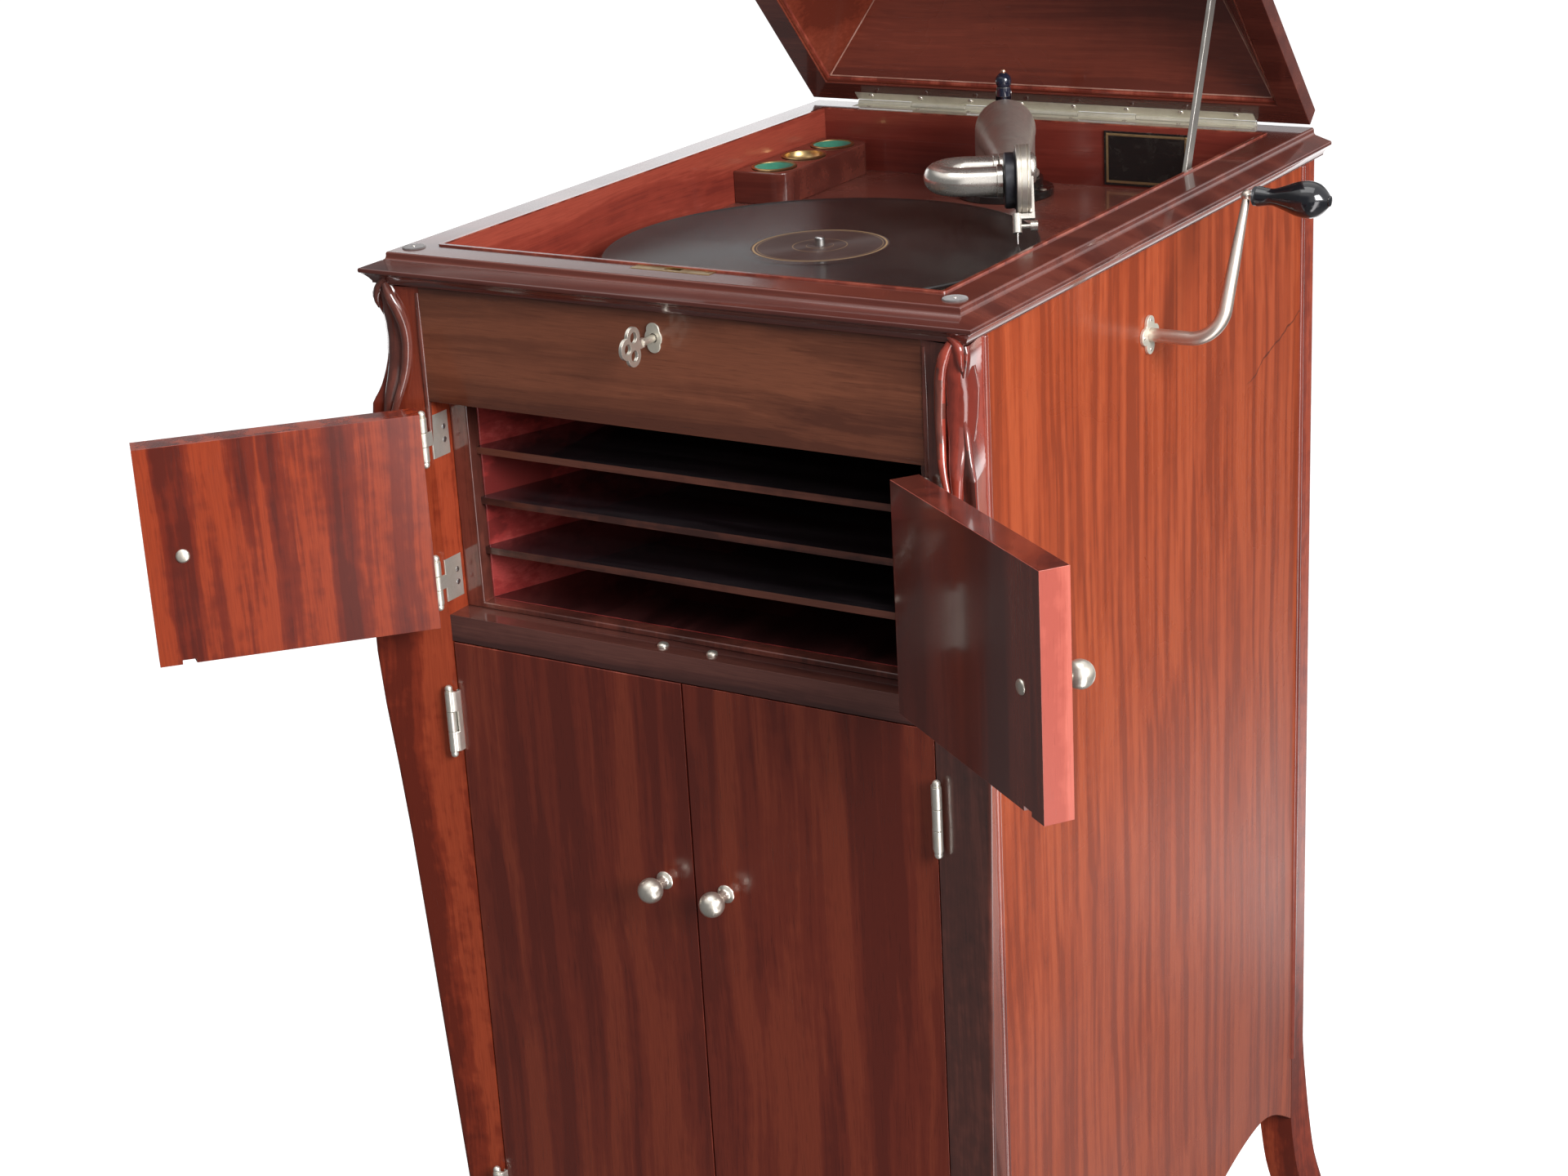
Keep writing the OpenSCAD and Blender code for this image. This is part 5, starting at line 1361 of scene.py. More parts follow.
@dataclass
class Carcass:
    """Panels, posts, shelves and horn woodwork of the cabinet."""

    body: str = "cabinet"
    bead_r: float = 2.6
    bead_arris: float = 0.6
    bead_let_in: float = 0.4
    bead_y: tuple[float, float] = (-252.0, 264.0)
    bead_z: tuple[float, float] = (216.0, 976.5)
    post_head_z: float = 862.0
    bulging_from: float = 200.0
    leaf_from: float = 208.0
    bulges: tuple[tuple[float, float], ...] = (
        (0.0, 35.0), (30.0, 24.0), (90.0, 9.0), (214.0, 1.0), (281.0, 5.0), (569.0, 16.1), (716.0, 23.7),
        (821.0, 20.4), (888.5, 13.5), (897.0, 12.6), (908.0, 7.8), (926.0, 3.5), (943.0, 2.0), (956.0, 3.0),
        (970.0, 7.5), (978.0, 6.0))
    rib: tuple[Point, ...] = (
        (980.0, 215.5, 2.6), (972.0, 211.5, 3.8), (961.0, 207.4, 4.4), (947.0, 205.0, 4.2),
        (931.0, 204.8, 3.8), (916.0, 206.6, 3.3), (901.0, 210.0, 2.8), (887.0, 214.2, 2.3),
        (872.0, 218.8, 1.4), (862.0, 221.0, 0.8))
    leaf: tuple[Point, ...] = (
        (983.0, 217.0, 5.0), (974.0, 215.8, 8.0), (962.0, 215.0, 10.4), (948.0, 214.6, 11.4),
        (932.0, 215.0, 10.6), (916.0, 216.4, 8.6), (900.0, 218.0, 6.2), (885.0, 219.6, 4.0),
        (870.0, 221.0, 1.8))
    ear: tuple[Point, ...] = (
        (984.0, 214.0, 1.6), (981.0, 217.5, 2.8), (976.0, 221.0, 3.4), (969.0, 222.4, 2.2),
        (963.0, 222.4, 1.0))
    edge: tuple[Point, ...] = (
        (974.0, 193.6, 1.6), (940.0, 193.6, 2.3), (900.0, 193.6, 2.3), (868.0, 193.6, 1.6))

    def build(self) -> None:
        """Build the woodwork."""
        self.boards()
        self.beads()
        for side in Side:
            self.scrolls(side)
        self.horn_woodwork()

    def boards(self) -> None:
        """Refine the boards that keep their CAD shapes."""
        plan = (
            ("side_panels", SIDE_VENEER, 0.8), ("back_panel", SIDE_VENEER, 0.8),
            ("bottom_board", INNER_WOOD, 0.8), ("corner_posts", POST_WOOD, 1.0),
            ("well_lining", WELL_WOOD, 0.4), ("motor_board", BOARD_WOOD, 0.5),
            ("fascia_panel", FASCIA_VENEER, 0.5), ("front_apron", DOOR_VENEER, 0.8))
        for node, finish, width in plan:
            piece = Piece.copied(node).paint(finish)
            if node == "corner_posts":
                self.dress_posts(piece)
            if node == "well_lining":
                piece.paint(WELL_BACK_WOOD).repaint(lambda face: abs(face.normal.y) > 0.7, 1)
            piece.bevelled(width).smooth(30.0).ride(self.body)
        Piece.copied("middle_shelf").paint(SILL_WOOD).bevelled(2.2, 4, 60.0).smooth().ride(self.body)

    def dress_posts(self, posts: Piece) -> None:
        """Paint the left and rear posts with a lit copy of the post wood, the left post's head with the door
        veneer and the right-facing faces of the heads with a lit leaf copy; the right front post keeps the
        darker, shaded post wood.

        Args:
            posts: The four corner posts.
        """
        posts.paint(LIT_POST_WOOD, DOOR_VENEER, LIT_LEAF_WOOD)
        head = at(0.0, 0.0, self.post_head_z).z
        # Left and rear posts take the lit copy; the right front post keeps the shaded post wood.
        posts.repaint(lambda face: face.center.x < 0.0 or face.center.y > 0.0, 1)
        posts.repaint(lambda face: face.center.x < 0.0 and face.center.y < 0.0 and face.center.z > head, 2)
        # Right-facing faces of the front post heads take the lighter, lit copy.
        posts.repaint(lambda face: face.normal.x > 0.4 and face.center.y < 0.0 and face.center.z > head, 3)

    def beads(self) -> None:
        """Lay slim beads where the panels meet the posts."""
        (z0, z1), r, arris = self.bead_z, self.bead_r, self.bead_arris
        tall, shoulder = z1 - z0, 0.8
        profile = [
            (0.0, 0.0), (r - arris, 0.0), (r, shoulder), (r, tall - shoulder), (r - arris, tall), (0.0, tall)]
        x = CASE_X - self.bead_let_in
        parts = [
            Piece.turned("bead", profile, (side.value * x, y, z0), steps=20)
            for side in Side for y in self.bead_y]
        Piece.joined("side_panel_beads", parts).smooth().paint(BEAD_WOOD).ride(self.body)

    def scrolls(self, side: Side) -> None:
        """Carve the leaf ribs at the head of a front post.

        Args:
            side: Side of the post.
        """
        parts = []
        for knots, sunk in ((self.rib, 0.2), (self.leaf, 0.86), (self.ear, 0.2), (self.edge, 0.4)):
            route = [(side.value * x, FRONT_Y - self.bulge(x, z) + sunk * r, z) for z, x, r in knots]
            parts.append(Piece.rib("rib", route, [radius for _, _, radius in knots]))
        carving = Piece.joined(f"{side.name.lower()}_post_carving", parts)
        carving.smooth(50.0).paint(POST_WOOD, LIT_LEAF_WOOD)
        # The right carving's outer ribs, on the side the light falls on, take the lighter, lit copy.
        if side is Side.RIGHT:
            carving.repaint(lambda face: cabinet_point(face.center)[0] > self.leaf_from, 1)
        carving.ride(self.body)

    def bulge(self, x: float, z: float) -> float:
        """Distance that a front post stands out from the front.

        Args:
            x: Distance from the cabinet's middle in millimetres.
            z: Height in millimetres.

        Returns:
            The distance in millimetres, which is 0 on the post's inner part.
        """
        if x <= self.bulging_from:
            return 0.0
        for (z0, b0), (z1, b1) in zip(self.bulges, self.bulges[1:]):
            if z <= z1:
                share = min(max((z - z0) / (z1 - z0), 0.0), 1.0)
                return b0 + (b1 - b0) * share
        return self.bulges[-1][1]

    def horn_woodwork(self) -> None:
        """Refine the horn, its mouth and the slats."""
        Piece.copied("horn_mouth_frame").paint(POST_WOOD).bevelled(1.2, 3).smooth(35.0).ride(self.body)
        slats = Piece.copied("horn_slats").paint(SLAT_WOOD, SLAT_EDGE)
        slats.repaint(facing(*FORWARD), 1).bevelled(1.0, 3, edge_finish=1).smooth(35.0).ride(self.body)
        # The horn's floor and ceiling are painted near black for the shade inside it; the side walls keep the
        # red horn wood.
        horn = Piece.copied("wooden_horn").paint(HORN_WOOD, SHADED_HORN_FLOOR)
        horn.repaint(lambda face: abs(face.normal.z) > 0.7, 1).bevelled(0.5).smooth(20.0).ride(self.body)
        Piece.copied("horn_elbow").paint(IRON).smooth(30.0).ride(self.body)


@dataclass
class TopFrame:
    """Moulded frame round the well, with its bead, felt pads, lock plate and escutcheons."""

    body: str = "cabinet"
    lip_x: float = 232.5
    lip_y: float = 292.0
    spare_y: float = 30.0
    core_z: tuple[float, float] = (-11.6, -10.4)
    well_x: float = 191.0
    well_y: tuple[float, float] = (-249.0, 257.0)
    lining_gap: float = 0.6
    bead_w: float = 3.4
    bead_round: float = 3.0
    pad_x: float = 206.5
    pad_y: float = -262.0
    hinge_cut: tuple[Point, Point] = ((-174.8, 273.9, -1.3), (174.8, 286.4, 5.0))
    lock_cut: tuple[Point, Point] = ((-30.2, -261.7, -1.5), (30.2, -249.3, 5.0))
    lock_body_cut: tuple[Point, Point] = ((-20.2, -260.7, -50.0), (20.2, -250.3, 5.0))
    lock_screw_x: float = 25.0
    guard_ring: float = 10.2
    guard_t: float = 2.3

    def build(self) -> None:
        """Build the frame and what is let into it."""
        self.frame()
        self.well_bead()
        self.bumpers()
        self.lock()
        self.escutcheons()

    def frame(self) -> None:
        """Mould the frame with insets and cut its openings."""
        (low, high), x = self.core_z, self.lip_x
        piece = Piece.block("top_frame_body", (-x, -self.lip_y, low), (x, BACK_Y + self.spare_y, high), RIM_Z)
        upper = arc(4, 1.5, 1.2, False) + [(10.2, 3.4)] + arc(5, 2.4, 3.2, True)
        upper += [(0.01, 1.0)] + arc(4, 1.6, 1.6, False)
        lower = arc(4, 1.2, 1.2, False) + [(1.6, 1.4), (1.9, 2.2), (1.7, 2.6), (0.01, 1.2), (5.5, 1.8)]
        piece.inset(facing(*UP), upper).inset(facing(*DOWN), lower)
        piece.sliced(at(0.0, BACK_Y, 0.0), (0.0, 1.0, 0.0))
        well = ((-self.well_x, self.well_y[0], -40.0), (self.well_x, self.well_y[1], 20.0))
        piece.cut([Piece.block("cut", *box, RIM_Z)
                   for box in (well, self.hinge_cut, self.lock_cut, self.lock_body_cut)])
        piece.bevelled(0.35, angle=60.0).smooth(38.0).paint(FRAME_WOOD, WELL_WOOD, WELL_BACK_WOOD)
        piece.repaint(lambda face: self.in_well(face) and abs(face.normal.x) > 0.7, 1)
        piece.repaint(lambda face: self.in_well(face) and abs(face.normal.y) > 0.7, 2)
        piece.ride(self.body, "top_frame")

    def in_well(self, face: object) -> bool:
        """Tell whether a face lines the well.

        Args:
            face: Polygon of the frame.

        Returns:
            True for a face of the well's walls.
        """
        x, y, _ = cabinet_point(face.center)
        gap = self.lining_gap
        return abs(x) < self.well_x + gap and self.well_y[0] - gap < y < self.well_y[1] + gap

    def well_block(self, name: str, margin: float, low: float, high: float) -> Piece:
        """Block over the well."""
        (y0, y1), x = self.well_y, self.well_x + margin
        return Piece.block(name, (-x, y0 - margin, low), (x, y1 + margin, high), RIM_Z)

    def well_bead(self) -> None:
        """Lay the thin raised bead round the well."""
        bead = self.well_block("well_bead", self.bead_w, -0.4, 1.1)
        bead.edit("edges", lambda edge: abs(edge.verts[0].co.z - edge.verts[1].co.z) > MM)
        bpy.ops.mesh.bevel(offset=self.bead_round * MM, segments=5)
        bpy.ops.object.mode_set(mode="OBJECT")
        bead.cut([self.well_block("bead cut", 0.1, -9.0, 9.0)])
        bead.bevelled(0.9, 3, 60.0).smooth().paint(BEAD_WOOD).ride(self.body)

    def bumpers(self) -> None:
        """Press two felt pads with soft edges and nail them down."""
        pad = [(0.0, -0.2), (8.0, -0.2)] + dome(0.7, 0.3, 0.7, QUARTER, 7.3) + [(4.0, 1.0), (0.0, 0.9)]
        nail = [(0.0, 0.2), (1.2, 0.2), (1.2, 1.1), (0.8, 1.4), (0.0, 1.5)]
        pads, nails = (
            [Piece.turned("bumper", profile, (side.value * self.pad_x, self.pad_y, RIM_Z), steps=steps)
             for side in Side]
            for profile, steps in ((pad, 40), (nail, 20)))
        Piece.joined("felt_bumpers", pads).smooth(60.0).paint(FELT_GREY).ride(self.body, "rim_bumpers")
        Piece.joined("bumper_nails", nails).smooth(60.0).paint(BRIGHT_NICKEL).ride(self.body)

    def lock(self) -> None:
        """Refine the lock plate and add its two screws."""
        Piece.copied("lid_lock").paint(BRASS).bevelled(0.25).smooth(35.0).ride(self.body)
        places = [(self.lock_screw_x * s, LOCK_SCREW_Y, RIM_Z - 0.3) for s in (-1, 1)]
        screws = Piece.screws("lock_plate_screws", places, UP, 2.4, 0.8, (-30.0, 30.0))
        screws.smooth().paint(BRASS).ride(self.body)

    def escutcheons(self) -> None:
        """Refine the escutcheons and screw down the crank's one."""
        Piece.copied("escutcheons").paint(WORN_NICKEL).bevelled(0.5, 3, 40.0).smooth().ride(self.body)
        turns = [math.pi / 2 * k for k in range(4)]
        r, x = self.guard_ring, CASE_X + self.guard_t
        places = [(x, CRANK_Y + r * math.cos(a), CRANK_Z + r * math.sin(a)) for a in turns]
        slots = [math.degrees(a) for a in turns]
        screws = Piece.screws("escutcheon_screws", places, RIGHTWARD, 1.6, 0.6, slots)
        screws.smooth().paint(BRIGHT_NICKEL).ride(self.body)


@dataclass
class Lid:
    """Hipped lid with its hollow, hinge and stay."""

    body: str = "lid"
    half_x: float = 218.0
    front_y: float = -278.0
    back_y: float = 284.0
    foot_z: float = 1002.0
    board_t: float = 13.0
    border: float = 24.0
    rebate_z: float = 6.5
    leaf_cut: tuple[Point, Point] = ((-174.9, 273.9, -1.2), (174.9, 290.0, 1.3))
    plate_cut: tuple[Point, Point] = ((-30.1, -261.6, -1.1), (30.1, -249.4, 1.3))
    ear_half: float = 7.4
    strip_foot: tuple[float, float] = (25.0, 4.8)
    strip_head: tuple[float, float] = (81.0, 73.8)
    leaf_screws: int = 8
    leaf_screw_x: tuple[float, float] = (-160.0, 45.7)
    catch_screw_x: float = 24.0

    def build(self) -> None:
        """Build the lid and its fittings."""
        self.hood()
        self.strips()
        self.fittings()

    def hood(self) -> None:
        """Raise the hood and hollow it with insets."""
        x, z = self.half_x, self.foot_z
        piece = Piece.block("lid_body", (-x, self.front_y, 0.0), (x, self.back_y, self.board_t), z)
        top = arc(4, 2.6, 2.6, False) + [(2.4, 0.6), (14.6, 0.4)] + arc(4, 3.2, 3.2, True) + [(60.0, 74.5)]
        under = [(0.6, 0.0), (self.border - 3.6, 0.0), (0.01, -1.6), (1.4, 0.0), (0.6, -0.6), (1.4, -0.6)]
        under += [(0.01, -1.8), (56.6, -70.0), (1.6, -0.6)]
        piece.inset(facing(*UP), top).inset(facing(*DOWN, share=0.99), under)
        ear_y = self.stay_y()
        ear_cut = ((176.0, ear_y - self.ear_half, -5.0), (184.0, ear_y + self.ear_half, 20.3))
        piece.cut([Piece.block("cut", *box, z) for box in (self.leaf_cut, self.plate_cut, ear_cut)])
        piece.paint(LID_WOOD, CEILING_WOOD, EDGE_WOOD)
        inner, step = 0.5 * self.border, self.border - 1.0
        rebate = at(0.0, 0.0, z + self.rebate_z).z
        piece.repaint(lambda face: self.inside(face.center, inner) and face.normal.z < 0.5, 1)
        piece.repaint(lambda face: self.inside(face.center, step) and face.center.z < rebate, 2)
        piece.placed(LID_TURN).bevelled(0.5, angle=25.0).smooth(30.0).ride(self.body, "lid")

    def strips(self) -> None:
        """Lay the pale joint strips inside the hood."""
        (in0, up0), (in1, up1) = self.strip_foot, self.strip_head
        x0, y0, z0 = self.half_x - in0, self.back_y - in0, self.foot_z + up0
        x1, y1, z1 = self.half_x - in1, self.back_y - in1, self.foot_z + up1
        lines = [
            Piece.rib("mitre", [(side.value * x0, y0, z0), (side.value * x1, y1, z1)], [0.7, 0.5])
            for side in Side]
        lines.append(Piece.rib("foot line", [(-x0, y0, z0), (x0, y0, z0)], [0.6, 0.6]))
        strips = Piece.joined("lid_joint_strips", lines).placed(LID_TURN)
        strips.smooth(60.0).paint(PALE_WOOD).ride(self.body)

    def stay_y(self) -> float:
        """Place of the stay's ear along the lid.

        Returns:
            The middle of the ear in cabinet millimetres, before the lid is opened.
        """
        low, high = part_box("lid_stay")
        top = Vector((low.x, (low.y + high.y) / 2, high.z))
        return cabinet_point(LID_TURN.inverted() @ top)[1]

    def inside(self, place: Vector, border: float) -> bool:
        """Tell whether a place is inside the lid's flat border."""
        x, y, _ = cabinet_point(place)
        return abs(x) < self.half_x - border and self.front_y + border < y < self.back_y - border

    def fittings(self) -> None:
        """Refine the hinge leaves and stay and screw them down."""
        for node, finish, body in (
                ("lid_fittings", WORN_NICKEL, self.body), ("lid_hinge_case_leaf", WORN_NICKEL, "cabinet"),
                ("lid_stay", STAY_STEEL, "lid_stay"), ("stay_guide", BRIGHT_NICKEL, "cabinet")):
            Piece.copied(node).paint(finish).bevelled(0.3).smooth(35.0).ride(body)
        first, pitch = self.leaf_screw_x
        xs = [first + pitch * i for i in range(self.leaf_screws)]
        sunk = self.foot_z - 0.1
        places, slots = [(x, LEAF_SCREW_Y, sunk) for x in xs], [15.0 + 40.0 * x for x in xs]
        upper = Piece.screws("lid_leaf_screws", places, DOWN, 2.3, 0.9, slots)
        upper.placed(LID_TURN).smooth().paint(BRIGHT_NICKEL).ride(self.body)
        places, slots = [(x, LEAF_SCREW_Y, RIM_Z - 0.1) for x in xs], [20.0 + 70.0 * x for x in xs]
        lower = Piece.screws("case_leaf_screws", places, UP, 2.3, 0.7, slots)
        lower.smooth().paint(BRIGHT_NICKEL).ride("cabinet")
        places = [(self.catch_screw_x * s, LOCK_SCREW_Y, sunk) for s in (-1, 1)]
        catch = Piece.screws("catch_screws", places, DOWN, 2.4, 0.7, (-35.0, 35.0))
        catch.placed(LID_TURN).smooth().paint(BRASS).ride(self.body)


@dataclass
class Door:
    """One door with its knob and hinge leaves."""

    side: Side
    upper: bool
    finish: Veneer
    angle: float = 0.0
    edge_x: float = 191.0
    knob_x: float = 25.0
    knob_z: tuple[float, float] = (573.0, 821.0)
    knob_r: float = 8.85
    knob_reach: float = 18.0

    @property
    def prefix(self) -> str:
        """Start of the names of the door's pieces."""
        return f"{'upper' if self.upper else 'lower'}_{self.side.name.lower()}"

    @property
    def body(self) -> str:
        """Name of the door's body."""
        return self.prefix + "_door"

    def build(self) -> None:
        """Build the door, its knob and its screws."""
        lit = self.side is Side.RIGHT
        board = Piece.copied(self.body).paint(self.finish, LIT_EDGE_WOOD if lit else EDGE_WOOD)
        if lit:
            way = hung(self.side, self.angle).to_3x3() @ Vector((-1.0, 0.0, 0.0))
            board.repaint(facing(*way), 1)
        board.bevelled(1.3, 3, 60.0, 1).smooth().ride(self.body)
        Piece.copied(self.prefix + "_hinge_leaves").paint(HINGE_NICKEL).bevelled(0.3).smooth().ride(self.body)
        self.knob()
        self.screws()

    def knob(self) -> None:
        """Turn the ball knob on its stem."""
        r, reach = self.knob_r, self.knob_reach
        head = ball(r, reach, r, range(28, 181, 8))
        stem = [
            (0.0, -21.3), (3.4, -21.2), (4.4, -20.7), (4.8, -20.0), (4.8, -19.55), (2.6, -19.5), (2.6, -0.1)]
        collar = [(6.4, 0.0), (6.6, 0.5), (6.1, 1.3), (4.6, 1.9), (3.7, 3.2), (3.5, 6.0), (3.9, 9.4)]
        profile = stem + collar + head[:-1] + [(0.0, reach + r)]
        foot = (self.knob_x, FRONT_Y, self.knob_z[self.upper])
        knob = Piece.turned(self.prefix + "_knob_body", profile, foot, FORWARD)
        knob.placed(hung(self.side, self.angle)).smooth(50.0).paint(NICKEL)
        knob.ride(self.body, self.prefix + "_knob")

    def screws(self) -> None:
        """Drive two screws into each of the door's leaves."""
        hinges = UPPER_HINGES if self.upper else LOWER_HINGES
        ends = [(h, s) for h in hinges.heights for s in (-1, 1)]
        places = [(self.edge_x - 0.1, FRONT_Y + 9.0, h + s * hinges.barrel * 0.32) for h, s in ends]
        screws = Piece.screws(
            self.prefix + "_leaf_screws", places, RIGHTWARD, 2.1, 0.8, [30.0 + h * s for h, s in ends])
        screws.placed(hung(self.side, self.angle)).smooth().paint(HINGE_NICKEL).ride(self.body)


@dataclass
class Doors:
    """Four doors, the hinge parts on the cabinet and the sill catches."""

    left_open: float = 133.5
    right_open: float = 144.5
    leaf_x: float = 192.1
    catch_x: float = 19.5
    catch_y: float = -270.0
    sill_z: float = 743.5

    def build(self) -> None:
        """Build the doors and the fixed hinge parts."""
        # The right upper door takes a darker, shaded copy of the left door's veneer.
        for side, angle, finish in ((Side.LEFT, self.left_open, UPPER_DOOR_VENEER),
                                    (Side.RIGHT, self.right_open, SHADED_RIGHT_DOOR_VENEER)):
            Door(side, True, finish, angle).build()
            Door(side, False, DOOR_VENEER).build()
        Piece.copied("door_hinge_case_leaves").paint(HINGE_NICKEL).bevelled(0.3).smooth().ride("cabinet")
        self.pins()
        screws = Piece.joined("case_leaf_screws_doors", [self.leaf_screws(side) for side in Side])
        screws.smooth().paint(STEEL).ride("cabinet")
        catches = Piece.joined("sill_catches", [self.catch(side) for side in Side])
        catches.smooth(50.0).paint(NICKEL).ride("cabinet", "sill_catch_pins")

    def leaf_screws(self, side: Side) -> Piece:
        """Drive two screws into each case leaf of one side.

        Args:
            side: Side of the cabinet.

        Returns:
            The screws.
        """
        pairs = (UPPER_HINGES, LOWER_HINGES)
        ends = [(h, s * pair.barrel) for pair in pairs for h in pair.heights for s in (-1, 1)]
        places = [(side.value * self.leaf_x, FRONT_Y + 13.0, h + end * 0.15) for h, end in ends]
        slots = [math.copysign(40.0, end) for _, end in ends]
        return Piece.screws("leaf screws", places, (-side.value, 0, 0), 2.1, 0.5, slots)

    def pins(self) -> None:
        """Turn the hinge pins with their ball ends."""
        parts = []
        for side in Side:
            for pair in (UPPER_HINGES, LOWER_HINGES):
                half = pair.barrel / 2
                end = [(1.5, half), (2.9, half + 0.15), (2.9, half + 0.7)]
                end += dome(2.8, half + 2.3, 2.8, (-0.6, -0.2, 0.2, 0.6, 1.0, 1.3)) + [(0.0, half + 5.1)]
                profile = [(r, -z) for r, z in reversed(end)] + end
                for h in pair.heights:
                    parts.append(Piece.turned("door pin", profile, (side.value * PIN_X, PIN_Y, h), steps=24))
        rod = [(0.0, -LEAF_HALF), (1.2, -LEAF_HALF), (1.2, LEAF_HALF), (0.0, LEAF_HALF)]
        parts.append(Piece.turned("lid pin", rod, (0.0, HINGE_Y, HINGE_Z), RIGHTWARD, 16))
        Piece.joined("hinge_pins_body", parts).smooth(50.0).paint(HINGE_NICKEL).ride("cabinet", "hinge_pins")

    def catch(self, side: Side) -> Piece:
        """Turn one domed catch pin.

        Args:
            side: Side of the sill.

        Returns:
            The pin.
        """
        head = dome(4.0, 0.6, 2.5, (0.0, 0.35, 0.7, 1.05, 1.35))
        profile = [(0.0, -8.0), (2.0, -8.0), (2.0, -0.1), (4.0, 0.0)] + head + [(0.0, 3.1)]
        foot = (side.value * self.catch_x, self.catch_y, self.sill_z)
        return Piece.turned("catch", profile, foot, steps=28)


@dataclass
class TurntableUnit:
    """Turntable with its felt, record and spindle."""

    body: str = "turntable"
    foot: Point = (0.0, SPINDLE_Y, 0.0)
    plate_r: float = 150.0
    plate_round: float = 1.6
    plate_bore: float = 3.7
    rim_depth: float = 14.0
    felt_t: float = 1.0
    felt_top: float = 972.4
    felt_bore: float = 3.8
    record_r: float = 152.4
    record_bore: float = 3.66
    record_top: float = 975.4
    spindle_r: float = 3.6
    spindle_stands: float = 6.0

    def build(self) -> None:
        """Build the turning parts."""
        self.plate()
        self.record()
        tip, r = self.record_top + self.spindle_stands, self.spindle_r
        root = self.record_top - 2.0
        point = [(0.0, root), (r, root)] + dome(r, tip - 2.4, 2.4, (0.0, 0.5, 1.0, 1.4)) + [(0.0, tip)]
        end = Piece.turned("spindle_tip", point, self.foot, steps=32)
        end.smooth(50.0).paint(BRIGHT_NICKEL).ride(self.body)
        Piece.copied("spindle").paint(STEEL).smooth(30.0).ride(self.body)

    def plate(self) -> None:
        """Turn the plate with its deep rim and lay its felt."""
        top, r, size, bore = self.felt_top - self.felt_t, self.plate_r, self.plate_round, self.plate_bore
        brim = top - self.rim_depth
        lip = [(r - 3.0, brim), (r, brim), (r, brim + 0.8)]
        rim = [(r - size * (1 - math.cos(a)), top - size + size * math.sin(a)) for a in QUARTER]
        under = [(bore, top - 12.0), (12.0, top - 12.0), (12.0, top - 3.0), (r - 3.0, top - 3.0)]
        plate = Piece.turned(
            "turntable_plate", under + lip + rim + [(bore, top), (bore, top - 12.0)], self.foot, steps=160)
        plate.smooth().paint(BRIGHT_NICKEL).ride(self.body, "turntable")
        hole, nap = self.felt_bore, top + self.felt_t
        cloth = [(hole, top), (149.0, top), (149.2, top + 0.5), (148.6, nap), (hole, nap), (hole, top)]
        Piece.turned("turntable_felt", cloth, self.foot, steps=128).smooth().paint(FELT_TABLE).ride(self.body)

    def record(self) -> None:
        """Press the record with its rolled edge, label and run-out."""
        z0, z1, r, bore = self.felt_top, self.record_top, self.record_r, self.record_bore
        turns = [math.radians(d) for d in range(-90, 91, 20)]
        edge = [(r - 1.2 + 1.2 * math.cos(a), (z0 + z1) / 2 + 1.5 * math.sin(a)) for a in turns]
        face = [
            (150.6, z1), (149.2, z1 - 0.35), (57.5, z1 - 0.35), (56.0, z1 - 0.1), (48.8, z1 - 0.1),
            (48.0, z1 - 0.25), (10.0, z1 - 0.25), (9.2, z1 - 0.1), (bore, z1 - 0.1), (bore, z0)]
        disc = Piece.turned("record_body", [(bore, z0), (150.6, z0)] + edge + face, self.foot, steps=180)
        disc.smooth().paint(SHELLAC).ride(self.body, "record")


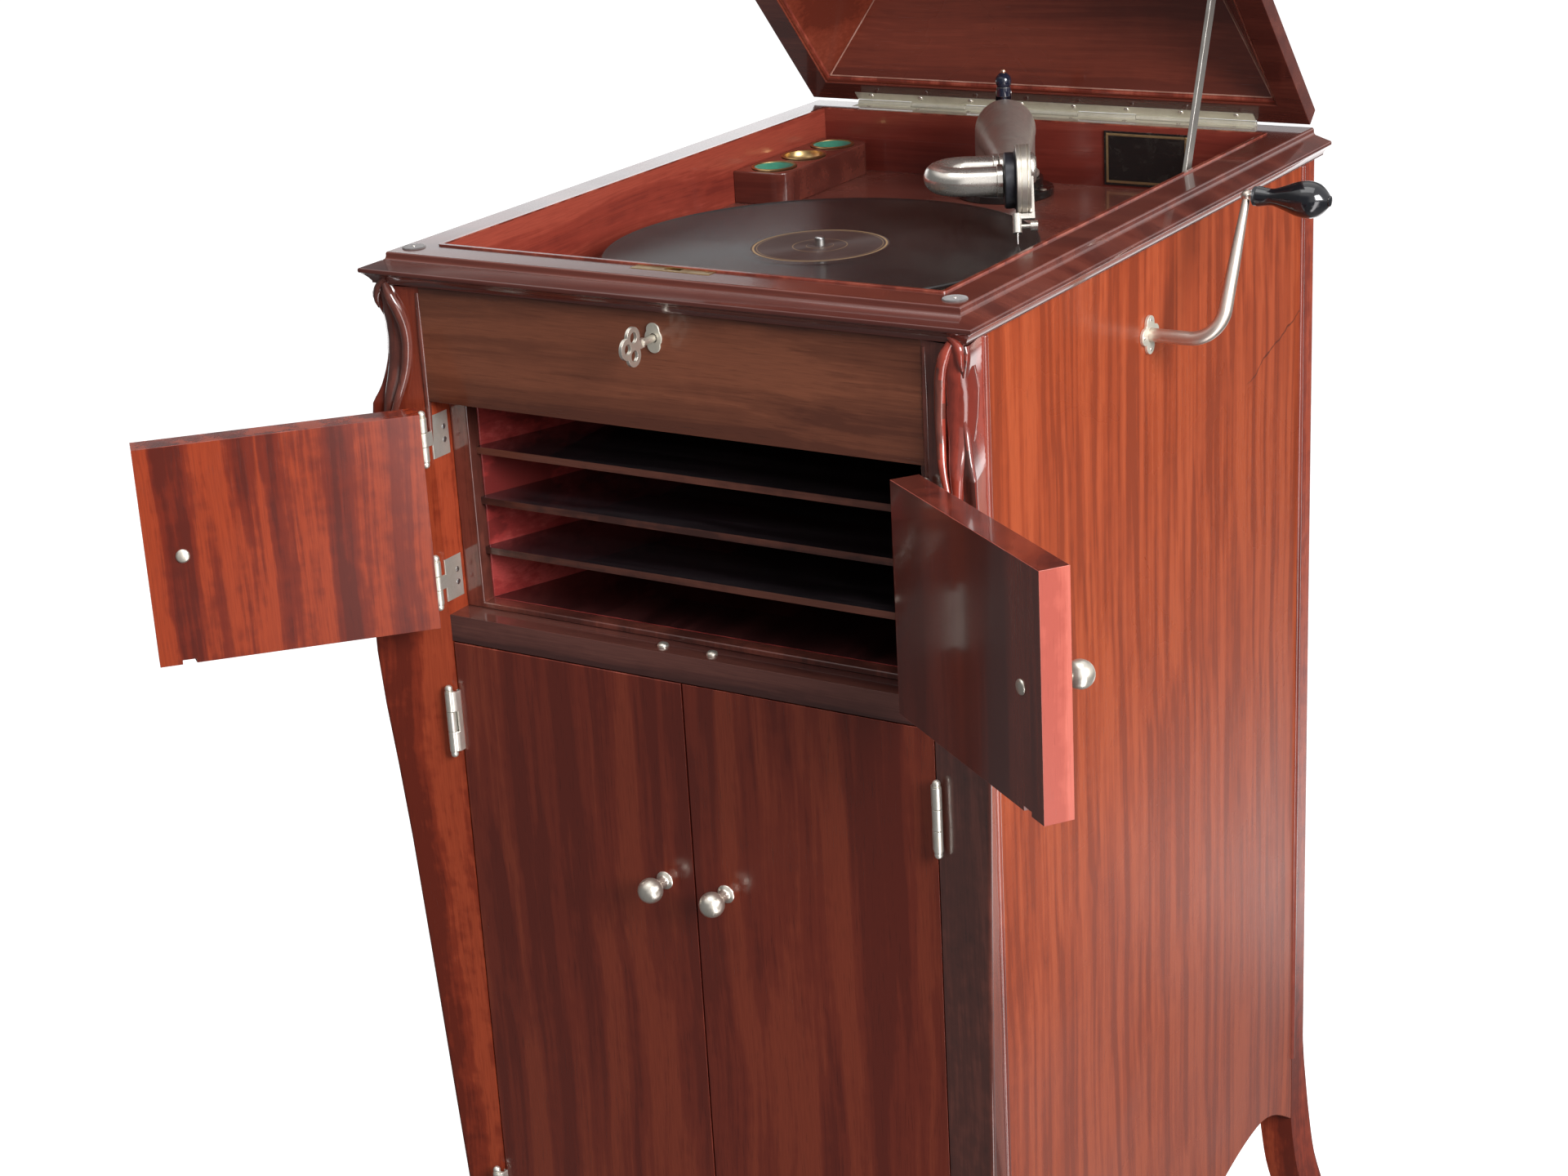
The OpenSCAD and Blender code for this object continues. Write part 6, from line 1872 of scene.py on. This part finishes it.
@dataclass
class ToneArmUnit:
    """Tapering arm, its base and bracket, the gooseneck and the sound box."""

    pivot_y: float = 207.0
    angle: float = -61.1
    board_top: float = 952.0
    base_top: float = 5.9
    arm_r: float = 23.0
    tip_r: float = 9.5
    length: float = 209.0
    climb: float = 2.5
    bend_r: float = 26.0
    bend_z: float = 981.0
    knuckle_r: float = 11.2
    knuckle_z: float = 1015.01
    neck_r: float = 10.0
    neck_span: float = 38.0
    neck_reach: float = 34.0
    box_r: float = 24.25
    box_t: float = 8.0
    needle_lean: float = 31.0

    def build(self) -> None:
        """Build the arm from its pivot to the needle."""
        self.base()
        self.arm()
        self.strap()
        self.gooseneck()
        self.sound_box()

    def axes(self) -> Matrix:
        """Axes of the tone arm: X along it, Z up its pivot."""
        turn = Matrix.Rotation(math.radians(self.angle), 4, "Z")
        return Matrix.Translation(at(0.0, self.pivot_y, 0.0)) @ turn

    def along(self, x: float, y: float, z: float) -> Vector:
        """Turn a place in the tone arm's own axes into the frame."""
        return self.axes() @ (Vector((x, y, z)) * MM)

    def way(self, x: float, y: float, z: float) -> Vector:
        """Turn a direction in the tone arm's own axes into the frame."""
        return self.axes().to_3x3() @ Vector((x, y, z))

    def base(self) -> None:
        """Refine the base ring and screw it down."""
        Piece.copied("tone_arm_base").paint(LACQUER).bevelled(0.8, 3).smooth().ride("cabinet")
        low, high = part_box("tone_arm_base")
        r = (high.x - low.x) / 2 / MM - 4.4
        top = self.board_top + self.base_top
        spots = [math.radians(self.angle + 60.0 + 120.0 * i) for i in range(3)]
        places = [(r * math.cos(a), self.pivot_y + r * math.sin(a), top) for a in spots]
        screws = Piece.screws("arm_base_screws", places, UP, 2.6, 1.0, (0.0, 40.0, 80.0))
        screws.smooth().paint(NICKEL).ride("cabinet")

    def arm(self) -> None:
        """Draw the barrel, elbow, taper and knuckle of the arm."""
        r, tip_r, z = self.arm_r, self.tip_r, self.knuckle_z
        tube = Tube(self.along(0.0, 0.0, self.board_top + 1.0), Vector(UP), r, 64)
        tube.shaped([(13.3, r), (0.01, r + 2.2), (0.8, r + 3.0), (2.4, r + 3.0), (0.8, r + 2.2), (0.01, r)])
        tube.run(self.bend_z - tube.place.z / MM, r)
        tube.bend(90.0 - self.climb, self.along(self.bend_r, 0.0, self.bend_z), self.way(0.0, 1.0, 0.0), 40)
        length = (self.along(self.length, 0.0, z) - tube.place).length / MM
        tube.run(length * 0.5, (r + tip_r) / 2)
        tube.run(length * 0.5 - 1.0, tip_r)
        arm = tube.done("arm_tube")
        k = self.knuckle_r
        knuckle = Tube(self.along(self.length, -10.0, z), self.way(0.0, 1.0, 0.0), k - 0.8, 48)
        knuckle.shaped([(0.8, k), (3.0, k), (0.4, k - 0.7), (0.9, k - 0.7), (0.4, k),
                        (17.0, k), (2.0, k - 1.0), (1.2, k - 3.4), (0.3, 1.0)])
        whole = Piece.joined("tone_arm_body", [arm, knuckle.done("knuckle")])
        mark, way = self.along(self.length - 14.0, 0.0, z), self.way(1.0, 0.0, 0.0)
        whole.smooth(45.0).paint(SATIN_NICKEL, BRIGHT_NICKEL)
        whole.repaint(lambda face: (face.center - mark).dot(way) > 0.0, 1).ride("tone_arm", "tone_arm")

    def strap(self) -> None:
        """Refine the bracket over the elbow and turn its pivot ball."""
        bracket = Piece.copied("tone_arm_bracket").paint(BLUED, NICKEL)
        bracket.bevelled(0.4, edge_finish=1).smooth().ride("cabinet")
        top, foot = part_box("tone_arm_bracket")[1].z / MM, (0.0, self.pivot_y, 0.0)
        cap = [(0.0, top - 11.2)] + ball(6.2, top - 5.0, 6.6, range(24, 160, 8))
        cap += [(2.2, top + 1.4), (0.0, top + 1.5)]
        Piece.turned("pivot_cap", cap, foot, steps=40).smooth(50.0).paint(BLUED).ride("cabinet")
        tip = dome(2.3, top + 2.2, 2.3, (-0.9, -0.4, 0.1, 0.6, 1.0, 1.35))
        tip = [(0.0, top + 0.4)] + tip + [(0.0, top + 4.5)]
        Piece.turned("pivot_tip", tip, foot, steps=32).smooth(50.0).paint(COPPER).ride("cabinet")

    def gooseneck(self) -> None:
        """Bend the gooseneck between the knuckle and the sound box."""
        r, z = self.neck_r, self.knuckle_z
        tube = Tube(self.along(self.length, -10.3, z), self.way(0.0, -1.0, 0.0), r, 48)
        tube.shaped([(0.6, r + 1.0), (3.0, r + 1.0), (0.6, r)])
        tube.run(self.neck_reach - 14.5)
        middle = self.along(self.length + self.neck_span / 2, -self.neck_reach, z)
        tube.bend(180.0, middle, self.way(0.0, 0.0, 1.0), 40)
        tube.run(self.neck_reach - 13.0)
        tube.shaped([(0.5, r + 1.2), (3.6, r + 1.2), (0.5, r)])
        tube.done("gooseneck_body").smooth(45.0).paint(BRIGHT_NICKEL).ride("gooseneck", "gooseneck")

    def box_middle(self) -> Vector:
        """Middle of the sound box's back, in the frame."""
        return self.along(self.length + self.neck_span, 0.0, self.knuckle_z)

    def box_turned(self, name: str, profile: Profile) -> Piece:
        """Spin a profile round the sound box's axis."""
        foot, axis = cabinet_point(self.box_middle()), tuple(self.way(0.0, 1.0, 0.0))
        return Piece.turned(name, profile, foot, axis, 96)

    def box_matrix(self) -> Matrix:
        """Axes of the sound box: Y square to the diaphragm, Z up the needle bar."""
        lean = Matrix.Rotation(math.radians(-self.needle_lean), 4, "Y")
        return Matrix.Translation(self.box_middle()) @ self.axes().to_3x3().to_4x4() @ lean

    def sound_box(self) -> None:
        """Build the sound box, its ring, diaphragm and needle bar."""
        r, t = self.box_r, self.box_t
        self.shell(r, t)
        self.ring(r, t)
        sheet = [(0.0, t - 3.0), (r - 3.6, t - 3.0), (r - 3.6, t - 2.4), (r - 8.0, t - 2.2), (3.0, t - 2.0)]
        sheet.append((0.0, t - 2.0))
        self.box_turned("diaphragm_sheet", sheet).smooth().paint(MICA).ride("gooseneck", "diaphragm")
        gasket = [(r - 5.4, t - 2.6), (r - 3.6, t - 2.6), (r - 3.6, t - 0.8), (r - 5.0, t - 0.8)]
        gasket.append(gasket[0])
        self.box_turned("rubber_gasket", gasket).smooth().paint(RUBBER).ride("gooseneck")
        Piece.copied("needle_bar").paint(BRIGHT_NICKEL).bevelled(0.25).smooth().ride("gooseneck")

    def shell(self, r: float, t: float) -> None:
        """Turn the rubber back and the nickel body of the sound box.

        Args:
            r: Radius of the box.
            t: Depth of its body.
        """
        back = r - 5.0
        flange = [
            (0.0, -8.0), (back - 1.2, -8.0), (back, -7.0), (back, -1.2), (back + 1.2, -0.2), (r - 0.8, 0.0),
            (r, 0.7), (r, 2.6), (r - 0.5, 2.9), (r - 0.5, 3.5), (r, 3.8), (r, t - 0.7), (r - 0.6, t),
            (r - 3.5, t), (r - 3.5, 2.0), (0.0, 2.0)]
        body = self.box_turned("sound_box_body", flange).smooth().paint(RUBBER, NICKEL)
        foot, way = self.box_middle(), self.way(0.0, 1.0, 0.0)
        body.repaint(lambda face: (face.center - foot).dot(way) > 0.1 * MM, 1).ride("gooseneck", "sound_box")

    def ring(self, r: float, t: float) -> None:
        """Turn the front ring, notch it for the needle bar and screw it on.

        Args:
            r: Radius of the box.
            t: Depth of its body.
        """
        profile = [
            (r - 5.0, t - 0.9), (r - 0.4, t), (r, t + 0.4), (r, t + 1.4), (r - 0.7, t + 2.0),
            (r - 3.9, t + 2.0), (r - 5.0, t + 1.2), (r - 5.0, t - 0.9)]
        band = self.box_turned("sound_box_ring_body", profile)
        notch = Piece.block("notch", (-3.0, t + 0.9, r - 4.2), (3.0, t + 4.0, r + 2.0))
        notch.placed(self.box_matrix() @ Matrix.Translation(-SHIFT))
        screws = self.ring_screws(r - 2.4, t + 2.0)
        band.cut([notch]).smooth().paint(NICKEL).ride("gooseneck", "sound_box_ring")
        screws.smooth().paint(STEEL).ride("gooseneck")

    def ring_screws(self, radius: float, front: float) -> Piece:
        """Make three small screws round the ring.

        Args:
            radius: Distance of the screws from the box's axis.
            front: Place of the ring's front along the axis.

        Returns:
            The screws.
        """
        slots = (40.0, 150.0, 270.0)
        turns = [math.radians(slot) for slot in slots]
        spots = [Vector((radius * math.cos(a), front, radius * math.sin(a))) * MM for a in turns]
        places = [cabinet_point(self.box_matrix() @ spot) for spot in spots]
        way = self.box_matrix().to_3x3() @ Vector((0.0, 1.0, 0.0))
        return Piece.screws("ring_screws", places, tuple(way), 1.3, 0.5, slots)


@dataclass
class WellFittings:
    """Needle cups, data plate, brake, speed knob and key."""

    cup_r: float = 18.0
    cup_top: float = 977.5
    cup_x: float = -167.5
    cup_y: float = 182.5
    cup_pitch: float = 45.0
    plate_line: tuple[float, float] = (1.5, 3.7)
    plate_pin: float = 2.6

    def build(self) -> None:
        """Build the small fittings of the well."""
        Piece.copied("needle_cup_block").paint(FRAME_WOOD).bevelled(1.2, 3).smooth().ride("cabinet")
        self.cups()
        self.plate()
        for node in ("brake_lever", "speed_knob"):
            Piece.copied(node).paint(NICKEL).bevelled(0.35).smooth().ride(node)
        Piece.copied("key").paint(NICKEL).bevelled(0.45, 3, 40.0).smooth(50.0).ride("key")

    def in_cup(self, name: str, profile: Profile, row: int) -> Piece:
        """Turn a piece in one of the three places for cups."""
        foot = (self.cup_x, self.cup_y + row * self.cup_pitch, self.cup_top)
        return Piece.turned(name, profile, foot, steps=64)

    def cups(self) -> None:
        """Spin the brass cups and press felt into two of them."""
        r = self.cup_r
        wall = [
            (0.0, -14.0), (r - 1.5, -14.0), (r - 1.5, -0.2), (r - 0.4, 0.0), (r, 0.5), (r - 0.5, 1.1),
            (r - 1.6, 1.3), (r - 2.6, 0.9)]
        profile = wall + ball(r - 2.6, 0.9, 11.2, range(82, 0, -9)) + [(0.0, -10.3)]
        cups = Piece.joined("needle_cups_body", [self.in_cup("cup", profile, row) for row in (-1, 0, 1)])
        cups.smooth(50.0).paint(BRASS).ride("cabinet", "needle_cups")
        nap = [(r - 2.2, 0.6), (r - 3.4, -0.2), (r - 9.0, -8.6), (0.0, -11.0)]
        lining = [(0.0, -11.0)] + ball(r - 2.9, 1.2, 10.9, range(9, 84, 9)) + nap
        for number, row in ((1, -1), (2, 1)):
            self.in_cup(f"cup_felt_{number}", lining, row).smooth(50.0).paint(FELT_GREEN).ride("cabinet")

    def plate(self) -> None:
        """Build the data plate with its gilt border and four pins."""
        low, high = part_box("data_plate")
        middle, half = (low + high) / 2, (high - low) / 2
        plate = Piece.copied("data_plate").paint(LACQUER, GILT)
        plate.inset(facing(*FORWARD), [(1.6, 0.0), (0.7, 0.18), (0.8, 0.0), (0.5, -0.18)])
        plate.repaint(lambda face: self.on_border(face, middle, half), 1).smooth(30.0).ride("cabinet")
        away = self.plate_pin * MM
        places = [cabinet_point(Vector((x, low.y + 0.1 * MM, z)))
                  for x in (low.x + away, high.x - away) for z in (low.z + away, high.z - away)]
        pins = Piece.screws("plate_pins", places, FORWARD, 1.1, 0.5, (0.0,) * 4)
        pins.smooth().paint(BRASS).ride("cabinet")

    def on_border(self, face: object, middle: Vector, half: Vector) -> bool:
        """Tell whether a face is on the plate's raised line.

        Args:
            face: Polygon to test.
            middle: Middle of the plate.
            half: Half of the plate's size.

        Returns:
            True for a face of the border.
        """
        near, far = self.plate_line
        away = min(half.x - abs(face.center.x - middle.x), half.z - abs(face.center.z - middle.z))
        return face.normal.y < -0.3 and near * MM < away < far * MM


@dataclass
class CrankUnit:
    """Winding crank with its black handle."""

    shaft_r: float = 4.75
    tip_r: float = 2.5
    corner_x: float = 272.5
    corner_r: float = 22.0
    throw: float = 100.0
    lean: float = 26.0
    rise: float = 1.0
    ball_r: float = 4.0
    handle_x: float = 278.5
    handle_l: float = 53.0
    handle_r: float = 12.5
    handle_bore: float = 3.2
    pinion_x: float = 180.0

    def build(self) -> None:
        """Build the crank and its handle."""
        self.arm()
        self.handle()

    def pin_place(self) -> Vector:
        """Place of the handle's pin at the end of the crank, in the frame."""
        lean, x = math.radians(self.lean), self.corner_x + self.rise
        return at(x, CRANK_Y + self.throw * math.sin(lean), CRANK_Z + self.throw * math.cos(lean))

    def bar(self) -> Piece:
        """Bend the shaft up to the pin of the handle.

        Returns:
            The bent bar.
        """
        ahead, end, corner = Vector(RIGHTWARD), self.pin_place(), at(self.corner_x, CRANK_Y, CRANK_Z)
        start = Vector((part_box("crank")[0].x, corner.y, corner.z))
        shaft = Tube(start, ahead, self.shaft_r, 40)
        way = (end - corner).normalized()
        angle, axis = ahead.angle(way), ahead.cross(way).normalized()
        radius = self.corner_r * MM
        shaft.run((corner.x - start.x - radius * math.tan(angle / 2)) / MM)
        shaft.bend(math.degrees(angle), shaft.place + axis.cross(ahead) * radius, axis, 16)
        rest = (end - shaft.place).dot(way) / MM
        shaft.run(rest * 0.35, self.shaft_r - 0.5)
        shaft.run(rest * 0.65 - 2.0, self.tip_r)
        return shaft.done("crank bar")

    def arm(self) -> None:
        """Build the bar, its ball and the pin, and keep the pinion of the CAD crank."""
        bar, place, r = self.bar(), cabinet_point(self.pin_place()), self.ball_r
        sphere = [(0.0, -r)] + ball(r, 0.0, r, range(10, 171, 10)) + [(0.0, r)]
        knob = Piece.turned("crank ball", sphere, place, RIGHTWARD, 40)
        end = self.handle_x + self.handle_l
        tail = end - place[0]
        rivet = [(0.0, 0.0), (3.0, 0.0), (3.0, tail + 0.3), (3.6, tail + 0.4), (3.6, tail + 0.8)]
        rivet += [(2.8, tail + 1.2), (0.0, tail + 1.4)]
        pin = Piece.turned("pin", rivet, place, RIGHTWARD, 32)
        teeth = Piece.copied("crank", "crank_pinion").paint(STEEL)
        teeth.sliced(at(self.pinion_x, 0.0, 0.0), RIGHTWARD).smooth(30.0).ride("crank")
        body = Piece.joined("crank_body", [bar, knob, pin]).smooth(50.0).paint(CRANK_STEEL, EBONY)
        body.repaint(lambda face: cabinet_point(face.center)[0] > end - 0.5, 1).ride("crank", "crank")

    def handle(self) -> None:
        """Turn the pear-shaped handle with a ribbed ferrule."""
        r, length, bore = self.handle_r, self.handle_l, self.handle_bore
        pear = []
        for i in range(8, 33):
            s = i / 32
            swell = 0.45 + 0.55 * max(math.sin(math.pi * (s ** 1.5 - 0.125) / 0.96), 0.0) ** 1.2
            pear.append((r * swell * math.sqrt(1.0 - (max(s - 0.85, 0.0) / 0.18) ** 2), s * length))
        waves = [(i, math.cos(math.radians(720.0 * i / 32))) for i in range(2, 8)]
        foot = [(r * (0.51 + 0.06 * wave), i / 32 * length) for i, wave in waves]
        grip = [(bore, 3.2)] + foot + pear + [(bore, length), (bore, 3.2)]
        place = (self.handle_x, *cabinet_point(self.pin_place())[1:])
        handle = Piece.turned("crank_handle_grip", grip, place, RIGHTWARD, 64)
        handle.smooth(50.0).paint(EBONY).ride("crank_handle", "crank_handle")
        ribs = [(6.0, 0.0), (6.5, 0.5), (6.0, 1.0), (6.5, 1.5), (6.0, 2.0), (6.5, 2.5), (6.2, 3.2)]
        ribs = [(bore, 0.0)] + ribs + [(bore, 3.2), (bore, 0.0)]
        ferrule = Piece.turned("handle_ferrule", ribs, place, RIGHTWARD, 48)
        ferrule.smooth(50.0).paint(RUBBER).ride("crank_handle")


@dataclass
class Motor:
    """Spring motor under the board, kept in its CAD shapes with smoothed faces."""

    def build(self) -> None:
        """Dress the motor's parts."""
        plan = (
            ("motor_frame", IRON, "cabinet"), ("winding_arbor", STEEL, "winding_arbor"),
            ("spring_barrel", STEEL, "spring_barrel"), ("governor", BRASS, "governor"))
        for node, finish, body in plan:
            Piece.copied(node).paint(finish).smooth(30.0).ride(body)


@dataclass(frozen=True)
class Lamp:
    """Soft rectangular lamp, with its sizes in metres and its power in watts."""

    name: str
    place: Point
    size: tuple[float, float]
    power: float
    aim: Point

    def build(self) -> None:
        """Hang the lamp and turn it to its aim."""
        data = bpy.data.lights.new(self.name, "AREA")
        data.shape = "RECTANGLE"
        data.size, data.size_y = self.size
        data.energy = self.power
        made = bpy.data.objects.new(self.name, data)
        bpy.context.scene.collection.objects.link(made)
        made.location = self.place
        made.rotation_euler = (Vector(self.aim) - Vector(self.place)).to_track_quat("-Z", "Y").to_euler()


@dataclass
class Studio:
    """White studio: floor, soft lamps, world and camera."""

    bounce: float = 0.25
    ambient: float = 0.35
    floor_size: float = 60.0
    white: Colour = (1.0, 1.0, 1.0)
    paper: Colour = (0.80, 0.79, 0.79)
    lamps: tuple[Lamp, ...] = (
        Lamp("key lamp", (2.35, -0.95, 1.95), (1.3, 1.3), 104.0, (0.1, 0.0, 0.75)),
        Lamp("top lamp", (0.1, -0.5, 3.3), (2.2, 1.6), 24.0, (0.0, 0.0, 0.9)))
    camera_turn: Point = (32.43, 20.01, -3.17)
    camera_place: Point = (0.9735, -1.638, 1.415)
    sensor: float = 36.0
    lens: float = 63.99

    def build(self) -> None:
        """Set up the studio."""
        self.floor()
        for lamp in self.lamps:
            lamp.build()
        self.world()
        self.camera()

    def floor(self) -> None:
        """Lay a floor that stays white where no shadow falls."""
        bpy.ops.mesh.primitive_plane_add(size=self.floor_size)
        floor = bpy.context.object
        floor.name = "studio_floor"
        made = bpy.data.materials.new("studio floor")
        tree = Tree.bare(made)
        path = tree.add("LightPath").outputs
        paper = tree.add("BsdfDiffuse", {"Color": opaque(self.paper)}).outputs[0]
        seen = tree.add("AddShader", {0: paper, 1: tree.emission(self.white, 0.82)}).outputs[0]
        bounce = tree.emission((1.0, 0.98, 0.97), self.bounce)
        shine = tree.emission((1.0, 0.97, 0.97), self.floor_shine(tree))
        first = tree.add("MixShader", {0: path["Is Glossy Ray"], 1: bounce, 2: shine}).outputs[0]
        last = tree.add("MixShader", {0: path["Is Camera Ray"], 1: first, 2: seen}).outputs[0]
        tree.add("OutputMaterial", {"Surface": last})
        floor.data.materials.append(made)

    def floor_shine(self, tree: Tree) -> Socket:
        """Brightness of the floor in the polish: a panel, a strip behind and a window.

        Args:
            tree: Tree of the floor's material.

        Returns:
            The strength of the floor's glow where it is mirrored.
        """
        place = tree.place()
        parts = tree.axes(place)
        away = tree.add("VectorMath", {0: place}, operation="LENGTH").outputs["Value"]
        near = tree.ramp(away, 2.1, 0.8)
        beside = tree.times(tree.ramp(parts["X"], 0.1, 0.3), tree.ramp(parts["Y"], -0.5, 0.0))
        behind = tree.times(tree.ramp(parts["Y"], 0.7, 1.1), tree.ramp(parts["X"], 0.9, 0.4))
        patch = tree.add("VectorMath", {0: place, 1: (1.7, -1.2, 0.0)}, operation="DISTANCE").outputs["Value"]
        slope = tree.math("ABSOLUTE", tree.plus(tree.math("DIVIDE", parts["Y"], parts["X"]), 0.72))
        wedge = tree.times(tree.ramp(slope, 0.34, 0.16), tree.ramp(parts["X"], 0.4, 0.6))
        window = tree.math("MAXIMUM", tree.times(wedge, 5.0), tree.ramp(patch, 0.9, 0.4, 0.0, 1.5))
        panel = tree.times(tree.times(near, beside), 0.17)
        return tree.plus(tree.plus(panel, tree.times(behind, 1.4)), tree.plus(window, 0.14))

    def world(self) -> None:
        """Fill the world with even light and a softer reflection."""
        world = bpy.data.worlds.new("studio")
        tree = Tree.bare(world)
        path = tree.add("LightPath").outputs
        way = tree.axes(tree.add("TexCoord").outputs["Generated"])
        glow = tree.mix(tree.ramp(way["Z"], 0.4, 0.75), opaque((0.14, 0.14, 0.14)), opaque((1.0, 0.98, 0.96)))
        glow = tree.mix(tree.ramp(way["X"], 0.05, 0.4), glow, opaque((0.75, 0.73, 0.72)))
        sweep = tree.times(tree.ramp(way["Y"], 0.15, 0.7), tree.ramp(way["Z"], -0.05, 0.06))
        sweep = tree.times(sweep, tree.ramp(way["Z"], 0.235, 0.205))
        sweep = tree.times(sweep, tree.ramp(way["X"], -0.36, -0.52, 0.30, 1.0))
        glow = tree.mix(sweep, glow, opaque((1.5, 1.5, 1.52)))
        seen, soft, shine = (
            tree.add("Background", {"Color": colour, "Strength": strength}).outputs[0]
            for colour, strength in (
                (opaque(self.white), 1.0), (opaque(self.white), self.ambient), (glow, 1.0)))
        direct = tree.math("MAXIMUM", path["Is Camera Ray"], path["Is Transmission Ray"])
        first = tree.add("MixShader", {0: path["Is Glossy Ray"], 1: soft, 2: shine}).outputs[0]
        last = tree.add("MixShader", {0: direct, 1: first, 2: seen}).outputs[0]
        tree.add("OutputWorld", {"Surface": last})
        bpy.context.scene.world = world

    def camera(self) -> None:
        """Set the camera that the photograph was taken with."""
        azimuth, elevation, roll = (math.radians(a) for a in self.camera_turn)
        across, away = math.sin(azimuth) * math.cos(elevation), -math.cos(azimuth) * math.cos(elevation)
        back = Vector((across, away, math.sin(elevation)))
        level = Vector((math.cos(azimuth), math.sin(azimuth), 0.0))
        upward = back.cross(level)
        right = math.cos(roll) * level + math.sin(roll) * upward
        up = math.cos(roll) * upward - math.sin(roll) * level
        data = bpy.data.cameras.new("camera")
        data.sensor_width = self.sensor
        data.lens = self.lens
        made = bpy.data.objects.new("camera", data)
        bpy.context.scene.collection.objects.link(made)
        axes = Matrix((right, up, back)).transposed().to_4x4()
        made.matrix_world = Matrix.Translation(self.camera_place) @ axes
        bpy.context.scene.camera = made


def main() -> None:
    """Build the gramophone and its studio."""
    logging.basicConfig(level=logging.INFO, format="%(name)s: %(message)s")
    bpy.context.scene.view_settings.view_transform = "Standard"
    units = (
        Carcass(), TopFrame(), Lid(), Doors(), TurntableUnit(), ToneArmUnit(), WellFittings(), CrankUnit(),
        Motor())
    for unit in units:
        unit.build()
        LOG.info("built %s", type(unit).__name__)
    Studio().build()


if __name__ == "__main__":
    main()
